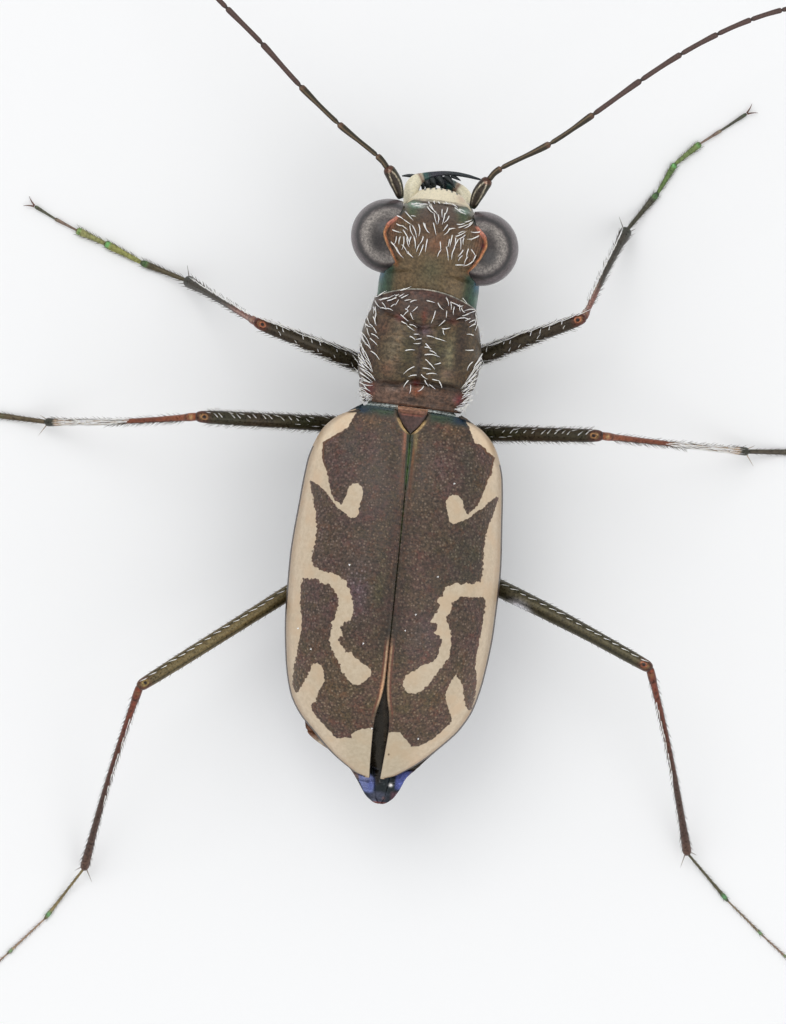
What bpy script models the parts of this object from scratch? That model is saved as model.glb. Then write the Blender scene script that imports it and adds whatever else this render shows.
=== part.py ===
"""Tiger beetle, life size, standing with its legs spread and its feelers raised.

Frame: +Y is forward (the head), +X is the beetle's right, +Z is up, and the
feet rest on z = 0.  The origin is the middle of the bounding box, on the floor.
All sizes below are in millimetres; each mesh is scaled to metres at the end.
"""
import math

import bpy
import bmesh
from mathutils import Matrix, Vector

# ------------------------------------------------------------------ sizes (mm)
MM = 0.001                    # metres in a millimetre
SHIFT = (0.231, -0.501)            # from the scutellum-based sketch frame to the box centre
GAP = 0.04                    # clearance between neighbouring pieces
LIMB_R = 0.25                 # least radius of legs and feelers in these solids

# wing cases: y, half width, crest height, margin height
ELYTRA = ((1.93, 1.10, 3.46, 2.78), (1.75, 1.42, 3.53, 2.70), (1.50, 1.66, 3.62, 2.60),
          (1.22, 1.80, 3.71, 2.53), (0.83, 1.91, 3.83, 2.46), (0.00, 1.99, 4.00, 2.41),
          (-1.10, 2.06, 4.10, 2.38), (-2.10, 2.04, 4.06, 2.37), (-3.00, 1.95, 3.88, 2.36),
          (-3.67, 1.80, 3.63, 2.36), (-4.10, 1.58, 3.42, 2.36), (-4.45, 1.27, 3.20, 2.37),
          (-4.84, 0.84, 2.95, 2.39), (-5.06, 0.54, 2.80, 2.41), (-5.20, 0.30, 2.70, 2.43))
EDGE_BAND = 0.25              # height of the upright band along the outer edge
EDGE_FLOOR = 0.32             # width of the folded-in rim underneath
SHELL = 0.52                  # underside crest as a part of the outer crest
SUTURE = 0.02                 # half the gap along the closed seam
SPLIT_Y, SPLIT_HALF = -3.4, 0.125   # the seam opens from here, to this half gap

# small shield between the wing cases
SCUTELLUM = dict(front=2.02, tip=1.55, half=0.36, top=3.56, thick=0.50)

# trunk under the wing cases: y, half width, underside height
TRUNK = ((2.03, 0.80, 2.00), (1.85, 1.02, 1.76), (1.60, 1.40, 1.58), (1.20, 1.68, 1.44),
         (0.60, 1.80, 1.38), (-0.20, 1.87, 1.40), (-0.95, 1.91, 1.50), (-2.10, 1.91, 1.56),
         (-3.10, 1.81, 1.66), (-3.70, 1.66, 1.78), (-4.10, 1.47, 1.88), (-4.50, 1.13, 1.97),
         (-4.85, 0.78, 2.04), (-5.10, 0.56, 2.09), (-5.40, 0.41, 2.16), (-5.66, 0.24, 2.25))
WAIST_Y = -0.97               # thin cut between breast and abdomen
TAIL_TOP = 2.54               # upper side of the bare abdomen tip
TAIL_BEND = 0.17              # the tip swings this far to the right

# fore body, turned a little to the right about the waist
TURN = math.radians(-2.0)
PIVOT = (0.0, 1.9)
PROTHORAX = ((2.08, 0.96, 3.50, 1.98), (2.18, 1.00, 3.55, 1.94), (2.45, 1.10, 3.66, 1.88),
             (2.90, 1.16, 3.74, 1.84), (3.30, 1.16, 3.75, 1.85), (3.70, 1.10, 3.69, 1.92),
             (3.98, 1.03, 3.61, 2.00), (4.13, 1.00, 3.56, 2.06))
COLLAR_ARC = 0.26             # bow of the front edge of the pronotum
HEAD = ((4.17, 0.92, 3.50, 2.18), (4.52, 0.94, 3.60, 2.12), (4.80, 0.95, 3.70, 2.08),
        (5.10, 0.98, 3.77, 2.05), (5.40, 0.98, 3.74, 2.02), (5.70, 0.90, 3.58, 1.98),
        (5.93, 0.76, 3.34, 1.95), (6.13, 0.60, 3.04, 1.95))
EYE = dict(out=0.895, y=5.32, z=3.22, rx=0.74, ry=0.73, rz=0.68, inner=0.50)
LABRUM = dict(y0=6.17, y1=6.50, half0=0.52, half1=0.34, top0=2.96, top1=2.84, thick=0.24)
MANDIBLE_R = (0.21, 0.20, 0.17, 0.13, 0.07)
PALP_OUTER = ((0.60, 5.92, 1.74), (0.70, 6.16, 1.60), (0.78, 6.42, 1.48), (0.72, 6.64, 1.34))
PALP_INNER = ((0.21, 5.86, 1.76), (0.23, 6.10, 1.60), (0.25, 6.34, 1.47), (0.24, 6.54, 1.35))

# legs: points of the hip socket, hip, knee and ankle, then the five foot
# lengths with their headings (degrees from +X), and the claw
LEGS = {
    "front_left": dict(socket=(-0.36, 2.95, 2.02), hip=(-0.56, 2.83, 1.52), knee=(-3.19, 3.43, 2.60),
                       ankle=(-4.65, 4.14, 0.27), thigh=0.29,
                       foot=(0.97, 0.79, 0.60, 0.50, 0.59), heading=(164, 158, 161, 158, 154)),
    "front_right": dict(socket=(0.42, 2.97, 2.02), hip=(0.62, 2.93, 1.52), knee=(3.18, 4.16, 2.45),
                        ankle=(3.88, 6.00, 0.27), thigh=0.29,
                        foot=(0.98, 0.68, 0.64, 0.50, 0.66), heading=(56, 65, 45, 38, 39)),
    "middle_left": dict(socket=(-0.46, 1.58, 1.85), hip=(-0.76, 1.64, 1.38), knee=(-4.14, 1.47, 2.95),
                        ankle=(-7.15, 1.08, 0.27), thigh=0.28,
                        foot=(1.00, 0.72, 0.50, 0.33, 0.55), heading=(178, 177, 178, 180, 182)),
    "middle_right": dict(socket=(0.46, 1.58, 1.85), hip=(0.76, 1.66, 1.38), knee=(3.74, 1.89, 3.15),
                         ankle=(6.70, 1.90, 0.27), thigh=0.28,
                         foot=(1.00, 0.72, 0.50, 0.33, 0.55), heading=(5, 4, 2, 1, 0)),
    "hind_left": dict(socket=(-0.48, -0.62, 1.80), hip=(-0.77, -0.80, 1.34), knee=(-4.72, -3.88, 3.35),
                      ankle=(-5.52, -7.63, 0.27), thigh=0.28,
                      foot=(1.29, 1.04, 0.66, 0.45, 0.60), heading=(-122, -131, -133, -134, -134)),
    "hind_right": dict(socket=(0.46, -0.62, 1.80), hip=(0.73, -0.82, 1.34), knee=(5.14, -2.52, 3.30),
                       ankle=(6.33, -6.13, 0.27), thigh=0.28,
                       foot=(1.26, 1.00, 0.66, 0.45, 0.60), heading=(-44, -39, -37, -36, -35)),
}
CLAW = 0.20                   # length of the claws beyond the last foot joint
FOOT_TOP = 0.50               # height of the foot solids above the floor

# feelers: start and end of the first joint, then the others' lengths and headings
FEELERS = {
    "left": dict(base=(-0.70, 6.27, 3.20), end=(-0.97, 6.74, 3.30),
                 steps=(0.30, 0.97, 1.04, 1.12, 0.97, 0.82, 0.71, 0.65, 0.60, 0.59),
                 heading=(138, 146, 141, 138, 140, 139.5, 137.5, 137.5, 136, 136),
                 rise=(0.03, 0.12, 0.10, 0.0, -0.05, -0.05, -0.08, -0.08, -0.10, -0.10)),
    "right": dict(base=(0.86, 6.22, 3.20), end=(1.08, 6.72, 3.30),
                  steps=(0.32, 1.07, 1.02, 1.13, 0.94, 0.81, 0.71, 0.63, 0.60, 0.59),
                  heading=(46, 32, 40, 41, 39, 34.5, 29.5, 23.5, 16.5, 10),
                  rise=(0.03, 0.12, 0.10, 0.0, -0.05, -0.05, -0.08, -0.08, -0.10, -0.10)),
}

UP = Vector((0, 0, 1))

# ------------------------------------------------------------------ start clean
for old in list(bpy.data.objects):
    bpy.data.objects.remove(old, do_unlink=True)

BEETLE = bpy.data.collections.new("tiger_beetle")
bpy.context.scene.collection.children.link(BEETLE)
WORKSHOP = bpy.data.collections.new("cutters")
bpy.context.scene.collection.children.link(WORKSHOP)


# ------------------------------------------------------------------ small tools
def material(name, colour, rough, metal):
    mat = bpy.data.materials.get(name)
    if mat is None:
        mat = bpy.data.materials.new(name)
        mat.use_nodes = True
        bsdf = mat.node_tree.nodes["Principled BSDF"]
        bsdf.inputs["Base Color"].default_value = (*colour, 1.0)
        bsdf.inputs["Roughness"].default_value = rough
        bsdf.inputs["Metallic"].default_value = metal
    return mat


CASE = material("case_grey_brown", (0.090, 0.065, 0.052), 0.45, 0.35)
BRONZE = material("bronze_brown", (0.085, 0.055, 0.035), 0.40, 0.55)
OLIVE = material("dark_olive", (0.040, 0.038, 0.020), 0.35, 0.60)
RUST = material("rust_brown", (0.130, 0.040, 0.022), 0.40, 0.35)
GREEN = material("green_foot", (0.050, 0.090, 0.030), 0.35, 0.60)
CREAM = material("cream", (0.650, 0.560, 0.420), 0.45, 0.0)
EYE_GREY = material("eye_grey", (0.090, 0.075, 0.075), 0.25, 0.0)
BLUE = material("belly_blue", (0.030, 0.045, 0.120), 0.30, 0.70)
DARK = material("feeler_brown", (0.060, 0.035, 0.028), 0.50, 0.10)


def along(stations, y, column):
    """Smooth curve through a column of stations, sorted from high y to low y,
    with slopes limited so that it never overshoots."""
    pts = [(-s[0], s[column]) for s in stations]
    x = -y
    if x <= pts[0][0]:
        return pts[0][1]
    if x >= pts[-1][0]:
        return pts[-1][1]
    slopes = [(b[1] - a[1]) / (b[0] - a[0]) for a, b in zip(pts, pts[1:])]
    m = [slopes[0]]
    for i in range(1, len(pts) - 1):
        a, b = slopes[i - 1], slopes[i]
        m.append(0.0 if a * b <= 0 else 2 * a * b / (a + b))
    m.append(slopes[-1])
    for i in range(len(pts) - 1):
        x0, x1 = pts[i][0], pts[i + 1][0]
        if x <= x1:
            h = x1 - x0
            t = (x - x0) / h
            return ((2 * t**3 - 3 * t**2 + 1) * pts[i][1] + (t**3 - 2 * t**2 + t) * h * m[i]
                    + (-2 * t**3 + 3 * t**2) * pts[i + 1][1] + (t**3 - t**2) * h * m[i + 1])
    return pts[-1][1]


def rise(t):
    t = min(1.0, max(0.0, t))
    return t * t * (3 - 2 * t)


def loft(rings):
    """Closed skin over a row of rings with equal counts, fanned at both ends."""
    bm = bmesh.new()
    rows = [[bm.verts.new(p) for p in ring] for ring in rings]
    n = len(rows[0])
    for a, b in zip(rows, rows[1:]):
        for i in range(n):
            bm.faces.new((a[i], a[(i + 1) % n], b[(i + 1) % n], b[i]))
    for row in (rows[0], rows[-1]):
        mid = bm.verts.new(sum((v.co for v in row), Vector()) / n)
        for i in range(n):
            bm.faces.new((row[i], row[(i + 1) % n], mid))
    bmesh.ops.recalc_face_normals(bm, faces=bm.faces)
    return bm


def turn_fore(bm):
    """Turns fore-body pieces a little to the right about the waist."""
    about = Matrix.Translation((*PIVOT, 0)) @ Matrix.Rotation(TURN, 4, "Z") @ Matrix.Translation((-PIVOT[0], -PIVOT[1], 0))
    bmesh.ops.transform(bm, matrix=about, verts=bm.verts)
    return bm


def turned(p):
    q = Matrix.Rotation(TURN, 3, "Z") @ Vector((p[0] - PIVOT[0], p[1] - PIVOT[1], p[2]))
    return Vector((q.x + PIVOT[0], q.y + PIVOT[1], q.z))


def add(name, bm, mat, home=BEETLE):
    mesh = bpy.data.meshes.new(name)
    bm.to_mesh(mesh)
    bm.free()
    mesh.materials.append(mat)
    obj = bpy.data.objects.new(name, mesh)
    home.objects.link(obj)
    return obj


def cut(obj, *tools):
    """Takes each tool out of an object in turn and keeps the resulting mesh."""
    for tool in tools:
        tool.hide_render = True
        tool.display_type = "WIRE"
        mod = obj.modifiers.new("cut", "BOOLEAN")
        mod.operation = "DIFFERENCE"
        mod.solver = "EXACT"
        mod.object = tool
        shape = obj.evaluated_get(bpy.context.evaluated_depsgraph_get())
        mesh = bpy.data.meshes.new_from_object(shape)
        obj.modifiers.clear()
        obj.data = mesh
    obj.data.name = obj.name


def finish():
    """Moves every piece to the box-centred frame, scales it to metres, shades it smooth."""
    place = Matrix.Scale(MM, 4) @ Matrix.Translation((SHIFT[0], SHIFT[1], 0))
    for obj in list(BEETLE.objects) + list(WORKSHOP.objects):
        obj.data.transform(place)
        obj.data.shade_smooth()
        obj.data.set_sharp_from_angle(angle=math.radians(38))


# ------------------------------------------------------------------ wing cases
def seam(y):
    """Half the gap between the wing cases: round the little shield, closed,
    then opening towards the tail."""
    if y > SCUTELLUM["tip"]:
        span = SCUTELLUM["front"] - SCUTELLUM["tip"]
        return SUTURE + GAP + SCUTELLUM["half"] * (y - SCUTELLUM["tip"]) / span
    return SUTURE + SPLIT_HALF * rise((SPLIT_Y - y) / (SPLIT_Y - ELYTRA[-1][0]))


def case_ring(y, side):
    w, crest, rim = (along(ELYTRA, y, k) for k in (1, 2, 3))
    under = rim + SHELL * (crest - rim)
    band = min(EDGE_BAND, 0.35 * (crest - rim))
    x0 = min(seam(y), 0.8 * w)
    floor_in = max(x0 + 0.3 * (w - x0), w - EDGE_FLOOR)
    ring = []
    outer, inner = 11, 7
    for i in range(outer):                       # dome, seam to outer edge
        a = math.pi / 2 * i / (outer - 1)
        x = x0 + (w - x0) * math.sin(a) ** 0.92
        z = rim + band + (crest - rim - band) * max(0.0, 1 - (x / w) ** 2.3) ** 0.56
        ring.append(Vector((side * x, y, z)))
    ring.append(Vector((side * (w - 0.02), y, rim)))
    for i in range(inner):                       # underside, back to the seam
        t = i / (inner - 1)
        x = floor_in + (x0 - floor_in) * t
        z = rim + (under - rim) * max(0.0, 1 - (x / floor_in) ** 2.2) ** 0.6
        ring.append(Vector((side * x, y, z)))
    return ring


CASE_Y = ([1.93, 1.84, 1.72, 1.56] + [1.52 - 0.34 * i for i in range(3)]
          + [0.5 - 0.7 * i for i in range(5)]
          + [-2.85 - 0.3 * i for i in range(4)] + [-4.0 - 0.2 * i for i in range(5)]
          + [-4.95, -5.08, -5.16, -5.20])


def wing_case(name, side):
    return add(name, loft([case_ring(y, side) for y in CASE_Y]), CASE)


def scutellum():
    s = SCUTELLUM
    bm = bmesh.new()
    bmesh.ops.create_cone(bm, cap_ends=True, segments=3, radius1=1.0, radius2=1.0, depth=1.0,
                          matrix=Matrix.Rotation(math.radians(30), 4, "Z"))
    lo = min(v.co.y for v in bm.verts)
    hi = max(v.co.y for v in bm.verts)
    wide = max(abs(v.co.x) for v in bm.verts)
    for v in bm.verts:                           # unit prism to the shield's own size
        back = (hi - v.co.y) / (hi - lo)
        v.co = Vector((v.co.x / wide * s["half"], s["front"] + (s["tip"] - s["front"]) * back,
                       s["top"] + (0.0 if v.co.z > 0 else -s["thick"]) - 0.03 * back))
    bmesh.ops.bevel(bm, geom=bm.edges[:], offset=0.03, segments=1, affect="EDGES")
    return add("scutellum", bm, BRONZE)


# ------------------------------------------------------------------ trunk
def tail_bend(y):
    return TAIL_BEND * rise((-3.3 - y) / 2.1)


def trunk_ring(y):
    w, low = along(TRUNK, y, 1), along(TRUNK, y, 2)
    crest, rim = along(ELYTRA, y, 2), along(ELYTRA, y, 3)
    under = rim + SHELL * (crest - rim)
    top = min(under - GAP, TAIL_TOP + 0.9 * max(0.0, y + 5.15)) - 0.30 * max(0.0, -5.3 - y)
    side_z = min(rim - GAP, top - 0.06)
    case_w = along(ELYTRA, y, 1)
    roof = min(w - 0.06, max(0.35 * w, case_w - EDGE_FLOOR - GAP))
    half = []
    for i in range(6):                           # roof under the wing cases
        x = roof * i / 5
        z = side_z + (top - side_z) * max(0.0, 1 - (x / roof) ** 2.2) ** 0.6
        half.append((x, z))
    half.append((w, side_z))
    for i in range(1, 7):                        # flank and belly
        a = math.pi / 2 * i / 6
        half.append((w * math.cos(a) ** 1.0, side_z - (side_z - low) * math.sin(a) ** 1.0))
    bend = tail_bend(y)
    ring = [Vector((x + bend, y, z)) for x, z in half]
    ring += [Vector((-x + bend, y, z)) for x, z in half[-2:0:-1]]
    return ring


def trunk(name, ys, mat):
    return add(name, loft([trunk_ring(y) for y in ys]), mat)


# ------------------------------------------------------------------ fore body
def round_ring(y, half, top, low, count=22, bow=0.0, side=0.52):
    """Rounded section; its widest level is at the part side of its height."""
    mid = low + side * (top - low)
    ring = []
    for i in range(count):
        a = 2 * math.pi * i / count
        c, s = math.cos(a), math.sin(a)
        x = half * math.copysign(abs(c) ** 0.86, c)
        z = mid + (top - mid if s > 0 else mid - low) * math.copysign(abs(s) ** 0.86, s)
        ring.append(Vector((x, y + bow * max(0.0, 1 - (x / half) ** 2), z)))
    return ring


def prothorax():
    ys = [2.08, 2.18, 2.42, 2.75, 3.1, 3.45, 3.75, 3.98, 4.13]
    rings = []
    for y in ys:
        t = max(0.0, (y - 3.2) / (PROTHORAX[-1][0] - 3.2))
        rings.append(round_ring(y, along(PROTHORAX[::-1], y, 1), along(PROTHORAX[::-1], y, 2),
                                along(PROTHORAX[::-1], y, 3), bow=COLLAR_ARC * t))
    return add("prothorax", turn_fore(loft(rings)), BRONZE)


def head():
    rings = []
    for i, (y, half, top, low) in enumerate(HEAD):
        if i == 0:                               # follows the bow of the collar
            ring = round_ring(y, half, top, low, side=0.5)
            edge = PROTHORAX[-1]
            ring = [Vector((p.x, edge[0] + GAP + COLLAR_ARC * max(0.0, 1 - (p.x / edge[1]) ** 2), p.z)) for p in ring]
        else:
            ring = round_ring(y, half, top, low, side=0.5)
        rings.append(ring)
    return add("head", turn_fore(loft(rings)), BRONZE)


def eye(name, side, swell=0.0, home=BEETLE):
    """Bulging eye: an ellipsoid with its inner part sliced off flat."""
    bm = bmesh.new()
    bmesh.ops.create_uvsphere(bm, u_segments=18, v_segments=11, radius=1.0,
                              matrix=Matrix.Rotation(math.pi / 2, 4, "Y"))
    size = Matrix.Diagonal((EYE["rx"] + swell, EYE["ry"] + swell, EYE["rz"] + swell, 1))
    place = Matrix.Translation((side * EYE["out"], EYE["y"], EYE["z"]))
    bmesh.ops.transform(bm, matrix=place @ size, verts=bm.verts)
    x = side * (EYE["inner"] - swell)
    out = bmesh.ops.bisect_plane(bm, geom=bm.verts[:] + bm.edges[:] + bm.faces[:],
                                 plane_co=(x, 0, 0), plane_no=(side, 0, 0), clear_inner=True)
    rim = [e for e in out["geom_cut"] if isinstance(e, bmesh.types.BMEdge)]
    bmesh.ops.edgenet_fill(bm, edges=rim)
    bmesh.ops.recalc_face_normals(bm, faces=bm.faces)
    return add(name, turn_fore(bm), EYE_GREY, home)


def labrum():
    s = LABRUM
    rings = []
    for i in range(5):
        t = i / 4
        half = s["half0"] + (s["half1"] - s["half0"]) * t ** 1.6
        top = s["top0"] + (s["top1"] - s["top0"]) * t
        y = s["y0"] + (s["y1"] - s["y0"]) * t
        rings.append([Vector((half * c, y - 0.05 * t * abs(c), top - s["thick"] / 2 + s["thick"] / 2 * z))
                      for c, z in ((-1, -0.3), (-1, 0.4), (-0.6, 1), (0, 1), (0.6, 1), (1, 0.4),
                                   (1, -0.3), (0.6, -1), (0, -1), (-0.6, -1))])
    return add("labrum", turn_fore(loft(rings)), CREAM)


# ------------------------------------------------------------------ limbs
def section(c, d, r, n, tall=1.0):
    u = d.cross(UP).normalized()
    v = u.cross(d).normalized()
    step = 2 * math.pi / n
    return [c + u * (r * math.cos((k + 0.5) * step)) + v * (r * tall * math.sin((k + 0.5) * step)) for k in range(n)]


def onto(ring, d, q, normal):
    """Slides a ring along its limb until it lies in a plane."""
    return [p + d * ((q - p).dot(normal) / d.dot(normal)) for p in ring]


def between(a, b):
    return (a.normalized() + b.normalized()).normalized()


def limb(a, b, radii, start=None, end=None, n=8, floor=None, at=None):
    """Straight limb from a to b through radii, evenly spaced unless at gives
    their places; start and end are the plane normals where it meets its neighbours."""
    d = (b - a).normalized()
    rings = []
    for i, r in enumerate(radii):
        t = at[i] if at else i / (len(radii) - 1)
        rings.append(section(a.lerp(b, t), d, r, n))
    if start is not None:
        rings[0] = onto(rings[0], d, a + start * GAP / 2, start)
    if end is not None:
        rings[-1] = onto(rings[-1], d, b - end * GAP / 2, end)
    if floor is not None:
        for ring in rings:
            for p in ring:
                p.z = max(p.z, floor)
    return loft(rings)


def heading(angle):
    a = math.radians(angle)
    return Vector((math.cos(a), math.sin(a), 0))


def foot(spec, start):
    """Five-jointed foot lying on the floor, each joint wider at its far end,
    flat underneath at z = 0."""
    c = Vector((spec["ankle"][0], spec["ankle"][1], FOOT_TOP / 2))
    dirs = [heading(h) for h in spec["heading"]]
    rings = []
    first = section(c, dirs[0], LIMB_R + 0.02, 8)
    rings.append(onto(first, dirs[0], Vector(spec["ankle"]) + start * GAP / 2, start))
    for i, (length, d) in enumerate(zip(spec["foot"], dirs)):
        mean = between(d, dirs[min(i + 1, 4)])
        rings.append(section(c + d * (0.55 * length), d, LIMB_R + 0.01, 8))
        c = c + d * length
        rings.append(section(c, mean, LIMB_R + 0.035, 8))
    rings.append(section(c + dirs[-1] * CLAW, dirs[-1], LIMB_R, 8))
    for ring in rings:
        for p in ring:
            z = (p.z - FOOT_TOP / 2) * 1.09 + FOOT_TOP / 2
            p.z = min(max(z, 0.0), FOOT_TOP)
    return loft(rings)


def leg(name, spec):
    socket, hip, knee, ankle = (Vector(spec[k]) for k in ("socket", "hip", "knee", "ankle"))
    d = [(hip - socket).normalized(), (knee - hip).normalized(), (ankle - knee).normalized(),
         heading(spec["heading"][0])]
    at_hip, at_knee, at_ankle = (between(a, b) for a, b in zip(d, d[1:]))
    fat = spec["thigh"]
    add(name + "_coxa", limb(socket, hip, (0.24, 0.31, fat), end=at_hip, at=(0, 0.3, 1)), OLIVE)
    add(name + "_femur", limb(hip, knee, (fat - 0.01, fat + 0.01, fat, fat - 0.02, LIMB_R + 0.01, LIMB_R),
                              start=at_hip, end=at_knee), OLIVE)
    add(name + "_tibia", limb(knee, ankle, (LIMB_R, LIMB_R, LIMB_R, LIMB_R), start=at_knee, end=at_ankle,
                              floor=0.01), RUST)
    add(name + "_tarsus", foot(spec, at_ankle), GREEN)
    return add(name + "_clearance", clearance(socket, hip, d[0], d[1], at_hip, fat), DARK, WORKSHOP)


def clearance(socket, hip, d0, d1, at_hip, fat):
    """Room for a coxa and the root of its femur: one bent limb, a gap larger all round."""
    rings = [section(socket - d0 * GAP, d0, 0.24 + GAP, 8),
             section(socket.lerp(hip, 0.3), d0, 0.31 + GAP, 8)]
    turn = section(hip, d0, fat + 1.6 * GAP, 8)
    rings.append(onto(turn, d0, hip, at_hip))
    far = section(hip + d1 * 1.0, d1, fat + 1.6 * GAP, 8)
    order = min(range(8), key=lambda k: (far[k] - rings[-1][0]).length)
    rings.append(far[order:] + far[:order])
    far = section(hip + d1 * 1.9, d1, fat + GAP, 8)
    rings.append(far[order:] + far[:order])
    return loft(rings)


def tube(name, points, radii, mat, sides=2):
    """Tube along a polyline, as a bevelled curve turned into a welded mesh."""
    curve = bpy.data.curves.new(name, "CURVE")
    curve.dimensions = "3D"
    curve.bevel_depth = 1.0
    curve.bevel_resolution = sides
    curve.use_fill_caps = True
    line = curve.splines.new("POLY")
    line.points.add(len(points) - 1)
    for knot, p, r in zip(line.points, points, radii):
        knot.co = (*p, 1.0)
        knot.radius = r
    wire = bpy.data.objects.new(name, curve)
    WORKSHOP.objects.link(wire)
    shape = wire.evaluated_get(bpy.context.evaluated_depsgraph_get())
    mesh = bpy.data.meshes.new_from_object(shape)
    bpy.data.objects.remove(wire, do_unlink=True)
    bm = bmesh.new()
    bm.from_mesh(mesh)
    bmesh.ops.remove_doubles(bm, verts=bm.verts, dist=0.0005)
    bmesh.ops.recalc_face_normals(bm, faces=bm.faces)
    bpy.data.meshes.remove(mesh)
    return add(name, bm, mat)


def curve_through(knots, per):
    """Smooth curve through knots (Catmull-Rom), per points to each stretch."""
    ends = [2 * knots[0] - knots[1]] + list(knots) + [2 * knots[-1] - knots[-2]]
    out = []
    for i in range(1, len(ends) - 2):
        p0, p1, p2, p3 = ends[i - 1:i + 3]
        for k in range(per):
            t = k / per
            out.append(0.5 * ((2 * p1) + (p2 - p0) * t + (2 * p0 - 5 * p1 + 4 * p2 - p3) * t**2
                              + (3 * p1 - p0 - 3 * p2 + p3) * t**3))
    out.append(knots[-1])
    return out


def feeler(side):
    spec = FEELERS[side]
    base, end = Vector(spec["base"]), Vector(spec["end"])
    d = (end - base).normalized()
    add("antenna_%s_scape" % side, limb(base, end, (LIMB_R - 0.03, LIMB_R, LIMB_R, LIMB_R - 0.02)), OLIVE)
    knots = [end + (d + heading(spec["heading"][0])).normalized() * 0.11]
    for length, head_to, up in zip(spec["steps"], spec["heading"], spec["rise"]):
        knots.append(knots[-1] + heading(head_to) * length + UP * up)
    pts = curve_through(knots[:1] + knots[2:], 2)
    tube("antenna_%s_flagellum" % side, pts, [LIMB_R] * len(pts), DARK, sides=2)


def mandible(name, side, level):
    """Scythe that starts beside the labrum and crosses to the other side."""
    knots = [Vector((side * 0.42, 6.19, level + 0.06)), Vector((side * 0.56, 6.40, level)),
             Vector((side * 0.30, 6.60, level)), Vector((-side * 0.28, 6.66, level)),
             Vector((-side * 0.76, 6.58, level))]
    pts = [turned(p) for p in curve_through(knots, 2)]
    n = len(pts)
    radii = []
    for i in range(n):
        s = i / (n - 1) * (len(MANDIBLE_R) - 1)
        k = min(int(s), len(MANDIBLE_R) - 2)
        radii.append(MANDIBLE_R[k] + (MANDIBLE_R[k + 1] - MANDIBLE_R[k]) * (s - k))
    tube(name, pts, radii, CREAM, sides=1)


def palp(name, knots, radii):
    pts = [turned(Vector(p)) for p in knots]
    tube(name, pts, radii, CREAM, sides=1)


# ------------------------------------------------------------------ assembly
wing_case("elytron_left", -1)
wing_case("elytron_right", 1)
scutellum()
breast = trunk("pterothorax", [2.03, 1.9, 1.7, 1.45, 1.1, 0.6, 0.0, -0.5, WAIST_Y + GAP / 2], BRONZE)
belly = trunk("abdomen", [WAIST_Y - GAP / 2, -1.6, -2.3, -3.0, -3.5, -3.9, -4.2, -4.5, -4.75, -4.95, -5.12, -5.3, -5.5, -5.66], BLUE)
neck_shield = prothorax()
capsule = head()
for side_name, sign in (("left", -1), ("right", 1)):
    eye("eye_" + side_name, sign)
cut(capsule, *(eye("eye_socket_%s" % s, k, swell=GAP, home=WORKSHOP) for s, k in (("left", -1), ("right", 1))))
labrum()
mandible("mandible_left", -1, 2.52)
mandible("mandible_right", 1, 2.14)
for side_name, sign in (("left", -1), ("right", 1)):
    palp("palp_maxillary_" + side_name, [(sign * x, y, z) for x, y, z in PALP_OUTER], (0.14, 0.20, 0.19, 0.15))
    palp("palp_labial_" + side_name, [(sign * x, y, z) for x, y, z in PALP_INNER], (0.13, 0.19, 0.18, 0.14))
    feeler(side_name)

sockets = {}
for leg_name, spec in LEGS.items():
    sockets[leg_name] = leg("leg_" + leg_name, spec)
cut(neck_shield, sockets["front_left"], sockets["front_right"])
cut(breast, sockets["middle_left"], sockets["middle_right"], sockets["hind_left"], sockets["hind_right"])
cut(belly, sockets["hind_left"], sockets["hind_right"])

finish()
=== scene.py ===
"""Looks of the tiger beetle: its skin, eyes, jaws, feelers, legs and bristles.

Everything is worked out in the beetle's own frame in millimetres (+Y forward,
+X its right, +Z up, feet on z = 0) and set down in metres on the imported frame.
"""
import math

import bpy
import numpy as np
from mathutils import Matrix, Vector
from mathutils.bvhtree import BVHTree


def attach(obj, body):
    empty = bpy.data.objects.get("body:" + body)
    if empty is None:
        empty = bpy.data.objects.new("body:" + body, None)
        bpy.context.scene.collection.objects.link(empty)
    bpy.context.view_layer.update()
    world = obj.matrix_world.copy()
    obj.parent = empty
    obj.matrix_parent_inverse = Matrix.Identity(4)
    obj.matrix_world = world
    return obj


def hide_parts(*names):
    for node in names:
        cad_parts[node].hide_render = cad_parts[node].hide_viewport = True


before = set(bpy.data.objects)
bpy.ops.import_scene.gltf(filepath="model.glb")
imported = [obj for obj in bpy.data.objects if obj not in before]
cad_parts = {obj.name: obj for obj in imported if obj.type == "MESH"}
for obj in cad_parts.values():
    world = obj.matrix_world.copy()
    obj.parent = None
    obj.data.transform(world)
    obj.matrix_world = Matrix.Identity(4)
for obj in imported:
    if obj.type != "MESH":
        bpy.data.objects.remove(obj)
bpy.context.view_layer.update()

# ------------------------------------------------------------------ sizes (mm)
MM = 0.001
SHIFT = np.array((0.231, -0.501, 0.0))       # from the scutellum-based frame to the box centre

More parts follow.
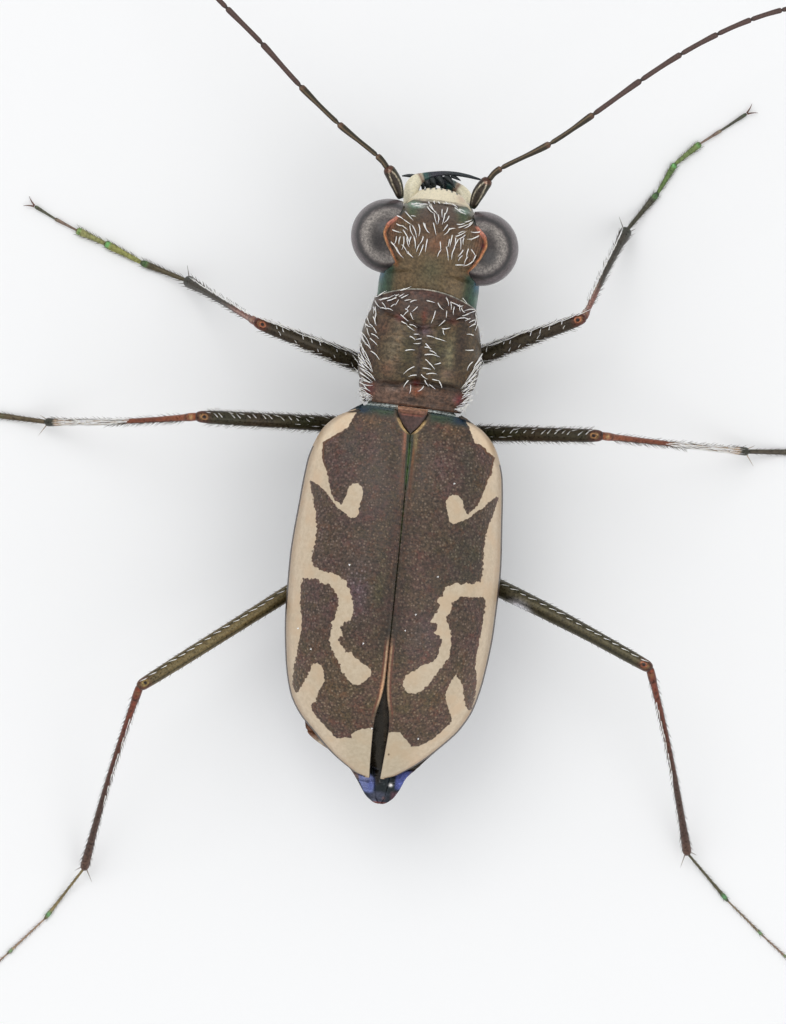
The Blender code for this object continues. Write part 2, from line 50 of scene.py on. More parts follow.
ELYTRA = ((1.93, 1.10, 3.46, 2.78), (1.75, 1.42, 3.53, 2.70), (1.50, 1.66, 3.62, 2.60),
          (1.22, 1.80, 3.71, 2.53), (0.83, 1.91, 3.83, 2.46), (0.00, 1.99, 4.00, 2.41),
          (-1.10, 2.06, 4.10, 2.38), (-2.10, 2.04, 4.06, 2.37), (-3.00, 1.95, 3.88, 2.36),
          (-3.67, 1.80, 3.63, 2.36), (-4.10, 1.58, 3.42, 2.36), (-4.45, 1.27, 3.20, 2.37),
          (-4.84, 0.84, 2.95, 2.39), (-5.06, 0.53, 2.80, 2.41), (-5.15, 0.38, 2.74, 2.42), (-5.20, 0.22, 2.70, 2.43))
SPLIT_Y, SPLIT_HALF = -3.4, 0.125
SCUTELLUM = dict(front=2.02, tip=1.55, half=0.36, top=3.56)
TRUNK = ((2.03, 0.80, 2.00), (1.85, 1.02, 1.76), (1.60, 1.40, 1.58), (1.20, 1.68, 1.44),
         (0.60, 1.80, 1.38), (-0.20, 1.87, 1.40), (-0.95, 1.91, 1.50), (-2.10, 1.91, 1.56),
         (-3.10, 1.81, 1.66), (-3.70, 1.66, 1.78), (-4.10, 1.47, 1.88), (-4.50, 1.13, 1.97),
         (-4.85, 0.78, 2.04), (-5.10, 0.56, 2.09), (-5.40, 0.41, 2.16), (-5.66, 0.24, 2.25))
WAIST_Y = -0.97
TAIL_TOP = 2.54
TAIL_BEND = 0.17
TURN = math.radians(-2.0)
PIVOT = (0.0, 1.9)
PROTHORAX = ((2.08, 0.96, 3.50, 1.98), (2.18, 1.00, 3.55, 1.94), (2.45, 1.10, 3.66, 1.88),
             (2.90, 1.16, 3.74, 1.84), (3.30, 1.16, 3.75, 1.85), (3.70, 1.10, 3.69, 1.92),
             (3.98, 1.03, 3.61, 2.00), (4.13, 1.00, 3.56, 2.06))
COLLAR_ARC = 0.26
HEAD = ((4.17, 0.95, 3.50, 2.18), (4.52, 0.95, 3.60, 2.12), (4.80, 0.95, 3.70, 2.08),
        (5.10, 0.98, 3.77, 2.05), (5.40, 0.98, 3.74, 2.02), (5.70, 0.90, 3.60, 1.98),
        (5.93, 0.76, 3.36, 1.95), (6.13, 0.60, 3.04, 1.95))
EYE = dict(out=0.895, y=5.32, z=3.22, rx=0.74, ry=0.73, rz=0.68)
LEGS = {
    "front_left": dict(socket=(-0.36, 2.95, 2.02), hip=(-0.56, 2.70, 1.52), knee=(-3.19, 3.43, 2.60),
                       ankle=(-4.65, 4.14, 0.27), thigh=0.185,
                       foot=(0.97, 0.79, 0.60, 0.48, 0.46), heading=(164, 158, 161, 158, 154)),
    "front_right": dict(socket=(0.42, 2.97, 2.02), hip=(0.62, 2.93, 1.52), knee=(3.18, 4.16, 2.45),
                        ankle=(3.88, 6.00, 0.27), thigh=0.185,
                        foot=(0.98, 0.68, 0.64, 0.50, 0.60), heading=(56, 65, 45, 38, 39)),
    "middle_left": dict(socket=(-0.46, 1.58, 1.85), hip=(-0.76, 1.64, 1.38), knee=(-4.14, 1.47, 2.95),
                        ankle=(-7.15, 1.08, 0.27), thigh=0.155,
                        foot=(1.00, 0.72, 0.50, 0.33, 0.55), heading=(178, 177, 178, 180, 182)),
    "middle_right": dict(socket=(0.46, 1.58, 1.85), hip=(0.76, 1.66, 1.38), knee=(3.74, 1.89, 3.15),
                         ankle=(6.70, 1.90, 0.27), thigh=0.155,
                         foot=(1.00, 0.72, 0.50, 0.33, 0.55), heading=(5, 4, 2, 1, 0)),
    "hind_left": dict(socket=(-0.48, -0.62, 1.80), hip=(-0.77, -0.80, 1.34), knee=(-4.72, -3.88, 3.35),
                      ankle=(-5.52, -7.63, 0.27), thigh=0.155,
                      foot=(1.29, 1.04, 0.66, 0.45, 0.60), heading=(-122, -131, -133, -134, -134)),
    "hind_right": dict(socket=(0.46, -0.62, 1.80), hip=(0.73, -0.82, 1.34), knee=(5.14, -2.52, 3.30),
                       ankle=(6.33, -6.13, 0.27), thigh=0.155,
                       foot=(1.26, 1.00, 0.66, 0.45, 0.60), heading=(-44, -39, -37, -36, -35)),
}
# feelers: socket, end of the first joint, then the ends of the other ten
FEELERS = {
    "left": ((-0.62, 6.11, 3.14), (-0.95, 6.69, 3.30), (-1.17, 6.89, 3.33), (-1.98, 7.43, 3.45),
             (-2.79, 8.08, 3.55), (-3.62, 8.83, 3.55), (-4.37, 9.45, 3.50), (-4.99, 9.98, 3.45),
             (-5.51, 10.46, 3.37), (-5.99, 10.90, 3.29), (-6.42, 11.32, 3.19), (-6.84, 11.73, 3.09)),
    "right": ((0.79, 6.06, 3.14), (1.06, 6.66, 3.30), (1.28, 6.89, 3.33), (2.18, 7.46, 3.45),
              (2.96, 8.11, 3.55), (3.81, 8.86, 3.55), (4.54, 9.45, 3.50), (5.21, 9.91, 3.45),
              (5.83, 10.26, 3.37), (6.41, 10.51, 3.29), (6.99, 10.68, 3.19), (7.57, 10.78, 3.09)),
}

# ------------------------------------------------------------------ photo plane
PIXEL = 0.0195                               # mm on the floor's own plane per pixel
EYE_HEIGHT = 203.4                           # lens height above the floor, mm
LENS_Z = 200.0
ROLL = math.radians(5.8)
ACROSS, ALONG = math.cos(ROLL), math.sin(ROLL)


def plan(u, v, z=3.0):
    """Plan place in mm of a photo pixel seen at height z."""
    f = PIXEL * (EYE_HEIGHT - z) / LENS_Z
    du, dv = np.asarray(u, float) - 393.0, np.asarray(v, float) - 512.0
    return f * (du * ACROSS + dv * ALONG) - 0.15, f * (du * ALONG - dv * ACROSS)


# ------------------------------------------------------------------ number tools
def smooth(a, b, t):
    """0 below a, 1 above b, smooth between; also for a > b."""
    t = np.clip((np.asarray(t, float) - a) / (b - a), 0.0, 1.0)
    return t * t * (3 - 2 * t)


def bell(t, mid, wide):
    return np.exp(-((np.asarray(t, float) - mid) / wide) ** 2)


def limited(xs, ys):
    """Smooth curve through points, with slopes limited so that it never overshoots."""
    xs, ys = np.asarray(xs, float), np.asarray(ys, float)
    if xs[0] > xs[-1]:
        xs, ys = xs[::-1], ys[::-1]
    h = np.diff(xs)
    s = np.diff(ys) / h
    m = np.empty(len(ys))
    m[0], m[-1] = s[0], s[-1]
    both = s[:-1] * s[1:]
    total = np.where(np.abs(s[:-1] + s[1:]) < 1e-12, 1.0, s[:-1] + s[1:])
    m[1:-1] = np.where(both <= 0, 0.0, 2 * both / total)

    def at(x):
        x = np.clip(np.asarray(x, float), xs[0], xs[-1])
        i = np.clip(np.searchsorted(xs, x) - 1, 0, len(xs) - 2)
        t = (x - xs[i]) / h[i]
        return ((2 * t**3 - 3 * t**2 + 1) * ys[i] + (t**3 - 2 * t**2 + t) * h[i] * m[i]
                + (-2 * t**3 + 3 * t**2) * ys[i + 1] + (t**3 - t**2) * h[i] * m[i + 1])
    return at


def column(table, k):
    return limited([r[0] for r in table], [r[k] for r in table])


def cell(i, j, k, seed):
    """Fixed pseudo-random number from 0 to 1 for each lattice cell."""
    h = (i * 374761393 + j * 668265263 + k * 1442695041 + seed * 1274126177) & 0xFFFFFFFF
    h = ((h ^ (h >> 13)) * 1274126177) & 0xFFFFFFFF
    return ((h ^ (h >> 16)) & 0xFFFFFF) / float(0xFFFFFF)


def clouds(P, size, seed=0):
    """Smooth noise from -1 to 1 with lumps of about the given size in mm."""
    Q = np.asarray(P, float) / size
    base = np.floor(Q).astype(np.int64)
    f = Q - base
    f = f * f * (3 - 2 * f)
    out = 0.0
    for a in (0, 1):
        for b in (0, 1):
            for c in (0, 1):
                w = ((f[..., 0] if a else 1 - f[..., 0]) * (f[..., 1] if b else 1 - f[..., 1])
                     * (f[..., 2] if c else 1 - f[..., 2]))
                out = out + w * cell(base[..., 0] + a, base[..., 1] + b, base[..., 2] + c, seed)
    return 2 * out - 1


def pits(x, y, pitch, wide, seed=0):
    """Depth pattern, 0 to 1, of small punctures on a jittered staggered lattice."""
    a = np.asarray(x, float) / pitch
    b = np.asarray(y, float) / (pitch * 0.866)
    best = np.full(a.shape, 9.0)
    row0 = np.floor(b).astype(np.int64)
    for dr in (-1, 0, 1):
        row = row0 + dr
        shift = 0.5 * (row & 1)
        col0 = np.floor(a - shift).astype(np.int64)
        for dc in (-1, 0, 1):
            col = col0 + dc
            cx = col + shift + 0.5 + 0.42 * (cell(col, row, 0 * row, seed) - 0.5)
            cy = row + 0.5 + 0.42 * (cell(col, row, 0 * row + 1, seed) - 0.5)
            d = ((a - cx) * pitch) ** 2 + ((b - cy) * pitch * 0.866) ** 2
            best = np.minimum(best, d)
    return np.exp(-best / wide**2)


def turned(P):
    """Fore-body points turned a little to the right about the waist."""
    P = np.array(P, float)
    c, s = math.cos(TURN), math.sin(TURN)
    x, y = P[..., 0] - PIVOT[0], P[..., 1] - PIVOT[1]
    P[..., 0], P[..., 1] = x * c - y * s + PIVOT[0], x * s + y * c + PIVOT[1]
    return P


def unturned(x, y):
    c, s = math.cos(-TURN), math.sin(-TURN)
    dx, dy = x - PIVOT[0], y - PIVOT[1]
    return dx * c - dy * s + PIVOT[0], dx * s + dy * c + PIVOT[1]


def ink(r, g, b):
    """Screen colour, 0 to 255, as linear light."""
    c = np.array((r, g, b), float) / 255.0
    return np.where(c <= 0.04045, c / 12.92, ((c + 0.055) / 1.055) ** 2.4)


def coat(n, colour):
    return np.tile(ink(*colour), (n, 1))


def paint(C, colour, weight):
    w = np.clip(np.asarray(weight, float), 0, 1)[:, None]
    C[:] = C * (1 - w) + ink(*colour) * w


# ------------------------------------------------------------------ mesh tools
def net(rows, cols, closed=True, start=0):
    """Quads over a rows x cols lattice of points."""
    r = np.arange(rows - 1)[:, None]
    c = np.arange(cols if closed else cols - 1)[None, :]
    a = r * cols + c
    b = r * cols + (c + 1) % cols
    return (np.stack((a, b, b + cols, a + cols), -1).reshape(-1, 4) + start)


def fan(ring, centre):
    ring = np.asarray(ring)
    return np.stack((ring, np.roll(ring, -1), np.full(len(ring), centre)), -1)


def capped(rings):
    """Points and faces of a closed body from an array (rows, cols, 3) of rings."""
    rows, cols = rings.shape[:2]
    P = np.concatenate((rings.reshape(-1, 3), rings[0].mean(0)[None], rings[-1].mean(0)[None]))
    tris = np.concatenate((fan(np.arange(cols), rows * cols),
                           fan(np.arange(cols) + (rows - 1) * cols, rows * cols + 1)))
    return P, net(rows, cols), tris


def outward(P, quads, tris):
    """Turns the side faces to point out; the ends are left as they are."""
    def volume(T):
        a, b, c = P[T[:, 0]], P[T[:, 1]], P[T[:, 2]]
        return float(np.einsum("ij,ij->i", a, np.cross(b, c)).sum())
    body = np.concatenate((quads[:, (0, 1, 2)], quads[:, (0, 2, 3)]))
    if volume(body) < 0:
        quads = quads[:, ::-1]
    return quads


def piece(name, P, quads, tris, mat, nodes=(), fields=None, uv=None, flip=None, flat=False):
    """Makes a mesh object in metres, closed bodies facing out, riding on the body."""
    P = np.asarray(P, float)
    quads = np.zeros((0, 4), int) if quads is None else np.asarray(quads)
    tris = np.zeros((0, 3), int) if tris is None else np.asarray(tris)
    me = bpy.data.meshes.new(name)
    me.vertices.add(len(P))
    me.vertices.foreach_set("co", ((P + SHIFT) * MM).astype(np.float32).ravel())
    me.loops.add(4 * len(quads) + 3 * len(tris))
    me.loops.foreach_set("vertex_index", np.concatenate((quads.ravel(), tris.ravel())).astype(np.int32))
    me.polygons.add(len(quads) + len(tris))
    me.polygons.foreach_set("loop_start", np.concatenate(
        (np.arange(len(quads)) * 4, 4 * len(quads) + np.arange(len(tris)) * 3)).astype(np.int32))
    me.update(calc_edges=True)
    for key, values in (fields or {}).items():
        values = np.asarray(values, np.float32)
        if values.ndim == 2:
            layer = me.attributes.new(key, "FLOAT_COLOR", "POINT")
            layer.data.foreach_set("color", np.concatenate((values, np.ones((len(values), 1), np.float32)), 1).ravel())
        else:
            layer = me.attributes.new(key, "FLOAT", "POINT")
            layer.data.foreach_set("value", values)
    if uv is not None:
        layer = me.uv_layers.new(name="OFBake")
        loops = np.concatenate((quads.ravel(), tris.ravel()))
        layer.data.foreach_set("uv", np.asarray(uv, np.float32)[loops].ravel())
    if flip is None:
        import bmesh
        bm = bmesh.new()
        bm.from_mesh(me)
        bmesh.ops.recalc_face_normals(bm, faces=bm.faces)
        bm.to_mesh(me)
        bm.free()
    if flat:
        me.shade_flat()
    else:
        me.shade_smooth()
    me.materials.append(mat)
    obj = bpy.data.objects.new(name, me)
    bpy.context.scene.collection.objects.link(obj)
    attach(obj, "root")
    if nodes:
        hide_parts(*nodes)
    return obj


def course(knots, per):
    """Smooth line through knots, and the knot number reached at each of its points."""
    K = np.asarray(knots, float)
    K = np.concatenate(((2 * K[0] - K[1])[None], K, (2 * K[-1] - K[-2])[None]))
    out, mark = [], []
    for i in range(1, len(K) - 2):
        p0, p1, p2, p3 = K[i - 1:i + 3]
        for k in range(per):
            t = k / per
            out.append(0.5 * (2 * p1 + (p2 - p0) * t + (2 * p0 - 5 * p1 + 4 * p2 - p3) * t**2
                              + (3 * p1 - p0 - 3 * p2 + p3) * t**3))
            mark.append(i - 1 + t)
    out.append(K[-2])
    mark.append(len(K) - 3)
    return np.array(out), np.array(mark)


def sweep(C, R, sides, tall=1.0, up=(0, 0, 1)):
    """Rings round a centre line. R is a radius per point, or per point and side.
    Side k is at the angle k/sides of a turn, measured from the limb's right side over its top."""
    C = np.asarray(C, float)
    T = np.gradient(C, axis=0)
    T /= np.linalg.norm(T, axis=1)[:, None]
    U = np.cross(T, np.asarray(up, float))
    U /= np.linalg.norm(U, axis=1)[:, None]
    W = np.cross(U, T)
    a = 2 * math.pi * np.arange(sides) / sides
    R = np.asarray(R, float)
    if R.ndim == 1:
        R = R[:, None] * np.ones(sides)
    tall = np.asarray(tall, float)
    if tall.ndim == 1:
        tall = tall[:, None, None]
    return (C[:, None] + R[..., None] * (np.cos(a)[None, :, None] * U[:, None]
                                         + tall * np.sin(a)[None, :, None] * W[:, None]))


def join(parts):
    """Joins several (P, quads, tris, fields) into one."""
    P, Q, T, F, n = [], [], [], {}, 0
    for p, q, t, f in parts:
        P.append(p)
        Q.append(np.asarray(q).reshape(-1, 4) + n)
        T.append(np.asarray(t).reshape(-1, 3) + n)
        for key, values in f.items():
            F.setdefault(key, []).append(values)
        n += len(p)
    return (np.concatenate(P), np.concatenate(Q), np.concatenate(T),
            {k: np.concatenate(v) for k, v in F.items()})
# outlines of the dark parts of the two wing cases, in photo pixels, from the shoulder
# round the cream comma, the middle band and the tip hook to the seam
DARK_LEFT = (
    (356.3, 412.2), (353.4, 417.5), (350.1, 422.7), (348.1, 426.6), (343.4, 430.4), (338.6, 433.3), (332.8, 436.1),
    (328, 439), (323.3, 441.9), (322.3, 448.6), (322.1, 456.2), (322.8, 461), (325.2, 467.7), (327.6, 474.4),
    (328.5, 481.1), (330, 487.8), (331.4, 494.5), (334.7, 499.8), (340.5, 504.5), (342.4, 504.1), (344.8, 497.8),
    (347.2, 493.5), (348.6, 488.8), (350.1, 484.9), (352.9, 483.5), (357.7, 483.5), (361.5, 486.8), (363, 490.7),
    (362.5, 497.4), (360.1, 503.1), (359.1, 507.9), (358.2, 513.6), (355.3, 517), (351, 517.5), (347.2, 515.1),
    (342.4, 510.8), (336.7, 506), (332.8, 501.2), (328, 494.5), (323.3, 488.8), (317.5, 484.4), (312.7, 481.1),
    (310.1, 480.4), (310.8, 486.8), (312.3, 496.4), (314.2, 506), (315.6, 515.5), (316.6, 525.1), (316.1, 533.7),
    (314.7, 545), (313, 547.1), (312.1, 554.3), (311.7, 561), (313.5, 565.9), (316.6, 567.7), (319.3, 569),
    (322.9, 570.8), (330, 572.6), (335.4, 574.4), (339.8, 576.6), (341.6, 579.3), (345.6, 581.1), (347, 586.4),
    (349.6, 590), (351.4, 595.4), (352.8, 602.5), (353.7, 606.5), (352.8, 612.3), (351, 615.9), (350.5, 620.4),
    (348.8, 621.7), (344.3, 621.2), (342.9, 624.4), (340.7, 627.1), (341.2, 630.2), (342.9, 633.8), (342.5, 636.4),
    (339.4, 637.3), (338.5, 640.9), (339.4, 644.5), (342.5, 646.2), (346.1, 652.1), (350.5, 652.1), (354.1, 656.1),
    (360.4, 662.3), (366.6, 666.8), (370.2, 670.4), (371.1, 671.6), (370.2, 676.1), (368.4, 678.8), (363.9, 681.4),
    (360.4, 684.6), (356.8, 685.4), (353.2, 684.1), (349.6, 681.4), (347, 677.9), (342.5, 672.5), (339.8, 665),
    (337.1, 658.8), (333.6, 653.4), (330.9, 648), (329.6, 641.8), (330.4, 636.4), (331.8, 631.1), (332.2, 625.7),
    (330.9, 621.7), (334.5, 619.5), (336.7, 613.2), (337.6, 607.9), (338.9, 602.5), (337.1, 595.4), (334.5, 590),
    (330.9, 585.5), (328.2, 583.8), (324.6, 583.8), (320.2, 582), (317.5, 579.3), (314.4, 577.9), (310.4, 579.7),
    (308.6, 578.4), (305.4, 577.5), (302.3, 578.8), (301, 582.9), (300.5, 590), (300.1, 598), (300.5, 607.9),
    (301, 616.8), (301.4, 624.8), (300.5, 634.6), (298.8, 639.1), (297, 650.7), (296.1, 657.9), (294.3, 665),
    (293.4, 671.2), (292.9, 676.1), (292.5, 683.2), (293.4, 687.7), (294.7, 691.2), (297, 693.5), (298.8, 691.2),
    (301.4, 686.8), (303.7, 681.4), (306.8, 676.5), (309.5, 671.6), (311.2, 666.7), (313.9, 664), (317.1, 663.1),
    (320.2, 665.4), (322.9, 668.9), (324.2, 673.4), (324.6, 678.8), (323.8, 682.3), (321.1, 685.9), (318.4, 691.2),
    (316.6, 697.5), (315.3, 702), (311.2, 702.9), (310.8, 707.3), (312.1, 710.9), (314.8, 715.4), (319.3, 720.7),
    (323.8, 725.2), (328.2, 730.5), (331.8, 734.1), (336.2, 737.7), (340.7, 738.1), (344.3, 737.2), (351.4, 738.1),
    (351.4, 734.1), (355.9, 731.4), (359.5, 729.2), (364.8, 728.8), (369.3, 728.3), (374.6, 730.5),
)
DARK_RIGHT = (
    (466, 422.7), (468.9, 426.6), (470.8, 432.3), (472.7, 437.1), (474.6, 442.8), (480.4, 444.7), (485.1, 448.6),
    (488, 452.4), (493.8, 456.2), (494.7, 458.1), (493.3, 463.9), (492.3, 469.6), (491.8, 474.4), (488, 480.1),
    (486.6, 484.9), (484.2, 490.7), (482.3, 496.4), (480.4, 501.2), (476.5, 506), (470.8, 511.7), (467.9, 514.6),
    (466.5, 513.6), (464.1, 507.9), (462.7, 502.1), (461.2, 498.3), (457.4, 495), (453.6, 494.5), (449.7, 496.4),
    (446.4, 500.2), (445.7, 505), (446.9, 510.8), (448.8, 516.5), (449.7, 521.8), (453.6, 524.1), (458.4, 522.7),
    (465.1, 520.3), (469.8, 517.5), (475.6, 511.7), (481.3, 509.3), (488, 503.1), (491.8, 499.8), (496.6, 496.9),
    (498.5, 497.4), (498.1, 501.2), (495.7, 507.9), (492.8, 515.5), (489.9, 523.2), (487.5, 528.9), (486.6, 534.7),
    (484.7, 545), (483.1, 565.4), (482.7, 571.6), (481.8, 577.9), (480.9, 581.4), (476.4, 582.3), (471.1, 584.6),
    (467.5, 583.2), (464.8, 583.2), (462.1, 585.9), (458.6, 583.2), (454.1, 584.1), (450.5, 585.9), (447, 586.3),
    (444.3, 590.4), (442.5, 595.7), (438.9, 597.5), (438, 601.1), (439.4, 604.6), (438.5, 610), (435.4, 613.6),
    (432.7, 618), (430.9, 621.6), (431.8, 622.9), (434.5, 621.6), (437.6, 624.3), (438, 626.5), (436.2, 630.1),
    (434.5, 632.8), (438, 634.1), (440.7, 637.7), (442.1, 642.1), (441.6, 644.8), (439.4, 647.5), (439.4, 652.9),
    (437.6, 657.3), (433.6, 660.9), (429.1, 663.1), (422.9, 665.8), (415.7, 669.8), (409.5, 673.4), (405.9, 675.2),
    (403.7, 679.6), (403.2, 684.1), (404.6, 688.6), (407.7, 692.6), (413, 693.5), (418.4, 692.6), (423.8, 689.5),
    (427.3, 685), (430.9, 680.5), (435.4, 675.2), (438.9, 669.8), (443.4, 666.2), (445.2, 661.8), (447.9, 658.2),
    (449.6, 652.9), (451, 645.7), (451, 638.6), (450.1, 631.4), (447.9, 624.3), (446.1, 618), (449.6, 612.7),
    (451.4, 607.3), (451.4, 602.9), (454.1, 601.5), (457.7, 599.3), (461.2, 596.2), (465.7, 596.2), (469.3, 597.1),
    (474.6, 596.6), (480, 596.6), (483.6, 597.5), (486.2, 600.2), (485.8, 606.4), (484, 615.4), (482.7, 624.3),
    (480.9, 634.1), (479.6, 643), (477.3, 651.1), (476, 659.1), (475.5, 667.1), (476.4, 674.3), (476.9, 681.6),
    (476, 690.5), (474.6, 696.8), (473.8, 702.1), (472, 708.4), (469.7, 711.1), (467.5, 709.7), (465.7, 705.7),
    (464.4, 700.4), (463, 694.1), (462.6, 687.9), (460.8, 683.4), (458.6, 678), (455.9, 675.4), (452.8, 678.9),
    (449.6, 683.4), (447.4, 689.6), (446.1, 695), (446.1, 700.4), (447.4, 705.7), (448.8, 710.2), (451.4, 715.5),
    (451.4, 720.9), (449.2, 724.5), (445.2, 728), (440.7, 732.5), (435.4, 737), (430, 741), (424.6, 744.1),
    (418.4, 745.9), (411.2, 746.8), (407.7, 741.4), (403.2, 737), (400.5, 732.5), (396.1, 732.1), (391.6, 731.6),
    (385.4, 734.3),
)

# single bristles of the head and the pronotum: root and tip, in photo pixels
HEAD_BRISTLES = (
    (396.9, 215.8, 403.7, 219.6), (403.7, 219.6, 411.8, 225), (405, 211.5, 413.2, 220.3), (411.1, 215.6, 415.9, 216.3),
    (396.3, 223.7, 403.7, 225.7), (402.3, 225.7, 407.7, 229.8), (392.2, 229.8, 401.7, 232.5), (409.8, 225.7, 413.8, 236.5),
    (403, 229.8, 409.8, 244.6), (407.1, 236.5, 409.1, 247.3), (418.6, 224.4, 418.6, 236.5), (423.3, 223, 428, 232.5),
    (424.6, 223.7, 429.4, 233.2), (433.4, 223, 436.1, 235.2), (396.3, 236.5, 394.2, 244.6), (400.3, 236.5, 399, 244.6),
    (403.7, 236.5, 401.7, 250.1), (390.8, 241.9, 397.6, 252.8), (396.3, 247.3, 403.7, 258.2), (401.7, 244.6, 407.1, 252.8),
    (407.1, 252.8, 413.2, 257.5), (407.7, 251.4, 412.5, 256.8), (413.8, 236.5, 415.2, 248.7), (423.3, 236.5, 419.2, 244.6),
    (419.2, 244.6, 416.5, 252.1), (423.3, 244.6, 418.6, 256.1), (427.3, 239.2, 425.3, 252.1), (427.3, 206.8, 434.1, 213.5),
    (429.4, 204.8, 436.8, 212.2), (430.7, 204.1, 438.2, 214.9), (434.1, 213.5, 436.8, 224.4), (438.2, 214.9, 437.5, 224.4),
    (442.2, 209.5, 442.2, 217.6), (447.6, 208.1, 443.6, 216.3), (444.9, 213.5, 442.2, 224.4), (449, 216.3, 443.6, 223),
    (447.6, 225, 442.9, 231.1), (449.7, 228.4, 443.6, 235.2), (449, 229.8, 455.7, 228.4), (440.2, 241.9, 440.9, 250.1),
    (440.9, 250.1, 437.5, 256.8), (457.1, 224.4, 465.2, 223), (458.4, 227.7, 469.3, 223.7), (465.2, 222.3, 472.6, 219.6),
    (473.3, 221.7, 463.9, 228.4), (468.6, 225, 473.3, 221.7), (455.7, 236.5, 466.6, 231.1), (458.4, 233.8, 465.2, 231.1),
    (480.1, 231.8, 470.6, 231.8), (479.4, 235.2, 466.6, 239.2), (478.7, 236.5, 470.6, 240.6), (452.4, 235.2, 449.7, 247.3),
    (455.7, 237.9, 455.1, 244.6), (465.2, 235.2, 458.4, 239.2), (458.4, 239.2, 452.4, 252.8), (460.5, 237.9, 460.5, 250.1),
    (455.1, 247.3, 451.7, 259.5), (446.3, 246.7, 448.3, 260.9), (463.9, 237.9, 463.2, 244.6), (463.2, 250.1, 457.8, 256.8),
    (462.5, 255.5, 458.4, 260.9), (468.6, 248.7, 466.6, 258.2), (471.3, 249.4, 476, 256.8), (467.9, 256.8, 464.5, 264.3),
    (473.3, 260.9, 463.2, 266.3), (455.7, 264.9, 465.2, 264.9), (476, 255.5, 473.3, 261.5), (449.7, 239.2, 447.6, 247.3),
    (411.1, 204.8, 419.2, 203.4), (419.2, 203.4, 428.7, 204.1), (443.6, 203.4, 451.7, 203.4), (451.7, 204.1, 457.8, 208.1),
    (413.8, 206.1, 423.3, 205.2), (428.7, 202.1, 429.4, 204.1), (434.1, 201.4, 434.8, 204.1), (438.2, 202.1, 440.2, 203.8),
    (445.6, 202.1, 447.6, 203.8), (412.5, 225.7, 416.5, 237.9), (411.1, 236.5, 409.1, 244.6),
)
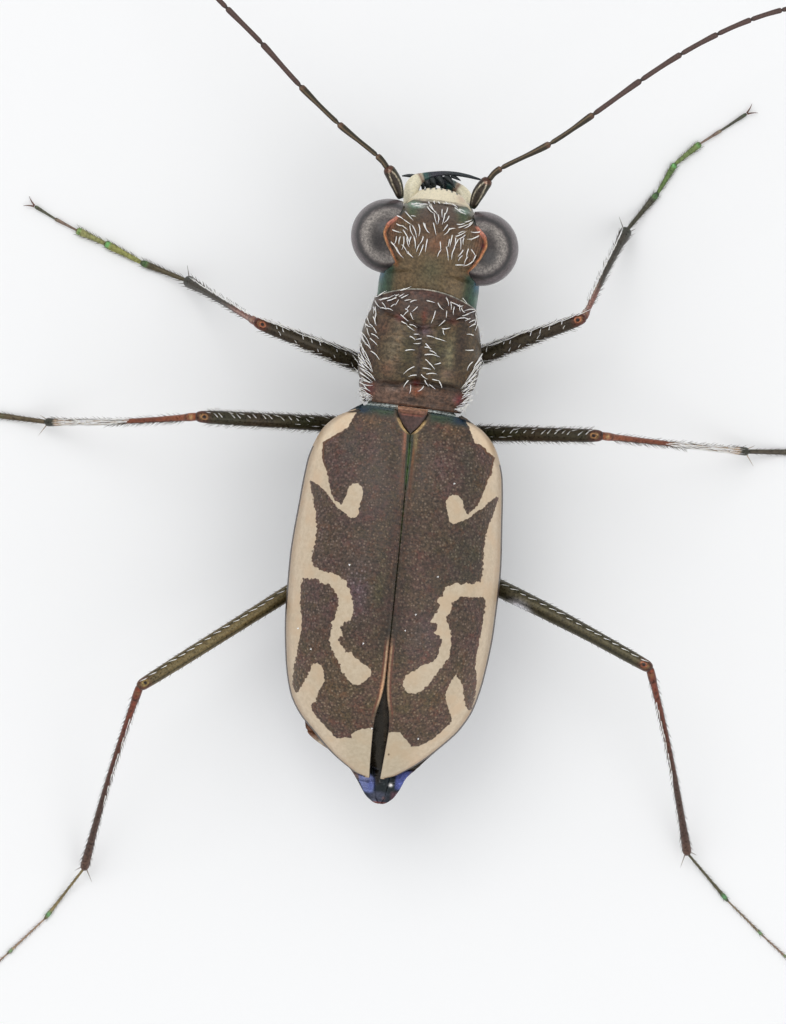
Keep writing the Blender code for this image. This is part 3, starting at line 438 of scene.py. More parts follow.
NECK_BRISTLES = (
    (375.7, 297, 384.9, 290.9), (378.3, 294, 386.4, 289.4), (384.9, 290.9, 389, 288.9), (389, 289.4, 395.6, 281.2),
    (389, 290.4, 397.1, 287.9), (393.1, 290.4, 411.4, 285.8), (400.2, 290.4, 405.3, 287.9), (379.3, 299.6, 395.1, 294.5),
    (380.3, 300.1, 389, 297.6), (387.4, 300.6, 396.6, 296), (395.1, 295.5, 399.2, 294), (399.2, 296.5, 404.3, 293.5),
    (401.2, 298.1, 408.4, 294.5), (398.7, 299.6, 395.6, 305.2), (391, 306.7, 397.1, 303.7), (396.7, 297.6, 390, 300.6),
    (375.2, 300.6, 380.8, 307.8), (380.8, 307.8, 386.4, 309.3), (382.3, 302.7, 385.9, 308.3), (385.9, 308.3, 393.1, 310.8),
    (404.8, 300.6, 411.4, 299.6), (410.4, 302.1, 417, 300.1), (409.4, 305.7, 406.3, 309.8), (405.3, 308.8, 408.4, 310.8),
    (417.6, 306.7, 411.9, 311.8), (408.4, 310.8, 403.3, 315.9), (410.4, 312.9, 413.5, 320), (400.7, 314.4, 408.4, 321.5),
    (401.7, 321.5, 407.3, 324.6), (407.3, 325.6, 414.5, 330.7), (409.4, 324.6, 417, 327.7), (373.2, 305.7, 373.7, 313.9),
    (375.2, 306.7, 376.2, 315.9), (375.2, 307.8, 374.7, 310.8), (376.2, 312.9, 376.2, 325.6), (373.2, 316.9, 375.2, 324.1),
    (368.1, 309.8, 367, 318), (367, 316.9, 369.6, 324.1), (365, 313.9, 364, 321), (364, 320, 365, 328.2),
    (366, 324.1, 371.6, 327.1), (369.6, 324.1, 373.7, 328.2), (373.7, 327.7, 376.7, 333.3), (367, 328.2, 369.6, 336.3),
    (371.6, 333.8, 378.8, 338.9), (370.1, 338.4, 377.8, 346), (360.9, 331.2, 363.5, 339.4), (361.9, 333.3, 366.5, 343.5),
    (365, 343.5, 370.6, 349.1), (371.1, 351.1, 379.3, 359.8), (359.9, 340.4, 361.9, 350.6), (359.4, 344.5, 364.5, 352.7),
    (361.9, 349.6, 369.6, 361.8), (364.5, 350.6, 371.6, 366.9), (358.4, 354.7, 364.5, 361.8), (360.4, 357.8, 367.6, 364.9),
    (365.5, 359.8, 372.7, 372), (361.4, 363.9, 366.5, 370), (359.4, 360.8, 363.5, 368), (360.4, 368, 368.6, 372),
    (364.5, 370, 375.2, 381.2), (360.4, 373.1, 368.6, 378.2), (361.4, 377.1, 370.6, 383.3), (360.4, 381.2, 372.7, 383.3),
    (363.5, 384.3, 370.6, 391.4), (360.4, 388.4, 366.5, 392.4), (359.4, 391.4, 370.6, 396.5), (360.4, 394.5, 368.6, 397.6),
    (361.9, 397.6, 366.5, 401.6), (463, 293, 468.1, 300.6), (465, 294, 470.1, 302.7), (451.2, 292.4, 460.4, 295.5),
    (460.4, 295.5, 467.6, 303.7), (470.1, 300.6, 476.2, 304.2), (446.1, 297.6, 448.7, 305.7), (438, 302.7, 443.6, 309.8),
    (450.7, 301.6, 451.2, 309.8), (450.7, 302.1, 462.4, 307.8), (457.3, 305.7, 463.5, 305.7), (459.4, 304.7, 460.4, 311.8),
    (454.3, 306.7, 453.3, 314.9), (461.4, 307.8, 465, 312.9), (474.7, 309.3, 463, 311.8), (475.7, 310.3, 466.5, 313.9),
    (468.6, 313.9, 461.9, 315.9), (464.5, 318, 456.3, 319.5), (468.6, 319, 463.2, 316.9), (470.1, 318.5, 465, 321),
    (474.7, 320, 468.6, 323.1), (475.2, 324.1, 469.6, 327.1), (475.7, 312.9, 477.2, 319), (477.8, 323.1, 475.2, 330.7),
    (476.2, 318, 473.7, 325.1), (473.2, 335.3, 466.5, 334.3), (473.2, 350.1, 465, 350.1), (435.4, 310.8, 430.8, 323.6),
    (446.6, 310.8, 446.1, 318), (445.1, 320, 438.5, 326.1), (442, 328.7, 450.2, 327.7), (443.1, 330.2, 444.6, 335.3),
    (426.7, 300.6, 434.9, 302.7), (414, 334.3, 419.6, 334.3), (409.9, 336.3, 415.5, 340.4), (421.6, 338.4, 415.5, 339.4),
    (420.6, 343, 413.5, 343.5), (405.3, 350.6, 415, 350.1), (426.7, 335.8, 434.9, 337.9), (434.9, 337.9, 446.1, 341.4),
    (425.7, 343.5, 430.8, 349.6), (424.7, 347, 431.3, 349.1), (429.8, 350.6, 436.9, 354.7), (424.7, 354.7, 440, 357.2),
    (425.2, 359.3, 430.3, 364.9), (428.8, 362.3, 434.9, 369.5), (440.5, 362.9, 434.4, 364.4), (422.7, 368, 431.3, 369.5),
    (414.5, 366.4, 403.3, 374.1), (426.7, 374.1, 436.9, 374.1), (416.4, 375.1, 408.4, 376.6), (421.1, 374.1, 427.8, 379.2),
    (424.7, 379.7, 428.8, 386.3), (428.8, 384.3, 435.4, 389.4), (432.3, 379.2, 439.5, 380.7), (439, 381.2, 442, 388.4),
    (408.4, 380.2, 403.3, 387.3), (410.4, 384.8, 409.4, 393.5), (423.7, 386.3, 417.6, 391.4), (472.7, 361.8, 467, 371),
    (481.8, 354.7, 476.7, 362.9), (480.8, 358.8, 473.7, 369), (478.8, 364.9, 469.6, 378.2), (474.7, 368, 465, 383.3),
    (481.3, 361.8, 476.7, 371), (475.7, 374.1, 464, 388.4), (472.7, 380.2, 460.9, 388.9), (477.8, 377.1, 469.6, 383.3),
    (474.7, 383.3, 464.5, 387.3), (473.7, 385.3, 462.4, 392.4), (474.7, 387.3, 465.5, 392.4), (471.6, 391.4, 461.9, 393.5),
    (470.6, 393.5, 462.4, 396.5), (472.7, 395.5, 466.5, 397.6), (469.6, 397.6, 461.4, 403.7), (472.7, 400.6, 462.4, 404.7),
    (468.6, 404.7, 456.3, 406.7), (465.5, 407.8, 454.3, 409.8), (464.5, 410.8, 457.3, 410.8),
)


# ------------------------------------------------------------------ materials
class Finish:
    """A Principled material and short ways to add nodes to it. Patterns read the
    piece's own coordinates in millimetres."""

    def __init__(self, name, rough=0.45, metal=0.0, gloss=0.5):
        self.mat = bpy.data.materials.new(name)
        self.mat.use_nodes = True
        self.tree = self.mat.node_tree
        self.bsdf = self.tree.nodes["Principled BSDF"]
        self.set("Roughness", rough)
        self.set("Metallic", metal)
        self.set("Specular IOR Level", gloss)
        texco = self.node("ShaderNodeTexCoord")
        scale = self.node("ShaderNodeVectorMath", operation="SCALE")
        self.link(texco.outputs["Object"], scale.inputs[0])
        scale.inputs["Scale"].default_value = 1000.0
        self.mm = scale.outputs[0]

    def node(self, kind, **props):
        n = self.tree.nodes.new(kind)
        for k, v in props.items():
            setattr(n, k, v)
        return n

    def link(self, a, b):
        if isinstance(a, (int, float)):
            b.default_value = a
        elif isinstance(a, (tuple, list, np.ndarray)):
            b.default_value = tuple(float(c) for c in a) + ((1.0,) if len(a) == 3 and len(b.default_value) == 4 else ())
        else:
            self.tree.links.new(a, b)

    def set(self, socket, value):
        self.link(value, self.bsdf.inputs[socket])

    def stretch(self, sx, sy, sz):
        n = self.node("ShaderNodeVectorMath", operation="MULTIPLY")
        self.link(self.mm, n.inputs[0])
        n.inputs[1].default_value = (sx, sy, sz)
        return n.outputs[0]

    def field(self, name, colour=False):
        n = self.node("ShaderNodeAttribute", attribute_type="GEOMETRY", attribute_name=name)
        return n.outputs["Color" if colour else "Fac"]

    def noise(self, scale, detail=3.0, rough=0.55, where=None, warp=0.0):
        n = self.node("ShaderNodeTexNoise")
        self.link(self.mm if where is None else where, n.inputs["Vector"])
        n.inputs["Scale"].default_value = scale
        n.inputs["Detail"].default_value = detail
        n.inputs["Roughness"].default_value = rough
        n.inputs["Distortion"].default_value = warp
        return n.outputs["Fac"]

    def cells(self, scale, feature="F1", where=None, jitter=1.0, out="Distance"):
        n = self.node("ShaderNodeTexVoronoi", feature=feature)
        self.link(self.mm if where is None else where, n.inputs["Vector"])
        n.inputs["Scale"].default_value = scale
        n.inputs["Randomness"].default_value = jitter
        return n.outputs[out]

    def calc(self, op, a, b=0.0, c=0.0, clamp=False):
        n = self.node("ShaderNodeMath", operation=op, use_clamp=clamp)
        self.link(a, n.inputs[0])
        self.link(b, n.inputs[1])
        self.link(c, n.inputs[2])
        return n.outputs[0]

    def span(self, value, a, b, lo=0.0, hi=1.0, soft=True):
        n = self.node("ShaderNodeMapRange", interpolation_type="SMOOTHSTEP" if soft else "LINEAR")
        for key, v in zip(("Value", "From Min", "From Max", "To Min", "To Max"), (value, a, b, lo, hi)):
            self.link(v, n.inputs[key])
        return n.outputs["Result"]

    def mix(self, fac, a, b, blend="MIX"):
        n = self.node("ShaderNodeMix", data_type="RGBA", blend_type=blend)
        self.link(fac, n.inputs[0])
        self.link(a, n.inputs[6])
        self.link(b, n.inputs[7])
        return n.outputs[2]

    def relief(self, height, depth_mm, strength=1.0, under=None):
        """Bump of a height field whose range 0..1 stands for depth_mm."""
        n = self.node("ShaderNodeBump")
        n.inputs["Strength"].default_value = strength
        n.inputs["Distance"].default_value = depth_mm * MM
        self.link(height, n.inputs["Height"])
        if under is not None:
            self.link(under, n.inputs["Normal"])
        return n.outputs["Normal"]


def elytron_finish():
    """Satin grey-brown with crowded punctures; cream where the mark field is positive."""
    f = Finish("elytron_finish", 0.42, 0.0, 0.45)
    tint = f.field("tint", True)
    rag = f.calc("SUBTRACT", f.noise(15.0, 2.0, 0.5), 0.5)
    teeth = f.calc("SUBTRACT", f.cells(13.5, jitter=0.8), 0.42)
    mark = f.calc("ADD", f.field("mark"), f.calc("MULTIPLY", rag, 0.045))
    mark = f.calc("ADD", mark, f.calc("MULTIPLY", teeth, f.calc("MULTIPLY", f.field("rag"), 0.05)))
    pale = f.span(mark, -0.006, 0.009)
    fringe = f.calc("MULTIPLY", f.span(mark, -0.055, -0.012), f.field("amber"))
    # crowded granules on a darker ground, each with a painted highlight of its own brightness
    holes = f.cells(15.5, jitter=0.85)
    each = f.cells(15.5, jitter=0.85, out="Color")
    dot = f.span(holes, 0.14, 0.48, 1.0, 0.0)
    bead = f.calc("MULTIPLY", dot, f.span(each, 0.12, 0.92, 0.22, 1.0))
    grain = f.noise(17.0, 4.0, 0.70)
    mottle = f.noise(5.0, 4.0, 0.62)
    dark = f.mix(f.span(grain, 0.32, 0.68), f.mix(1.0, tint, (0.23, 0.22, 0.21), "MULTIPLY"),
                 f.mix(1.0, tint, (1.16, 1.11, 1.08), "MULTIPLY"))
    dark = f.mix(f.span(f.noise(2.3, 4.0, 0.62), 0.44, 0.60, 0.0, 0.85), dark, f.mix(1.0, dark, (1.10, 0.90, 1.20), "MULTIPLY"))
    dark = f.mix(f.span(f.noise(3.1, 4.0, 0.62, warp=0.5), 0.48, 0.64, 0.0, 0.80), dark, f.mix(1.0, dark, (0.86, 0.95, 0.72), "MULTIPLY"))
    dark = f.mix(f.span(mottle, 0.50, 0.64, 0.0, 0.75), dark, f.mix(1.0, dark, (1.20, 0.86, 0.70), "MULTIPLY"))
    dark = f.mix(f.span(f.noise(8.0, 3.0, 0.6), 0.55, 0.36, 0.0, 0.45), dark, f.mix(1.0, tint, (0.42, 0.40, 0.36), "MULTIPLY"))
    # painted highlights laid on the granules
    dark = f.mix(f.calc("MULTIPLY", bead, 0.95), dark, f.mix(1.0, tint, (2.10, 2.22, 2.46), "MULTIPLY"))
    # smooth strips beside the seam and the small shield
    plain = f.mix(f.span(grain, 0.30, 0.70), f.mix(1.0, tint, (0.78, 0.76, 0.74), "MULTIPLY"),
                  f.mix(1.0, tint, (1.30, 1.30, 1.30), "MULTIPLY"))
    dark = f.mix(f.calc("MULTIPLY", f.field("calm"), 0.80), dark, plain)
    # painted glints: small pale specks of light over the case
    spark = f.span(f.cells(9.0, jitter=1.0), 0.0, 0.09, 1.0, 0.0)
    spark = f.calc("MULTIPLY", spark, f.span(f.noise(2.0, 2.0, 0.5), 0.48, 0.60))
    dark = f.mix(f.calc("MULTIPLY", spark, 0.5), dark, (0.36, 0.33, 0.29))
    dark = f.mix(fringe, dark, (0.120, 0.050, 0.022))
    cream_tint = f.field("cream", True)
    cream = f.mix(f.span(f.noise(12.0, 4.0, 0.65), 0.32, 0.68), f.mix(1.0, cream_tint, (0.86, 0.84, 0.81), "MULTIPLY"),
                  cream_tint)
    cream = f.mix(f.span(f.noise(2.6, 3.0, 0.5), 0.42, 0.68, 0.0, 0.7), cream,
                  f.mix(1.0, cream_tint, (0.95, 0.86, 0.78), "MULTIPLY"))
    f.set("Base Color", f.mix(pale, dark, cream))
    f.set("Roughness", f.span(grain, 0.3, 0.7, 0.36, 0.50))
    fine = f.calc("ADD", f.calc("MULTIPLY", dot, f.calc("SUBTRACT", 1.0, f.calc("MULTIPLY", pale, 0.70))),
                  f.calc("MULTIPLY", grain, 0.6))
    f.set("Normal", f.relief(fine, 0.0075, 0.9))
    return f.mat


def cuticle(name, rough=0.40, metal=0.25, gloss=0.5, wrinkle=(8, 22, 8), wrinkle_mm=0.010, grain=30.0,
            grain_mm=0.004, spread=(0.68, 1.30), sparkle=0.0, pit=None, patch=0.0, trough_shade=0.45):
    """Beetle skin in the piece's own tint, with wrinkles, grain and light mottling; painted shade darkens the wrinkle
    troughs, and sparkle adds painted glints.
    """
    f = Finish(name, rough, metal, gloss)
    tint = f.field("tint", True)
    fold = f.noise(1.0, 3.0, 0.55, f.stretch(*wrinkle), 0.35)
    fine = f.noise(grain, 4.0, 0.65)
    lo, hi = spread
    colour = f.mix(f.span(fine, 0.30, 0.72), f.mix(1.0, tint, (lo, lo, lo), "MULTIPLY"),
                   f.mix(1.0, tint, (hi, hi * 0.99, hi * 0.97), "MULTIPLY"))
    # painted shade in the troughs of the wrinkles
    colour = f.mix(f.span(fold, 0.50, 0.30, 0.0, trough_shade), colour, f.mix(1.0, tint, (0.45, 0.42, 0.42), "MULTIPLY"))
    if patch:
        colour = f.mix(f.span(f.noise(9.0, 4.0, 0.65), 0.54, 0.38, 0.0, patch), colour, f.mix(1.0, tint, (0.44, 0.42, 0.40), "MULTIPLY"))
        colour = f.mix(f.span(f.noise(11.0, 4.0, 0.65, warp=0.3), 0.50, 0.66, 0.0, patch), colour, f.mix(1.0, tint, (1.85, 1.75, 1.62), "MULTIPLY"))
        colour = f.mix(f.span(f.noise(4.0, 3.0, 0.6), 0.48, 0.64, 0.0, patch), colour, f.mix(1.0, colour, (1.10, 0.93, 0.85), "MULTIPLY"))
    if sparkle:
        # painted glints: small pale specks of light
        spark = f.span(f.cells(26.0), 0.0, 0.14, 1.0, 0.0)
        colour = f.mix(f.calc("MULTIPLY", spark, sparkle), colour, (0.42, 0.38, 0.33))
    f.set("Base Color", colour)
    f.set("Roughness", f.span(fine, 0.3, 0.7, max(0.08, rough - 0.08), rough + 0.10))
    height = f.calc("ADD", f.calc("MULTIPLY", fold, wrinkle_mm), f.calc("MULTIPLY", fine, grain_mm))
    if pit:
        scale, depth = pit
        height = f.calc("SUBTRACT", height, f.calc("MULTIPLY", f.span(f.cells(scale, jitter=0.8), 0.08, 0.38, 1.0, 0.0), depth))
    f.set("Normal", f.relief(height, 1.0, 0.9))
    return f.mat


def eye_finish():
    """Glassy compound eye: ring zones of painted reflection and shade from the tint, hexagonal facets as fine relief.
    """
    f = Finish("eye_finish", 0.34, 0.0, 0.45)
    tint = f.field("tint", True)
    grain = f.noise(19.0, 4.0, 0.75)
    colour = f.mix(f.span(grain, 0.32, 0.70), f.mix(1.0, tint, (0.48, 0.47, 0.47), "MULTIPLY"),
                   f.mix(1.0, tint, (1.46, 1.44, 1.41), "MULTIPLY"))
    f.set("Base Color", colour)
    facet = f.cells(46.0, jitter=0.25)
    f.set("Normal", f.relief(f.calc("MULTIPLY", facet, -1.0), 0.004, 0.8))
    f.set("Coat Weight", 0.35)
    f.set("Coat Roughness", 0.12)
    return f.mat


def bristle_finish():
    """White bristles, a little see-through, whiter to the tip."""
    f = Finish("bristle_finish", 0.45, 0.0, 0.4)
    f.set("Base Color", f.mix(f.field("tip"), (0.90, 0.88, 0.85), (0.97, 0.965, 0.95)))
    f.set("Roughness", f.span(f.noise(60.0, 2.0), 0.3, 0.7, 0.38, 0.55))
    f.set("Subsurface Weight", 0.15)
    f.bsdf.inputs["Subsurface Radius"].default_value = (0.00004, 0.00004, 0.00003)
    return f.mat


ELYTRON = elytron_finish()
PRONOTUM = cuticle("pronotum_finish", 0.36, 0.25, 0.5, (6, 17, 6), 0.012, 17.0, 0.006, (0.50, 1.48), sparkle=0.10, patch=0.70)
CAPSULE = cuticle("head_finish", 0.36, 0.28, 0.5, (22, 5, 22), 0.009, 18.0, 0.005, (0.62, 1.34), sparkle=0.08, patch=0.30)
SHIELD = cuticle("scutellum_finish", 0.38, 0.30, 0.5, (12, 12, 12), 0.006, 20.0, 0.004, (0.6, 1.4), sparkle=0.20, patch=0.35)
BREAST = cuticle("breast_finish", 0.32, 0.55, 0.5, (9, 9, 9), 0.010, 26.0, 0.004, pit=(11.0, 0.008))
BELLY = cuticle("belly_finish", 0.24, 0.45, 0.5, (5, 12, 5), 0.003, 20.0, 0.003, (0.75, 1.2), patch=0.25)
LIMB = cuticle("limb_finish", 0.32, 0.35, 0.5, (10, 10, 10), 0.006, 20.0, 0.004, (0.62, 1.40), sparkle=0.08, patch=0.16)
FEELER = cuticle("feeler_finish", 0.48, 0.10, 0.4, (16, 16, 16), 0.004, 40.0, 0.003, (0.70, 1.30))
IVORY = cuticle("ivory_finish", 0.34, 0.0, 0.5, (9, 9, 9), 0.003, 26.0, 0.002, (0.90, 1.06), trough_shade=0.05)
EYE_SKIN = eye_finish()
BRISTLE = bristle_finish()


# ------------------------------------------------------------------ wing cases
CASE_W, CASE_CREST, CASE_RIM = (column(ELYTRA, k) for k in (1, 2, 3))
SPLIT = limited((1.55, -2.90, -3.31, -3.51, -3.71, -3.91, -4.20, -4.60, -5.20), (0.003, 0.004, 0.014, 0.030, 0.064, 0.110, 0.140, 0.128, 0.098))
SHIELD_HALF = limited((1.535, 1.60, 1.68, 1.77, 1.85, 1.95, 2.07, 2.20), (0.0, 0.075, 0.145, 0.205, 0.250, 0.285, 0.305, 0.31))


def case_gap(y):
    """Inner edge of a wing case: round the small shield, closed, then opening."""
    return np.where(y > 1.535, np.maximum(SHIELD_HALF(y) + 0.004, SPLIT(y)), SPLIT(y))


def seam_drift(x, y):
    """Sideways wander of the seam from the middle line; nothing at the outer edges."""
    return (0.030 + 0.016 * smooth(1.60, 1.15, y)) * (1 - 0.55 * smooth(-4.0, -5.2, y)) * smooth(1.7, 0.3, np.abs(x))


def case_top(x, y):
    """Height of a wing case over a plan place, x measured from the seam."""
    w, crest, rim = CASE_W(y), CASE_CREST(y), CASE_RIM(y)
    band = np.minimum(0.25, 0.35 * (crest - rim))
    x = np.clip(np.abs(x), 0, w)
    return rim + band + (crest - rim - band) * np.clip(1 - (x / w) ** 2.3, 0, None) ** 0.56


def marks(outline, side):
    """Photo outline of the dark part, as plan places on the wing case."""
    uv = np.array(outline)
    ends = {-1: ([(440, 438), (440, 384), (352, 384)], [(386, 730), (440, 730)]),
            1: ([(380, 438), (380, 392), (462, 392)], [(380, 732), (340, 732)])}[side]
    uv = np.concatenate((ends[0], uv, ends[1]))
    z = np.full(len(uv), 3.6)
    for _ in range(3):
        x, y = plan(uv[:, 0], uv[:, 1], z)
        z = case_top(x, y)
    return np.stack((x, y), 1)


def inside(poly, x, y):
    """Signed distance in mm to a closed outline, positive outside it."""
    a, b = poly, np.roll(poly, -1, 0)
    best = np.full(x.shape, 1e9)
    odd = np.zeros(x.shape, bool)
    for p, q in zip(a, b):
        d = q - p
        t = np.clip(((x - p[0]) * d[0] + (y - p[1]) * d[1]) / max(d @ d, 1e-12), 0, 1)
        best = np.minimum(best, (x - p[0] - t * d[0]) ** 2 + (y - p[1] - t * d[1]) ** 2)
        if p[1] != q[1]:
            hit = (p[1] > y) != (q[1] > y)
            odd ^= hit & (x < p[0] + (y - p[1]) / (q[1] - p[1]) * d[0])
    return np.where(odd, -1.0, 1.0) * np.sqrt(best)


def near_px(x, y):
    return bell(x, 1.28, 0.10) * bell(y, 1.42, 0.16) + bell(x, 1.55, 0.08) * bell(y, 1.10, 0.10)


def wing_case(name, side, outline):
    rows, dome_n = 430, 116
    y = np.linspace(ELYTRA[0][0], ELYTRA[-1][0], rows)
    w, crest, rim = CASE_W(y), CASE_CREST(y), CASE_RIM(y)
    band = np.minimum(0.25, 0.35 * (crest - rim))
    x0 = np.minimum(case_gap(y), 0.8 * w)
    a = np.linspace(0, 1, dome_n)
    a = (math.pi / 2) * (0.82 * a + 0.18 * a**2)
    fine = np.array((0, 0.006, 0.012, 0.018, 0.024, 0.031, 0.039, 0.048, 0.058, 0.069, 0.081, 0.094, 0.108, 0.123, 0.140))
    inner_w = np.minimum(1, (w - x0) / 0.40)[:, None]
    start = x0[:, None] + 0.158 * inner_w
    X = np.concatenate((x0[:, None] + fine * inner_w, start + (w[:, None] - start) * np.sin(a) ** 0.96), 1)
    dome_n = X.shape[1]
    Y = y[:, None] + 0 * X
    Z = case_top(X, Y)
    # the front edge bulges forward beside the small shield, a little more on the left
    reach = smooth(1.68, 1.93, Y) * (0.028 * smooth(1.12, 0.80, X) - 0.033 * side * X * smooth(1.3, 0.9, X))
    Y = Y + reach
    # shoulder bump, hollow inside it, faint long waves and crowded small pits
    Z += 0.045 * bell(X, 1.33, 0.22) * bell(Y, 1.36, 0.30) - 0.040 * bell(X, 0.92, 0.20) * bell(Y, 1.45, 0.28)
    Z -= 0.030 * bell(X, 0.20, 0.16) * smooth(1.5, 1.2, Y) * smooth(0.1, 0.9, Y)
    edge = X / w[:, None]
    flat = smooth(0.985, 0.90, edge)
    Z += 0.010 * clouds(np.stack((X * 1.2, Y * 0.8, Z), -1), 0.42, 3 + side) * flat
    mark = inside(marks(outline, side), side * X + seam_drift(X, Y), Y)
    hollow = pits(X * (1 + 0.12 * edge**4), Y, 0.075, 0.026, 11 + side)
    Z -= 0.0060 * hollow * flat * (1 - 0.75 * smooth(-0.01, 0.02, mark))
    # seam edge rounded down, with a low ridge beside it
    seam_d = X - x0[:, None]
    Z -= (0.014 + 0.016 * smooth(-3.2, -3.6, Y)) * np.exp(-seam_d / 0.011)
    Z += 0.010 * bell(seam_d, 0.055, 0.03)
    # outer bead: the edge turns under in a narrow rounded strip
    bead_n = 9
    b = np.linspace(0, 1, bead_n + 1)[1:]
    BX = w[:, None] + 0.018 * np.sin(math.pi * b)[None, :] * np.minimum(1, band / 0.2)[:, None] - 0.02 * b[None, :] ** 3
    BZ = (rim + band)[:, None] - band[:, None] * b[None, :]
    # folded rim and hollow underside back to the seam
    under_n = 16
    under = rim + 0.62 * (crest - rim)
    floor_in = np.maximum(x0 + 0.3 * (w - x0), w - 0.30)
    t = np.linspace(0, 1, under_n)
    UX = floor_in[:, None] + (x0 - floor_in)[:, None] * t[None, :] * 0.985
    UZ = rim[:, None] + (under - rim)[:, None] * np.clip(1 - (UX / floor_in[:, None]) ** 2.2, 0, None) ** 0.6
    wall_n = 5
    s = np.linspace(0, 1, wall_n + 1)[1:]
    WX = x0[:, None] - 0.002 + 0 * s[None, :]
    WZ = UZ[:, -1:] + (Z[:, :1] - UZ[:, -1:]) * s[None, :] * 0.94
    RX = np.concatenate((X, BX, UX, WX), 1)
    RZ = np.concatenate((Z, BZ, UZ, WZ), 1)
    RY = np.repeat(y[:, None], RX.shape[1], 1)
    RY[:, :dome_n] = Y
    RY[:, -wall_n - 4:] = Y[:, :1]
    kind = np.concatenate((np.zeros(dome_n), np.ones(bead_n), np.full(under_n, 2), np.full(wall_n, 3)))
    M = np.concatenate((mark, np.repeat(mark[:, -1:], bead_n, 1), np.full((rows, under_n), -1.0),
                        np.full((rows, wall_n), -1.0)), 1)
    rings = np.stack((RX, RY, RZ), -1)
    # rounded lips at the front and at the tip
    def lip(ring, deep, count, sign):
        mid = ring.mean(0)
        out = []
        for k in range(1, count + 1):
            q = k / count * math.pi / 2
            shrunk = mid + (ring - mid) * (1 - 0.20 * (1 - math.cos(q)))
            shrunk[:, 1] = ring[:, 1] + sign * deep * math.sin(q)
            out.append(shrunk)
        return out
    front = lip(rings[0], 0.045, 5, 1)[::-1]
    back = lip(rings[-1], 0.020, 4, -1)
    rings = np.concatenate((np.array(front), rings, np.array(back)))
    M = np.concatenate((np.repeat(M[:1], 5, 0), M, np.repeat(M[-1:], 4, 0)))
    P, quads, tris = capped(rings)
    cols = rings.shape[1]
    kinds = np.concatenate((np.tile(kind, rings.shape[0]), (3, 3)))
    M = np.concatenate((M.ravel(), (-1, -1)))
    px, py = P[:, 0], P[:, 1]
    flat_y = np.concatenate((np.repeat(np.concatenate((np.full(5, y[0]), y, np.full(4, y[-1]))), cols), (y[0], y[-1])))
    gap = px - np.minimum(case_gap(flat_y), 0.8 * CASE_W(flat_y))
    C = coat(len(P), (85, 67, 52) if side < 0 else (87, 69, 53))
    top = kinds < 2
    # duller and greyer outside, warmer and browner towards the seam
    paint(C, (96, 79, 68), smooth(0.4, 1.5, px) * smooth(1.9, 0.6, py) * (0.6 if side < 0 else 0.3))
    paint(C, (82, 71, 53), bell(px, 0.35, 0.5) * 0.40)
    if side < 0:
        paint(C, (94, 78, 72), bell(px, 0.62, 0.30) * bell(py, 0.65, 0.75) * 0.55)
        paint(C, (98, 84, 84), bell(px, 0.72, 0.24) * bell(py, -1.55, 0.60) * 0.75)
        paint(C, (78, 72, 46), bell(px, 0.30, 0.12) * bell(py, -1.5, 0.8) * 0.55)
    else:
        paint(C, (102, 80, 66), bell(px, 0.32, 0.16) * bell(py, -1.4, 0.9) * 0.6)
        paint(C, (96, 82, 78), bell(px, 0.62, 0.26) * bell(py, -2.35, 0.50) * 0.6)
        paint(C, (100, 84, 74), bell(px, 0.60, 0.30) * bell(py, 0.85, 0.60) * 0.6)
    paint(C, (54, 45, 35), bell(px, 0.06, 0.15) * smooth(0.4, -0.3, py) * smooth(-3.4, -2.6, py) * 0.75)
    if side > 0:
        paint(C, (70, 65, 48), bell(px, 1.35, 0.45) * bell(py, -0.75, 0.80) * 0.8)
        paint(C, (72, 66, 48), bell(px, 1.25, 0.22) * bell(py, 0.7, 0.6) * 0.5)
    paint(C, (106, 88, 64), smooth(-2.2, -3.4, py) * 0.6)
    paint(C, (88, 66, 52), smooth(-3.6, -4.5, py) * 0.6)
    # humeral shadow
    paint(C, (70, 66, 56), bell(px, 1.18, 0.20) * bell(py, 1.15, 0.35) * 0.55)
    paint(C, (104, 80, 70), bell(px, 1.42, 0.14) * bell(py, 1.35, 0.32) * 0.6)
    paint(C, (112, 84, 58), bell(px, 0.80, 0.22) * bell(py, 1.72, 0.13) * 0.7)
    # blue-green front lip
    lipw = smooth(1.76, 1.93, py - 0.033 * -side * px + 0.03 * clouds(P, 0.10, 77)) * smooth(0.30, 0.40, px) * top
    paint(C, (44, 62, 46), lipw * smooth(1.20, 1.05, px))
    paint(C, (18, 42, 62), lipw * bell(px, 0.96, 0.16) * 1.1)
    paint(C, (34, 54, 58), lipw * smooth(1.93, 2.0, py) * smooth(1.1, 0.9, px))
    paint(C, (78, 96, 62), lipw * bell(py, 1.93, 0.014) * bell(px, 0.52, 0.14) * 0.5)
    # gold edge beside the small shield
    paint(C, (50, 54, 48), top * smooth(0.05, 0.015, gap) * smooth(1.80, 1.88, py))
    gold = top * smooth(0.082, 0.040, gap) * smooth(1.50, 1.57, py) * smooth(1.86, 1.78, py)
    paint(C, (186, 156, 108), gold * 0.95)
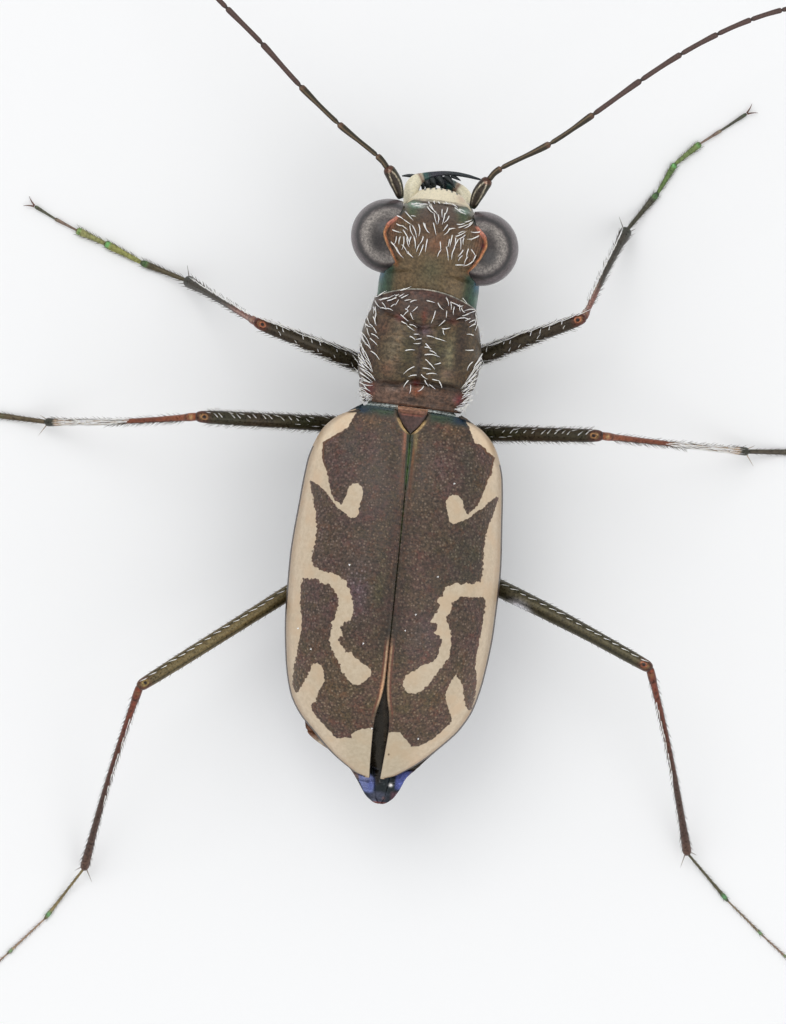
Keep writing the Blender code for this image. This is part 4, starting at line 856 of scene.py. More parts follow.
    # seam: dark green band with a lit middle and coppery flanks in front, plain further back
    near = top * smooth(1.60, 1.52, py)
    if side < 0:
        paint(C, (142, 92, 68), near * bell(gap, 0.100, 0.030) * smooth(1.00, 1.25, py) * 0.95)
        paint(C, (96, 66, 50), top * bell(gap, 0.085, 0.038) * smooth(1.3, 1.0, py) * smooth(0.1, 0.6, py) * 0.9)
    else:
        paint(C, (122, 106, 70), near * bell(gap, 0.115, 0.045) * smooth(1.12, 1.35, py) * 0.95)
        paint(C, (120, 82, 52), top * bell(gap, 0.078, 0.026) * smooth(1.38, 1.2, py) * smooth(0.72, 0.95, py) * 0.9)
        paint(C, (94, 64, 46), top * bell(gap, 0.078, 0.035) * smooth(1.0, 0.85, py) * smooth(0.1, 0.6, py) * 0.85)
    paint(C, (92, 64, 46), top * bell(gap, 0.10, 0.07) * smooth(0.6, 0.2, py) * smooth(-2.6, -0.8, py) * 0.45)
    band = 0.028 + 0.027 * smooth(0.4, 1.2, py)
    paint(C, (40, 47, 30), near * smooth(1.25, 0.95, gap / band) * smooth(0.30, 0.55, py) * 0.95)
    lit = near * smooth(0.50, 0.68, py) * smooth(1.42, 1.28, py)
    paint(C, (78, 108, 52), lit * smooth(0.026, 0.009, gap) * (0.55 + 0.45 * clouds(P, 0.10, 19)))
    paint(C, (44, 48, 30), top * smooth(0.015, 0.005, gap) * smooth(0.55, 0.3, py) * 0.75)
    paint(C, (70, 92, 44), top * smooth(0.012, 0.004, gap) * bell(py, -0.2, 0.35) * 0.5)
    rear = top * smooth(-2.30, -2.75, py) * smooth(-4.15, -3.85, py)
    paint(C, (104, 55, 40), rear * bell(gap, 0.076, 0.021) * 0.9)
    paint(C, (192, 158, 124), rear * bell(gap, 0.038, 0.018) * smooth(-3.95, -3.6, py) * (1.0 if side < 0 else 0.7))
    if side < 0:
        paint(C, (212, 164, 122), rear * bell(gap, 0.044, 0.022) * bell(py, -3.42, 0.16))
    paint(C, (118, 66, 44), rear * bell(gap, 0.016, 0.011) * smooth(-3.3, -3.0, py) * 0.7)
    inner = top * smooth(0.018, 0.008, gap) * smooth(-3.35, -3.75, py)
    paint(C, (44, 38, 32), inner)
    M = np.where(inner > 0.5, -1.0, M)
    # thin dark line along the outer edge, behind the shoulder
    far = (CASE_W(py) - px)
    line = ((kinds == 1) | (far < 0.016 + 0.016 * smooth(-3.6, -4.6, py))) & (kinds < 2)
    dark_edge = line * smooth(1.30, 0.95, py)
    M = np.where(dark_edge > 0.5, -1.0, M)
    paint(C, (62, 50, 42), dark_edge)
    paint(C, (96, 84, 72), (kinds == 1) * smooth(-3.2, -4.2, py) * 0.6)
    paint(C, (104, 88, 72), kinds == 2)
    paint(C, (44, 36, 30), kinds == 3)
    paint(C, (44, 58, 28), (kinds == 3) * smooth(-1.5, 0.4, py))
    K = coat(len(P), (203, 186, 161))
    paint(K, (188, 170, 144), smooth(0.60, 0.15, far) * bell(py, -1.2, 1.3) * 0.6)
    paint(K, (238, 219, 190), smooth(0.6, 1.5, py))
    paint(K, (220, 200, 174), smooth(0.55, 0.30, far) * 0.5)
    paint(K, (198, 183, 158), smooth(-3.6, -4.6, py) * smooth(0.9, 0.4, px))
    paint(K, (168, 144, 116), smooth(0.14, 0.03, far) * 0.7)
    if side > 0:
        paint(K, (84, 66, 46), smooth(0.024, 0.012, np.hypot(px - 0.215, py + 4.72)))
    paint(K, (188, 150, 120), near_px(px, py) * 0.45)
    amber = smooth(0.4, 1.2, py) * smooth(1.2, 1.5, px) * 0.9 + 0.25 * smooth(1.2, 1.6, px) + 0.30 * bell(py, -1.4, 0.9) * bell(px, 1.0, 0.3)
    calm = np.clip(near * smooth(0.17, 0.11, gap) * smooth(0.2, 0.7, py) + rear * smooth(0.115, 0.085, gap)
                   + top * smooth(0.12, 0.07, gap) * smooth(1.50, 1.56, py) + lipw, 0, 1)
    rag = 0.45 + 0.55 * smooth(0.7, -0.4, py) * smooth(-3.95, -3.2, py)
    P = P * (side, 1, 1)
    P[:, 0] += seam_drift(px, py)
    if side < 0:
        P[:, 0] += 0.030 * bell(py, -4.36, 0.30) * smooth(0.5, 1.0, px / np.maximum(CASE_W(py), 0.1))
    return piece(name, P, quads, tris, ELYTRON, (name,),
                 dict(tint=C, cream=K, mark=M, amber=amber, rag=rag, calm=calm))


wing_case("elytron_left", -1, DARK_LEFT)
wing_case("elytron_right", 1, DARK_RIGHT)


# ------------------------------------------------------------------ fore body tools
def spot(u, v, z=3.7):
    """Place on the fore body, before its turn, of a photo pixel."""
    return unturned(*plan(u, v, z))


def trail(pixels, z=3.7):
    return np.array([spot(u, v, z) for u, v in pixels])


def off(line, x, y):
    """Distance in mm from plan places to an open line."""
    best = np.full(np.shape(x), 1e9)
    for p, q in zip(line, line[1:]):
        d = q - p
        t = np.clip(((x - p[0]) * d[0] + (y - p[1]) * d[1]) / max(d @ d, 1e-12), 0, 1)
        best = np.minimum(best, (x - p[0] - t * d[0]) ** 2 + (y - p[1] - t * d[1]) ** 2)
    return np.sqrt(best)


def near(spot_xy, x, y, wide, tall=None):
    """Soft round patch about a place."""
    return np.exp(-((x - spot_xy[0]) / wide) ** 2 - ((y - spot_xy[1]) / (tall or wide)) ** 2)


# ------------------------------------------------------------------ pronotum
NECK = {k: column(PROTHORAX[::-1], k) for k in (1, 2, 3)}
FRONT_FURROW = trail([(362, 303), (375, 306), (397, 314), (406, 320), (420, 327), (433, 325), (445, 320), (460, 318), (477, 313), (488, 312)])
REAR_FURROW = trail([(352, 379), (372.6, 380.2), (381, 383.3), (397, 385.3), (415.5, 381), (442, 387.3), (460.4, 390.4), (480, 394)])
MID_LINE = trail([(420.5, 327), (420, 350), (418, 378)])


def pronotum():
    rows, cols = 210, 300
    y = np.concatenate((np.linspace(2.08, 2.09, 4)[:-1], np.linspace(2.09, 4.115, rows - 7), np.linspace(4.115, 4.13, 5)[1:]))
    rows = len(y)
    half, top, low = (NECK[k](y)[:, None] for k in (1, 2, 3))
    a = 2 * math.pi * np.arange(cols) / cols
    c, s = np.cos(a)[None], np.sin(a)[None]
    mid = low + 0.52 * (top - low)
    X = half * np.sign(c) * np.abs(c) ** 0.88
    Z = mid + np.where(s > 0, top - mid, mid - low) * np.sign(s) * np.abs(s) ** 0.88
    t = np.clip((y - 3.2) / (4.13 - 3.2), 0, None)[:, None]
    Y = y[:, None] + COLLAR_ARC * t * np.clip(1 - (X / half) ** 2, 0, None)
    up = smooth(-0.05, 0.35, s) + 0 * X
    side = 1 - up
    lift = 0 * X
    lift += 0.055 * near(spot(393, 347), X, Y, 0.36, 0.62) + 0.055 * near(spot(448, 350), X, Y, 0.36, 0.62)
    lift -= 0.060 * bell(off(FRONT_FURROW, X, Y), 0, 0.065)
    lift -= 0.075 * bell(off(REAR_FURROW, X, Y), 0, 0.070)
    lift -= 0.028 * bell(off(MID_LINE, X, Y), 0, 0.030)
    lift -= 0.075 * near(spot(416, 384), X, Y, 0.10) + 0.030 * near(spot(413, 397), X, Y, 0.16, 0.07)
    lift -= 0.035 * near(spot(422, 321), X, Y, 0.07, 0.12)
    lift += 0.020 * bell(Y - (4.13 + COLLAR_ARC * np.clip(1 - (X / half) ** 2, 0, None)), -0.025, 0.022)
    lift += 0.018 * bell(Y, 2.115, 0.03)
    Q = np.stack((X * 0.45, Y * 1.9, Z * 0.45), -1)
    lift += 0.0065 * clouds(Q, 0.085, 5) + 0.0045 * clouds(Q, 0.045, 6) + 0.008 * clouds(np.stack((X, Y, Z), -1), 0.3, 7)
    Z = Z + lift * up
    # ends of the two furrows run down the flanks; side seam under the rounded edge
    press = 0.022 * bell(y, 3.86, 0.06)[:, None] + 0.026 * bell(y, 2.50, 0.06)[:, None]
    rough = 0.006 * clouds(np.stack((X * 1.5, Y, Z * 1.5), -1), 0.06, 8)
    X = X * (1 - (press + 0.5 * rough) * side * (np.abs(c) > 0.2))
    X = X + 0.052 * bell(Y, 3.05, 0.62) * smooth(0.45, 1.0, X / half) - 0.018 * bell(Y, 3.6, 0.35) * smooth(0.5, 1.0, -X / half)
    seam_z = mid + 0.02
    X = X * (1 - 0.018 * bell(Z, seam_z - 0.10, 0.03) * (s < 0.1))
    Z = np.where(s < -0.2, Z + rough + 0.02 * bell(np.abs(X), 0.30, 0.04), Z)
    P, quads, tris = capped(turned(np.stack((X, Y, Z), -1)))
    x, yy = X.ravel(), Y.ravel()
    n = len(x)
    C = coat(n, (80, 66, 46))
    dorsal = up.ravel()
    # front collar, dark and reddish brown
    paint(C, (70, 52, 44), smooth(3.72, 3.95, yy) * 0.85)
    paint(C, (84, 56, 50), near(spot(430, 294), x, yy, 0.5, 0.10) * 0.7)
    # the two lobes: olive towards the middle, a pale brown strip of painted highlight further out on each raised lobe
    paint(C, (66, 60, 38), near(spot(407.5, 352), x, yy, 0.17, 0.50))
    paint(C, (68, 63, 42), near(spot(438, 352), x, yy, 0.13, 0.48))
    paint(C, (106, 94, 74), near(spot(392.5, 348), x, yy, 0.17, 0.46) * 0.95)
    paint(C, (112, 106, 80), near(spot(450, 355), x, yy, 0.105, 0.40) * 0.95)
    paint(C, (104, 78, 64), near(spot(388, 368), x, yy, 0.16, 0.16) * 0.6)
    paint(C, (112, 84, 72), near(spot(448, 374), x, yy, 0.13, 0.10) * 0.6)
    paint(C, (88, 62, 50), near(spot(384, 326), x, yy, 0.16, 0.22) * 0.7)
    paint(C, (62, 48, 38), near(spot(461, 345), x, yy, 0.13, 0.50) * 0.95)
    paint(C, (70, 50, 42), near(spot(372, 350), x, yy, 0.12, 0.55) * 0.8)
    # hind band, lighter on the left and darker on the right, with a small painted highlight
    paint(C, (106, 82, 70), smooth(2.56, 2.46, yy) * smooth(0.30, 0.0, x) * 0.9)
    paint(C, (90, 68, 56), smooth(2.56, 2.46, yy) * smooth(0.0, 0.30, x) * 0.9)
    paint(C, (132, 110, 98), near(spot(389, 389), x, yy, 0.16, 0.05) * 0.5)
    # painted shade along the two furrows
    paint(C, (50, 38, 30), bell(off(REAR_FURROW, x, yy), 0, 0.055) * 0.85)
    paint(C, (56, 40, 33), bell(off(FRONT_FURROW, x, yy), 0, 0.055) * 0.75)
    paint(C, (116, 72, 70), near(spot(400, 318), x, yy, 0.10, 0.07) * 0.8)
    paint(C, (106, 66, 62), near(spot(453, 322), x, yy, 0.09, 0.05) * 0.6)
    paint(C, (96, 76, 86), near(spot(424, 331), x, yy, 0.14, 0.09) * 0.8)
    # painted shade along the middle line
    paint(C, (50, 40, 36), bell(off(MID_LINE, x, yy), 0, 0.050) * 0.8)
    paint(C, (96, 44, 28), near(spot(424.5, 317), x, yy, 0.050, 0.13) * 0.95)
    paint(C, (128, 74, 46), near(spot(417, 391.5), x, yy, 0.12, 0.070) * 0.9)
    paint(C, (88, 22, 18), near(spot(416, 383.5), x, yy, 0.075, 0.055) * 1.1)
    paint(C, (44, 30, 20), near(spot(412.5, 399.5), x, yy, 0.16, 0.060))
    paint(C, (44, 34, 27), near(spot(449, 385.5), x, yy, 0.24, 0.055) * 0.75)
    paint(C, (56, 42, 34), near(spot(386, 382.6), x, yy, 0.20, 0.045) * 0.6)
    paint(C, (104, 44, 44), near(spot(370, 389), x, yy, 0.10, 0.11) * 0.85)
    paint(C, (110, 34, 42), near(spot(459.5, 400), x, yy, 0.09, 0.11) * 0.9)
    paint(C, (150, 110, 108), near(spot(455, 399.5), x, yy, 0.035) * 0.8)
    rim = 4.13 + COLLAR_ARC * np.clip(1 - (x / half.repeat(cols, 1).ravel()) ** 2, 0, None) - yy
    paint(C, (182, 182, 172), smooth(0.028, 0.014, rim) * dorsal * smooth(1.02, 0.80, np.abs(x)))
    paint(C, (58, 50, 44), smooth(0.75, 0.0, dorsal) * 0.9)
    paint(C, (58, 70, 66), (1 - dorsal) * (0.35 + 0.35 * clouds(P[:n], 0.5, 9)))
    C = np.concatenate((C, coat(2, (50, 44, 40))))
    return piece("pronotum", P, quads, tris, PRONOTUM, ("prothorax",), dict(tint=C))


# ------------------------------------------------------------------ small shield
def small_shield():
    rows, cols = 90, 96
    t = np.linspace(0, 1, rows)
    y = 2.065 - 0.53 * t
    half = np.maximum(SHIELD_HALF(y) - 0.003, 0.006)
    a = 2 * math.pi * np.arange(cols) / cols
    c, s = np.cos(a)[None], np.sin(a)[None]
    X = half[:, None] * np.sign(c) * np.abs(c) ** 0.55
    top = 3.575 - 0.035 * t[:, None] - 0.06 * smooth(0.10, 0.0, t)[:, None]
    deep = 0.20
    Z = top - deep / 2 + deep / 2 * np.sign(s) * np.abs(s) ** 0.35
    Z += (0.022 * (1 - (X / half[:, None]) ** 2) - 0.025 * np.exp(-np.abs(t - 0.24) / 0.03)[:, None]) * smooth(0.2, 0.7, s)
    Y = y[:, None] + 0 * X
    Z += 0.004 * clouds(np.stack((X, Y, Z), -1), 0.05, 21) * smooth(0.2, 0.7, s)
    P, quads, tris = capped(np.stack((X + 0.032, Y - 0.035 * X * smooth(0.5, 0.0, t)[:, None], Z), -1))
    x, yy = P[:, 0] - 0.032, P[:, 1]
    tt = (2.065 - yy) / 0.53
    C = coat(len(P), (76, 56, 52))
    paint(C, (116, 78, 62), smooth(0.30, 0.16, tt))
    paint(C, (186, 146, 120), bell(tt, 0.05, 0.045))
    paint(C, (132, 76, 60), bell(tt, 0.29, 0.035) * smooth(0.26, 0.16, np.abs(x)) * 0.7)
    paint(C, (128, 92, 72), bell(tt, 0.20, 0.04) * 0.6)
    paint(C, (68, 54, 52), smooth(0.16, 0.30, tt) * smooth(0.07, 0.01, SHIELD_HALF(yy) - np.abs(x)) * 0.8)
    paint(C, (62, 62, 58), smooth(0.75, 0.95, tt) * 0.8)
    return piece("scutellum_shield", P, quads, tris, SHIELD, ("scutellum",), dict(tint=C))


# ------------------------------------------------------------------ breast and belly
BODY_W, BODY_LOW = column(TRUNK, 1), column(TRUNK, 2)


def body_rings(y, cols, shelf=0):
    w, low = BODY_W(y), BODY_LOW(y)
    crest, rim = CASE_CREST(y), CASE_RIM(y)
    under = rim + 0.52 * (crest - rim)
    top = np.minimum(under - 0.04, TAIL_TOP + 0.9 * np.clip(y + 5.15, 0, None)) - 0.30 * np.clip(-5.3 - y, 0, None)
    side_z = np.minimum(rim - 0.04, top - 0.06)
    roof = np.minimum(w - 0.06, np.maximum(0.35 * w, CASE_W(y) - 0.36))
    n_roof = cols // 3
    n_belly = cols - n_roof
    s = np.linspace(1, -1, n_roof + 1)[:-1]
    RX = roof[:, None] * s
    RZ = side_z[:, None] + (top - side_z)[:, None] * np.clip(1 - np.abs(s) ** 2.2, 0, None) ** 0.6
    b = np.linspace(0, math.pi, n_belly)
    BX = -w[:, None] * np.cos(b)
    BZ = side_z[:, None] - (side_z - low)[:, None] * np.sin(b)
    if shelf:
        g = np.linspace(0, 1, shelf + 2)[1:-1][None]
        LX = roof[:, None] + (w - roof)[:, None] * g
        LZ = side_z[:, None] + 0 * LX
        RX = np.concatenate((LX[:, ::-1], RX, -LX), 1)
        RZ = np.concatenate((LZ, RZ, LZ), 1)
    X = np.concatenate((RX, BX), 1)
    Z = np.concatenate((RZ, BZ), 1)
    return X, np.repeat(y[:, None], X.shape[1], 1), Z, np.concatenate((np.zeros(RX.shape[1]), np.ones(n_belly)))


def breast():
    cols = 240
    y = np.concatenate((np.linspace(2.075, 1.90, 40)[:-1], np.linspace(1.90, WAIST_Y + 0.008, 180)))
    X, Y, Z, belly = body_rings(y, cols)
    belly = belly[None] + 0 * X
    # collar that closes the gap behind the pronotum
    collar = smooth(1.955, 1.975, Y)
    w = BODY_W(y)[:, None]
    CX = X / w * limited((1.90, 1.955, 2.00, 2.05, 2.09), (1.10, 1.07, 0.985, 0.94, 0.885))(Y)
    CZ = np.where(belly > 0, Z, 2.74 + 0.60 * np.clip(1 - np.abs(X / w) ** 2.6, 0, None) ** 0.55)
    CZ -= 0.020 * bell(Y, 2.005, 0.014) * (belly < 1)
    X = X + (CX - X) * collar * (0.4 + 0.6 * (belly < 1))
    Z = Z + (CZ - Z) * collar
    Y = Y - 0.035 * X * smooth(1.93, 2.0, Y)
    # plates: seams between breast pieces, raised hip cups, mid groove underneath
    def groove(line, wide, deep):
        d = off(np.array(line), Y, Z)
        return deep * bell(d, 0, wide)
    flank = smooth(0.55, 0.9, np.abs(X) / w) * belly
    dent = groove([(1.35, 2.5), (1.05, 1.4)], 0.03, 0.045) + groove([(0.62, 2.5), (0.30, 1.35)], 0.03, 0.045)
    dent += groove([(-0.35, 2.45), (-0.62, 1.4)], 0.03, 0.035) + groove([(1.2, 2.10), (-0.9, 2.16)], 0.025, 0.030)
    X = X * (1 - dent * flank)
    under = smooth(0.75, 0.35, np.abs(X) / w) * belly
    Z = Z + under * (0.05 * bell(X, 0, 0.035) + 0.03 * bell(Y, 0.86, 0.04) + 0.03 * bell(Y, -0.42 + 0.25 * np.abs(X), 0.035))
    for sx in (-1, 1):
        for hx, hy in ((0.60, 1.62), (0.62, -0.72)):
            lump = bell(np.hypot((X - sx * hx) / 1.25, Y - hy), 0.34, 0.10)
            Z = Z - 0.07 * lump * belly * (np.abs(X) < 1.4)
    Q = np.stack((X, Y, Z), -1)
    rough = clouds(Q, 0.10, 31)
    X = X * (1 + 0.006 * rough * belly)
    Z = Z + 0.006 * clouds(Q, 0.07, 32) * belly
    P, quads, tris = capped(np.stack((X, Y, Z), -1))
    n = X.size
    x, yy, zz, bl = P[:, 0], P[:, 1], P[:, 2], np.concatenate((belly.ravel(), (1, 1)))
    C = coat(len(P), (58, 66, 58))
    paint(C, (98, 66, 48), bl * (0.5 + 0.5 * clouds(P, 0.55, 33)) * smooth(1.9, 2.4, zz))
    paint(C, (46, 62, 84), bl * smooth(1.75, 1.5, zz) * (0.5 + 0.5 * clouds(P, 0.8, 34)))
    paint(C, (44, 34, 28), 1 - bl)
    front = smooth(1.955, 1.975, yy) * (zz > 2.5)
    paint(C, (36, 58, 64), front)
    strip = front * smooth(1.988, 2.003, yy + 0.035 * x + 0.03 * smooth(0.7, 1.0, np.abs(x)))
    paint(C, (226, 236, 234), strip)
    paint(C, (104, 128, 118), strip * smooth(0.72, 0.92, np.abs(x)) * 0.8)
    paint(C, (60, 56, 50), strip * (bell(np.abs(x), 0.42, 0.012) + bell(np.abs(x), 0.60, 0.010)) * 0.6)
    paint(C, (216, 212, 200), front * bell(np.abs(x - 0.03), 0.325, 0.030) * 0.9)
    parts = [(P, quads, tris, dict(tint=C))]
    # dark points at the outer ends of the collar
    for sx in (-1, 1):
        tip = np.array((1.205 if sx > 0 else -1.20, 1.885, 3.22))
        root = np.array((sx * 0.95, 1.985 - 0.035 * sx, 3.14))
        line = root + (tip - root) * np.linspace(0, 1, 12)[:, None] + np.array((0, 0, 0.03)) * np.sin(math.pi * np.linspace(0, 1, 12))[:, None]
        p, q, t3 = capped(sweep(line, 0.030 * (1 - 0.9 * np.linspace(0, 1, 12) ** 0.8), 14))
        parts.append((p, q, t3, dict(tint=coat(len(p), (32, 44, 50)))))
    P, quads, tris, F = join(parts)
    return piece("breast", P, quads, tris, BREAST, ("pterothorax",), F)


def belly():
    cols = 200
    y = np.concatenate((np.linspace(WAIST_Y - 0.008, -5.0, 200)[:-1], np.linspace(-5.0, -5.52, 50)[:-1],
                        -5.52 - 0.196 * np.sin(np.linspace(0, math.pi / 2, 30))))
    X, Y, Z, low = body_rings(y, cols, 14)
    round_end = np.sqrt(np.clip(1 - (np.clip(-5.52 - y, 0, None) / 0.200) ** 2.6, 0.0, 1))[:, None]
    end_z = 2.36
    X, Z = X * round_end, end_z + (Z - end_z) * (0.25 + 0.75 * round_end)
    low = low[None] + 0 * X
    w = BODY_W(y)[:, None]
    seams = (-1.72, -2.45, -3.15, -3.82, -4.42, -4.96)
    dent = sum(bell(Y, s - 0.10 * np.clip(1 - (X / w) ** 2, 0, None), 0.022) for s in seams)
    step = sum(0.5 * smooth(s + 0.10, s, Y) * smooth(s - 0.25, s - 0.02, Y) for s in seams)
    inward = 0.020 * dent - 0.014 * step
    X = X * (1 - inward * low)
    Z = Z + 0.9 * inward * low * (np.abs(X) < 0.97 * w)
    # pleats of the upper side, seen through the gap between the wing cases
    Z = Z - 0.02 * dent * (1 - low)
    # the left flank shows a little beyond the wing case near the tip
    bulge = bell(Y, -4.52, 0.34) * smooth(0.75, 0.98, -X / w)
    X = X - 0.315 * bulge - 0.050 * bell(Y, -5.12, 0.20) * smooth(0.6, 0.98, -X / w)
    Z = Z + 0.02 * bulge
    # blunt end with an upper plate and a lower one
    tip = smooth(-5.30, -5.66, Y)
    Z = Z - 0.05 * tip * bell(np.abs(X), 0.0, 0.10) * (1 - low) + 0.02 * tip * low
    Z = Z + 0.035 * bell(Y, -5.34, 0.05) * (1 - low) * 0.5
    Q = np.stack((X, Y, Z), -1)
    Z = Z + 0.004 * clouds(Q, 0.06, 41)
    X = np.where(X > 0, X * (1 - 0.12 * smooth(-4.95, -5.25, Y)), X)
    bend = TAIL_BEND * smooth(0, 1, (-3.3 - Y) / 2.1)
    P, quads, tris = capped(np.stack((X + bend, Y, Z), -1))
    x = np.concatenate((X.ravel(), (0, 0)))
    yy, bl = P[:, 1], np.concatenate((low.ravel(), (1, 1)))
    C = coat(len(P), (46, 52, 84))
    paint(C, (44, 74, 78), bl * (0.5 + 0.5 * clouds(P, 0.9, 42)) * smooth(-5.0, -4.0, yy) * 0.8)
    paint(C, (64, 52, 84), bl * (0.5 + 0.5 * clouds(P, 0.7, 43)) * 0.6)
    paint(C, (50, 44, 34), (1 - bl) * smooth(-5.20, -5.05, yy))
    paint(C, (88, 74, 56), (1 - bl) * smooth(-5.10, -4.9, yy) * bell(x, 0.055, 0.022) * (0.5 + 0.5 * clouds(P, 0.12, 44)))
    # last ring: blue plates on a dark teal ground, a thin reddish rim
    share = np.abs(x) / np.maximum(BODY_W(yy), 0.05)
    flank_w = smooth(0.80, 0.93, share) * smooth(-5.12, -5.0, yy)
    paint(C, (74, 54, 44), flank_w * bl)
    tail = smooth(-4.98, -5.08, yy)
    paint(C, (26, 35, 40), tail)
    paint(C, (42, 36, 30), tail * bell(x, -0.10, 0.07) * smooth(-5.40, -5.25, yy))
    paint(C, (80, 84, 104), tail * smooth(-5.44, -5.52, yy) * bell(x, -0.06, 0.17) * 0.8)
    side_l = smooth(0.99, 0.95, share)
    back = smooth(-5.13, -5.18, yy + 0.06 * smooth(-0.24, -0.16, x))
    paint(C, (114, 126, 178), tail * back * smooth(-0.13, -0.19, x) * smooth(-5.54, -5.48, yy) * side_l)
    paint(C, (148, 154, 196), tail * back * near((-0.30, -5.20), x, yy, 0.07, 0.10) * side_l)
    paint(C, (96, 110, 176), tail * back * near((-0.22, -5.36), x, yy, 0.06, 0.12) * side_l)
    paint(C, (150, 126, 120), tail * smooth(0.86, 0.95, share) * (x < 0) * smooth(-5.30, -5.20, yy) * 0.8)
    paint(C, (76, 86, 150), tail * smooth(0.24, 0.29, x) * smooth(-5.44, -5.36, yy) * smooth(0.97, 0.90, share))
    paint(C, (104, 88, 96), tail * (x > 0) * smooth(0.90, 0.97, share) * 0.8)
    paint(C, (96, 64, 76), tail * smooth(0.16, 0.24, x) * smooth(-5.42, -5.50, yy) * 0.8)
    paint(C, (136, 108, 110), near((0.06, -5.60), x, yy, 0.03) * 0.8)
    # painted highlight: a white spot on the last ring
    paint(C, (236, 238, 240), 1.6 * near((0.346 - TAIL_BEND, -5.331), x, yy, 0.030))
    paint(C, (150, 92, 80), smooth(-5.665, -5.705, yy) * 0.9)
    strip = bell(yy, -4.30, 0.60) * smooth(0.90, 1.00, -x / np.maximum(BODY_W(yy), 1e-6))
    paint(C, (84, 60, 50), strip * 1.6)
    amber = smooth(0.97, 1.08, -x / np.maximum(BODY_W(yy), 1e-6))
    paint(C, (128, 84, 58), bell(yy, -4.46, 0.12) * amber * 0.8)
    paint(C, (216, 200, 178), bell(yy, -4.66, 0.09) * amber)
    paint(C, (118, 80, 58), bell(yy, -4.86, 0.14) * amber)
    return piece("abdomen_skin", P, quads, tris, BELLY, ("abdomen",), dict(tint=C))


NECK_SHIELD = pronotum()
small_shield()
BREAST_SKIN = breast()
BELLY_SKIN = belly()


# ------------------------------------------------------------------ head
HEAD_TOP = limited([4.05] + [r[0] for r in HEAD] + [6.19], [3.48] + [r[2] for r in HEAD] + [2.93])
HEAD_LOW = limited([4.05] + [r[0] for r in HEAD] + [6.19], [2.20] + [r[3] for r in HEAD] + [1.97])
PLATE = limited((4.05, 4.45, 4.60, 4.70, 4.785, 4.98, 5.16, 5.37, 5.53, 5.71, 5.85, 5.97, 6.08, 6.19),
                (0.965, 0.975, 0.960, 0.870, 0.745, 0.830, 0.950, 1.035, 1.000, 0.840, 0.765, 0.705, 0.640, 0.58))
CHEEK = limited((4.05, 4.60, 5.00, 5.40, 5.70, 5.93, 6.19), (0.965, 0.975, 0.93, 0.92, 0.85, 0.74, 0.58))
SQUARE = limited((4.05, 4.50, 4.68, 4.90, 5.70, 5.90, 6.05, 6.19), (2.6, 3.0, 12.0, 70.0, 70.0, 14.0, 4.0, 3.2))


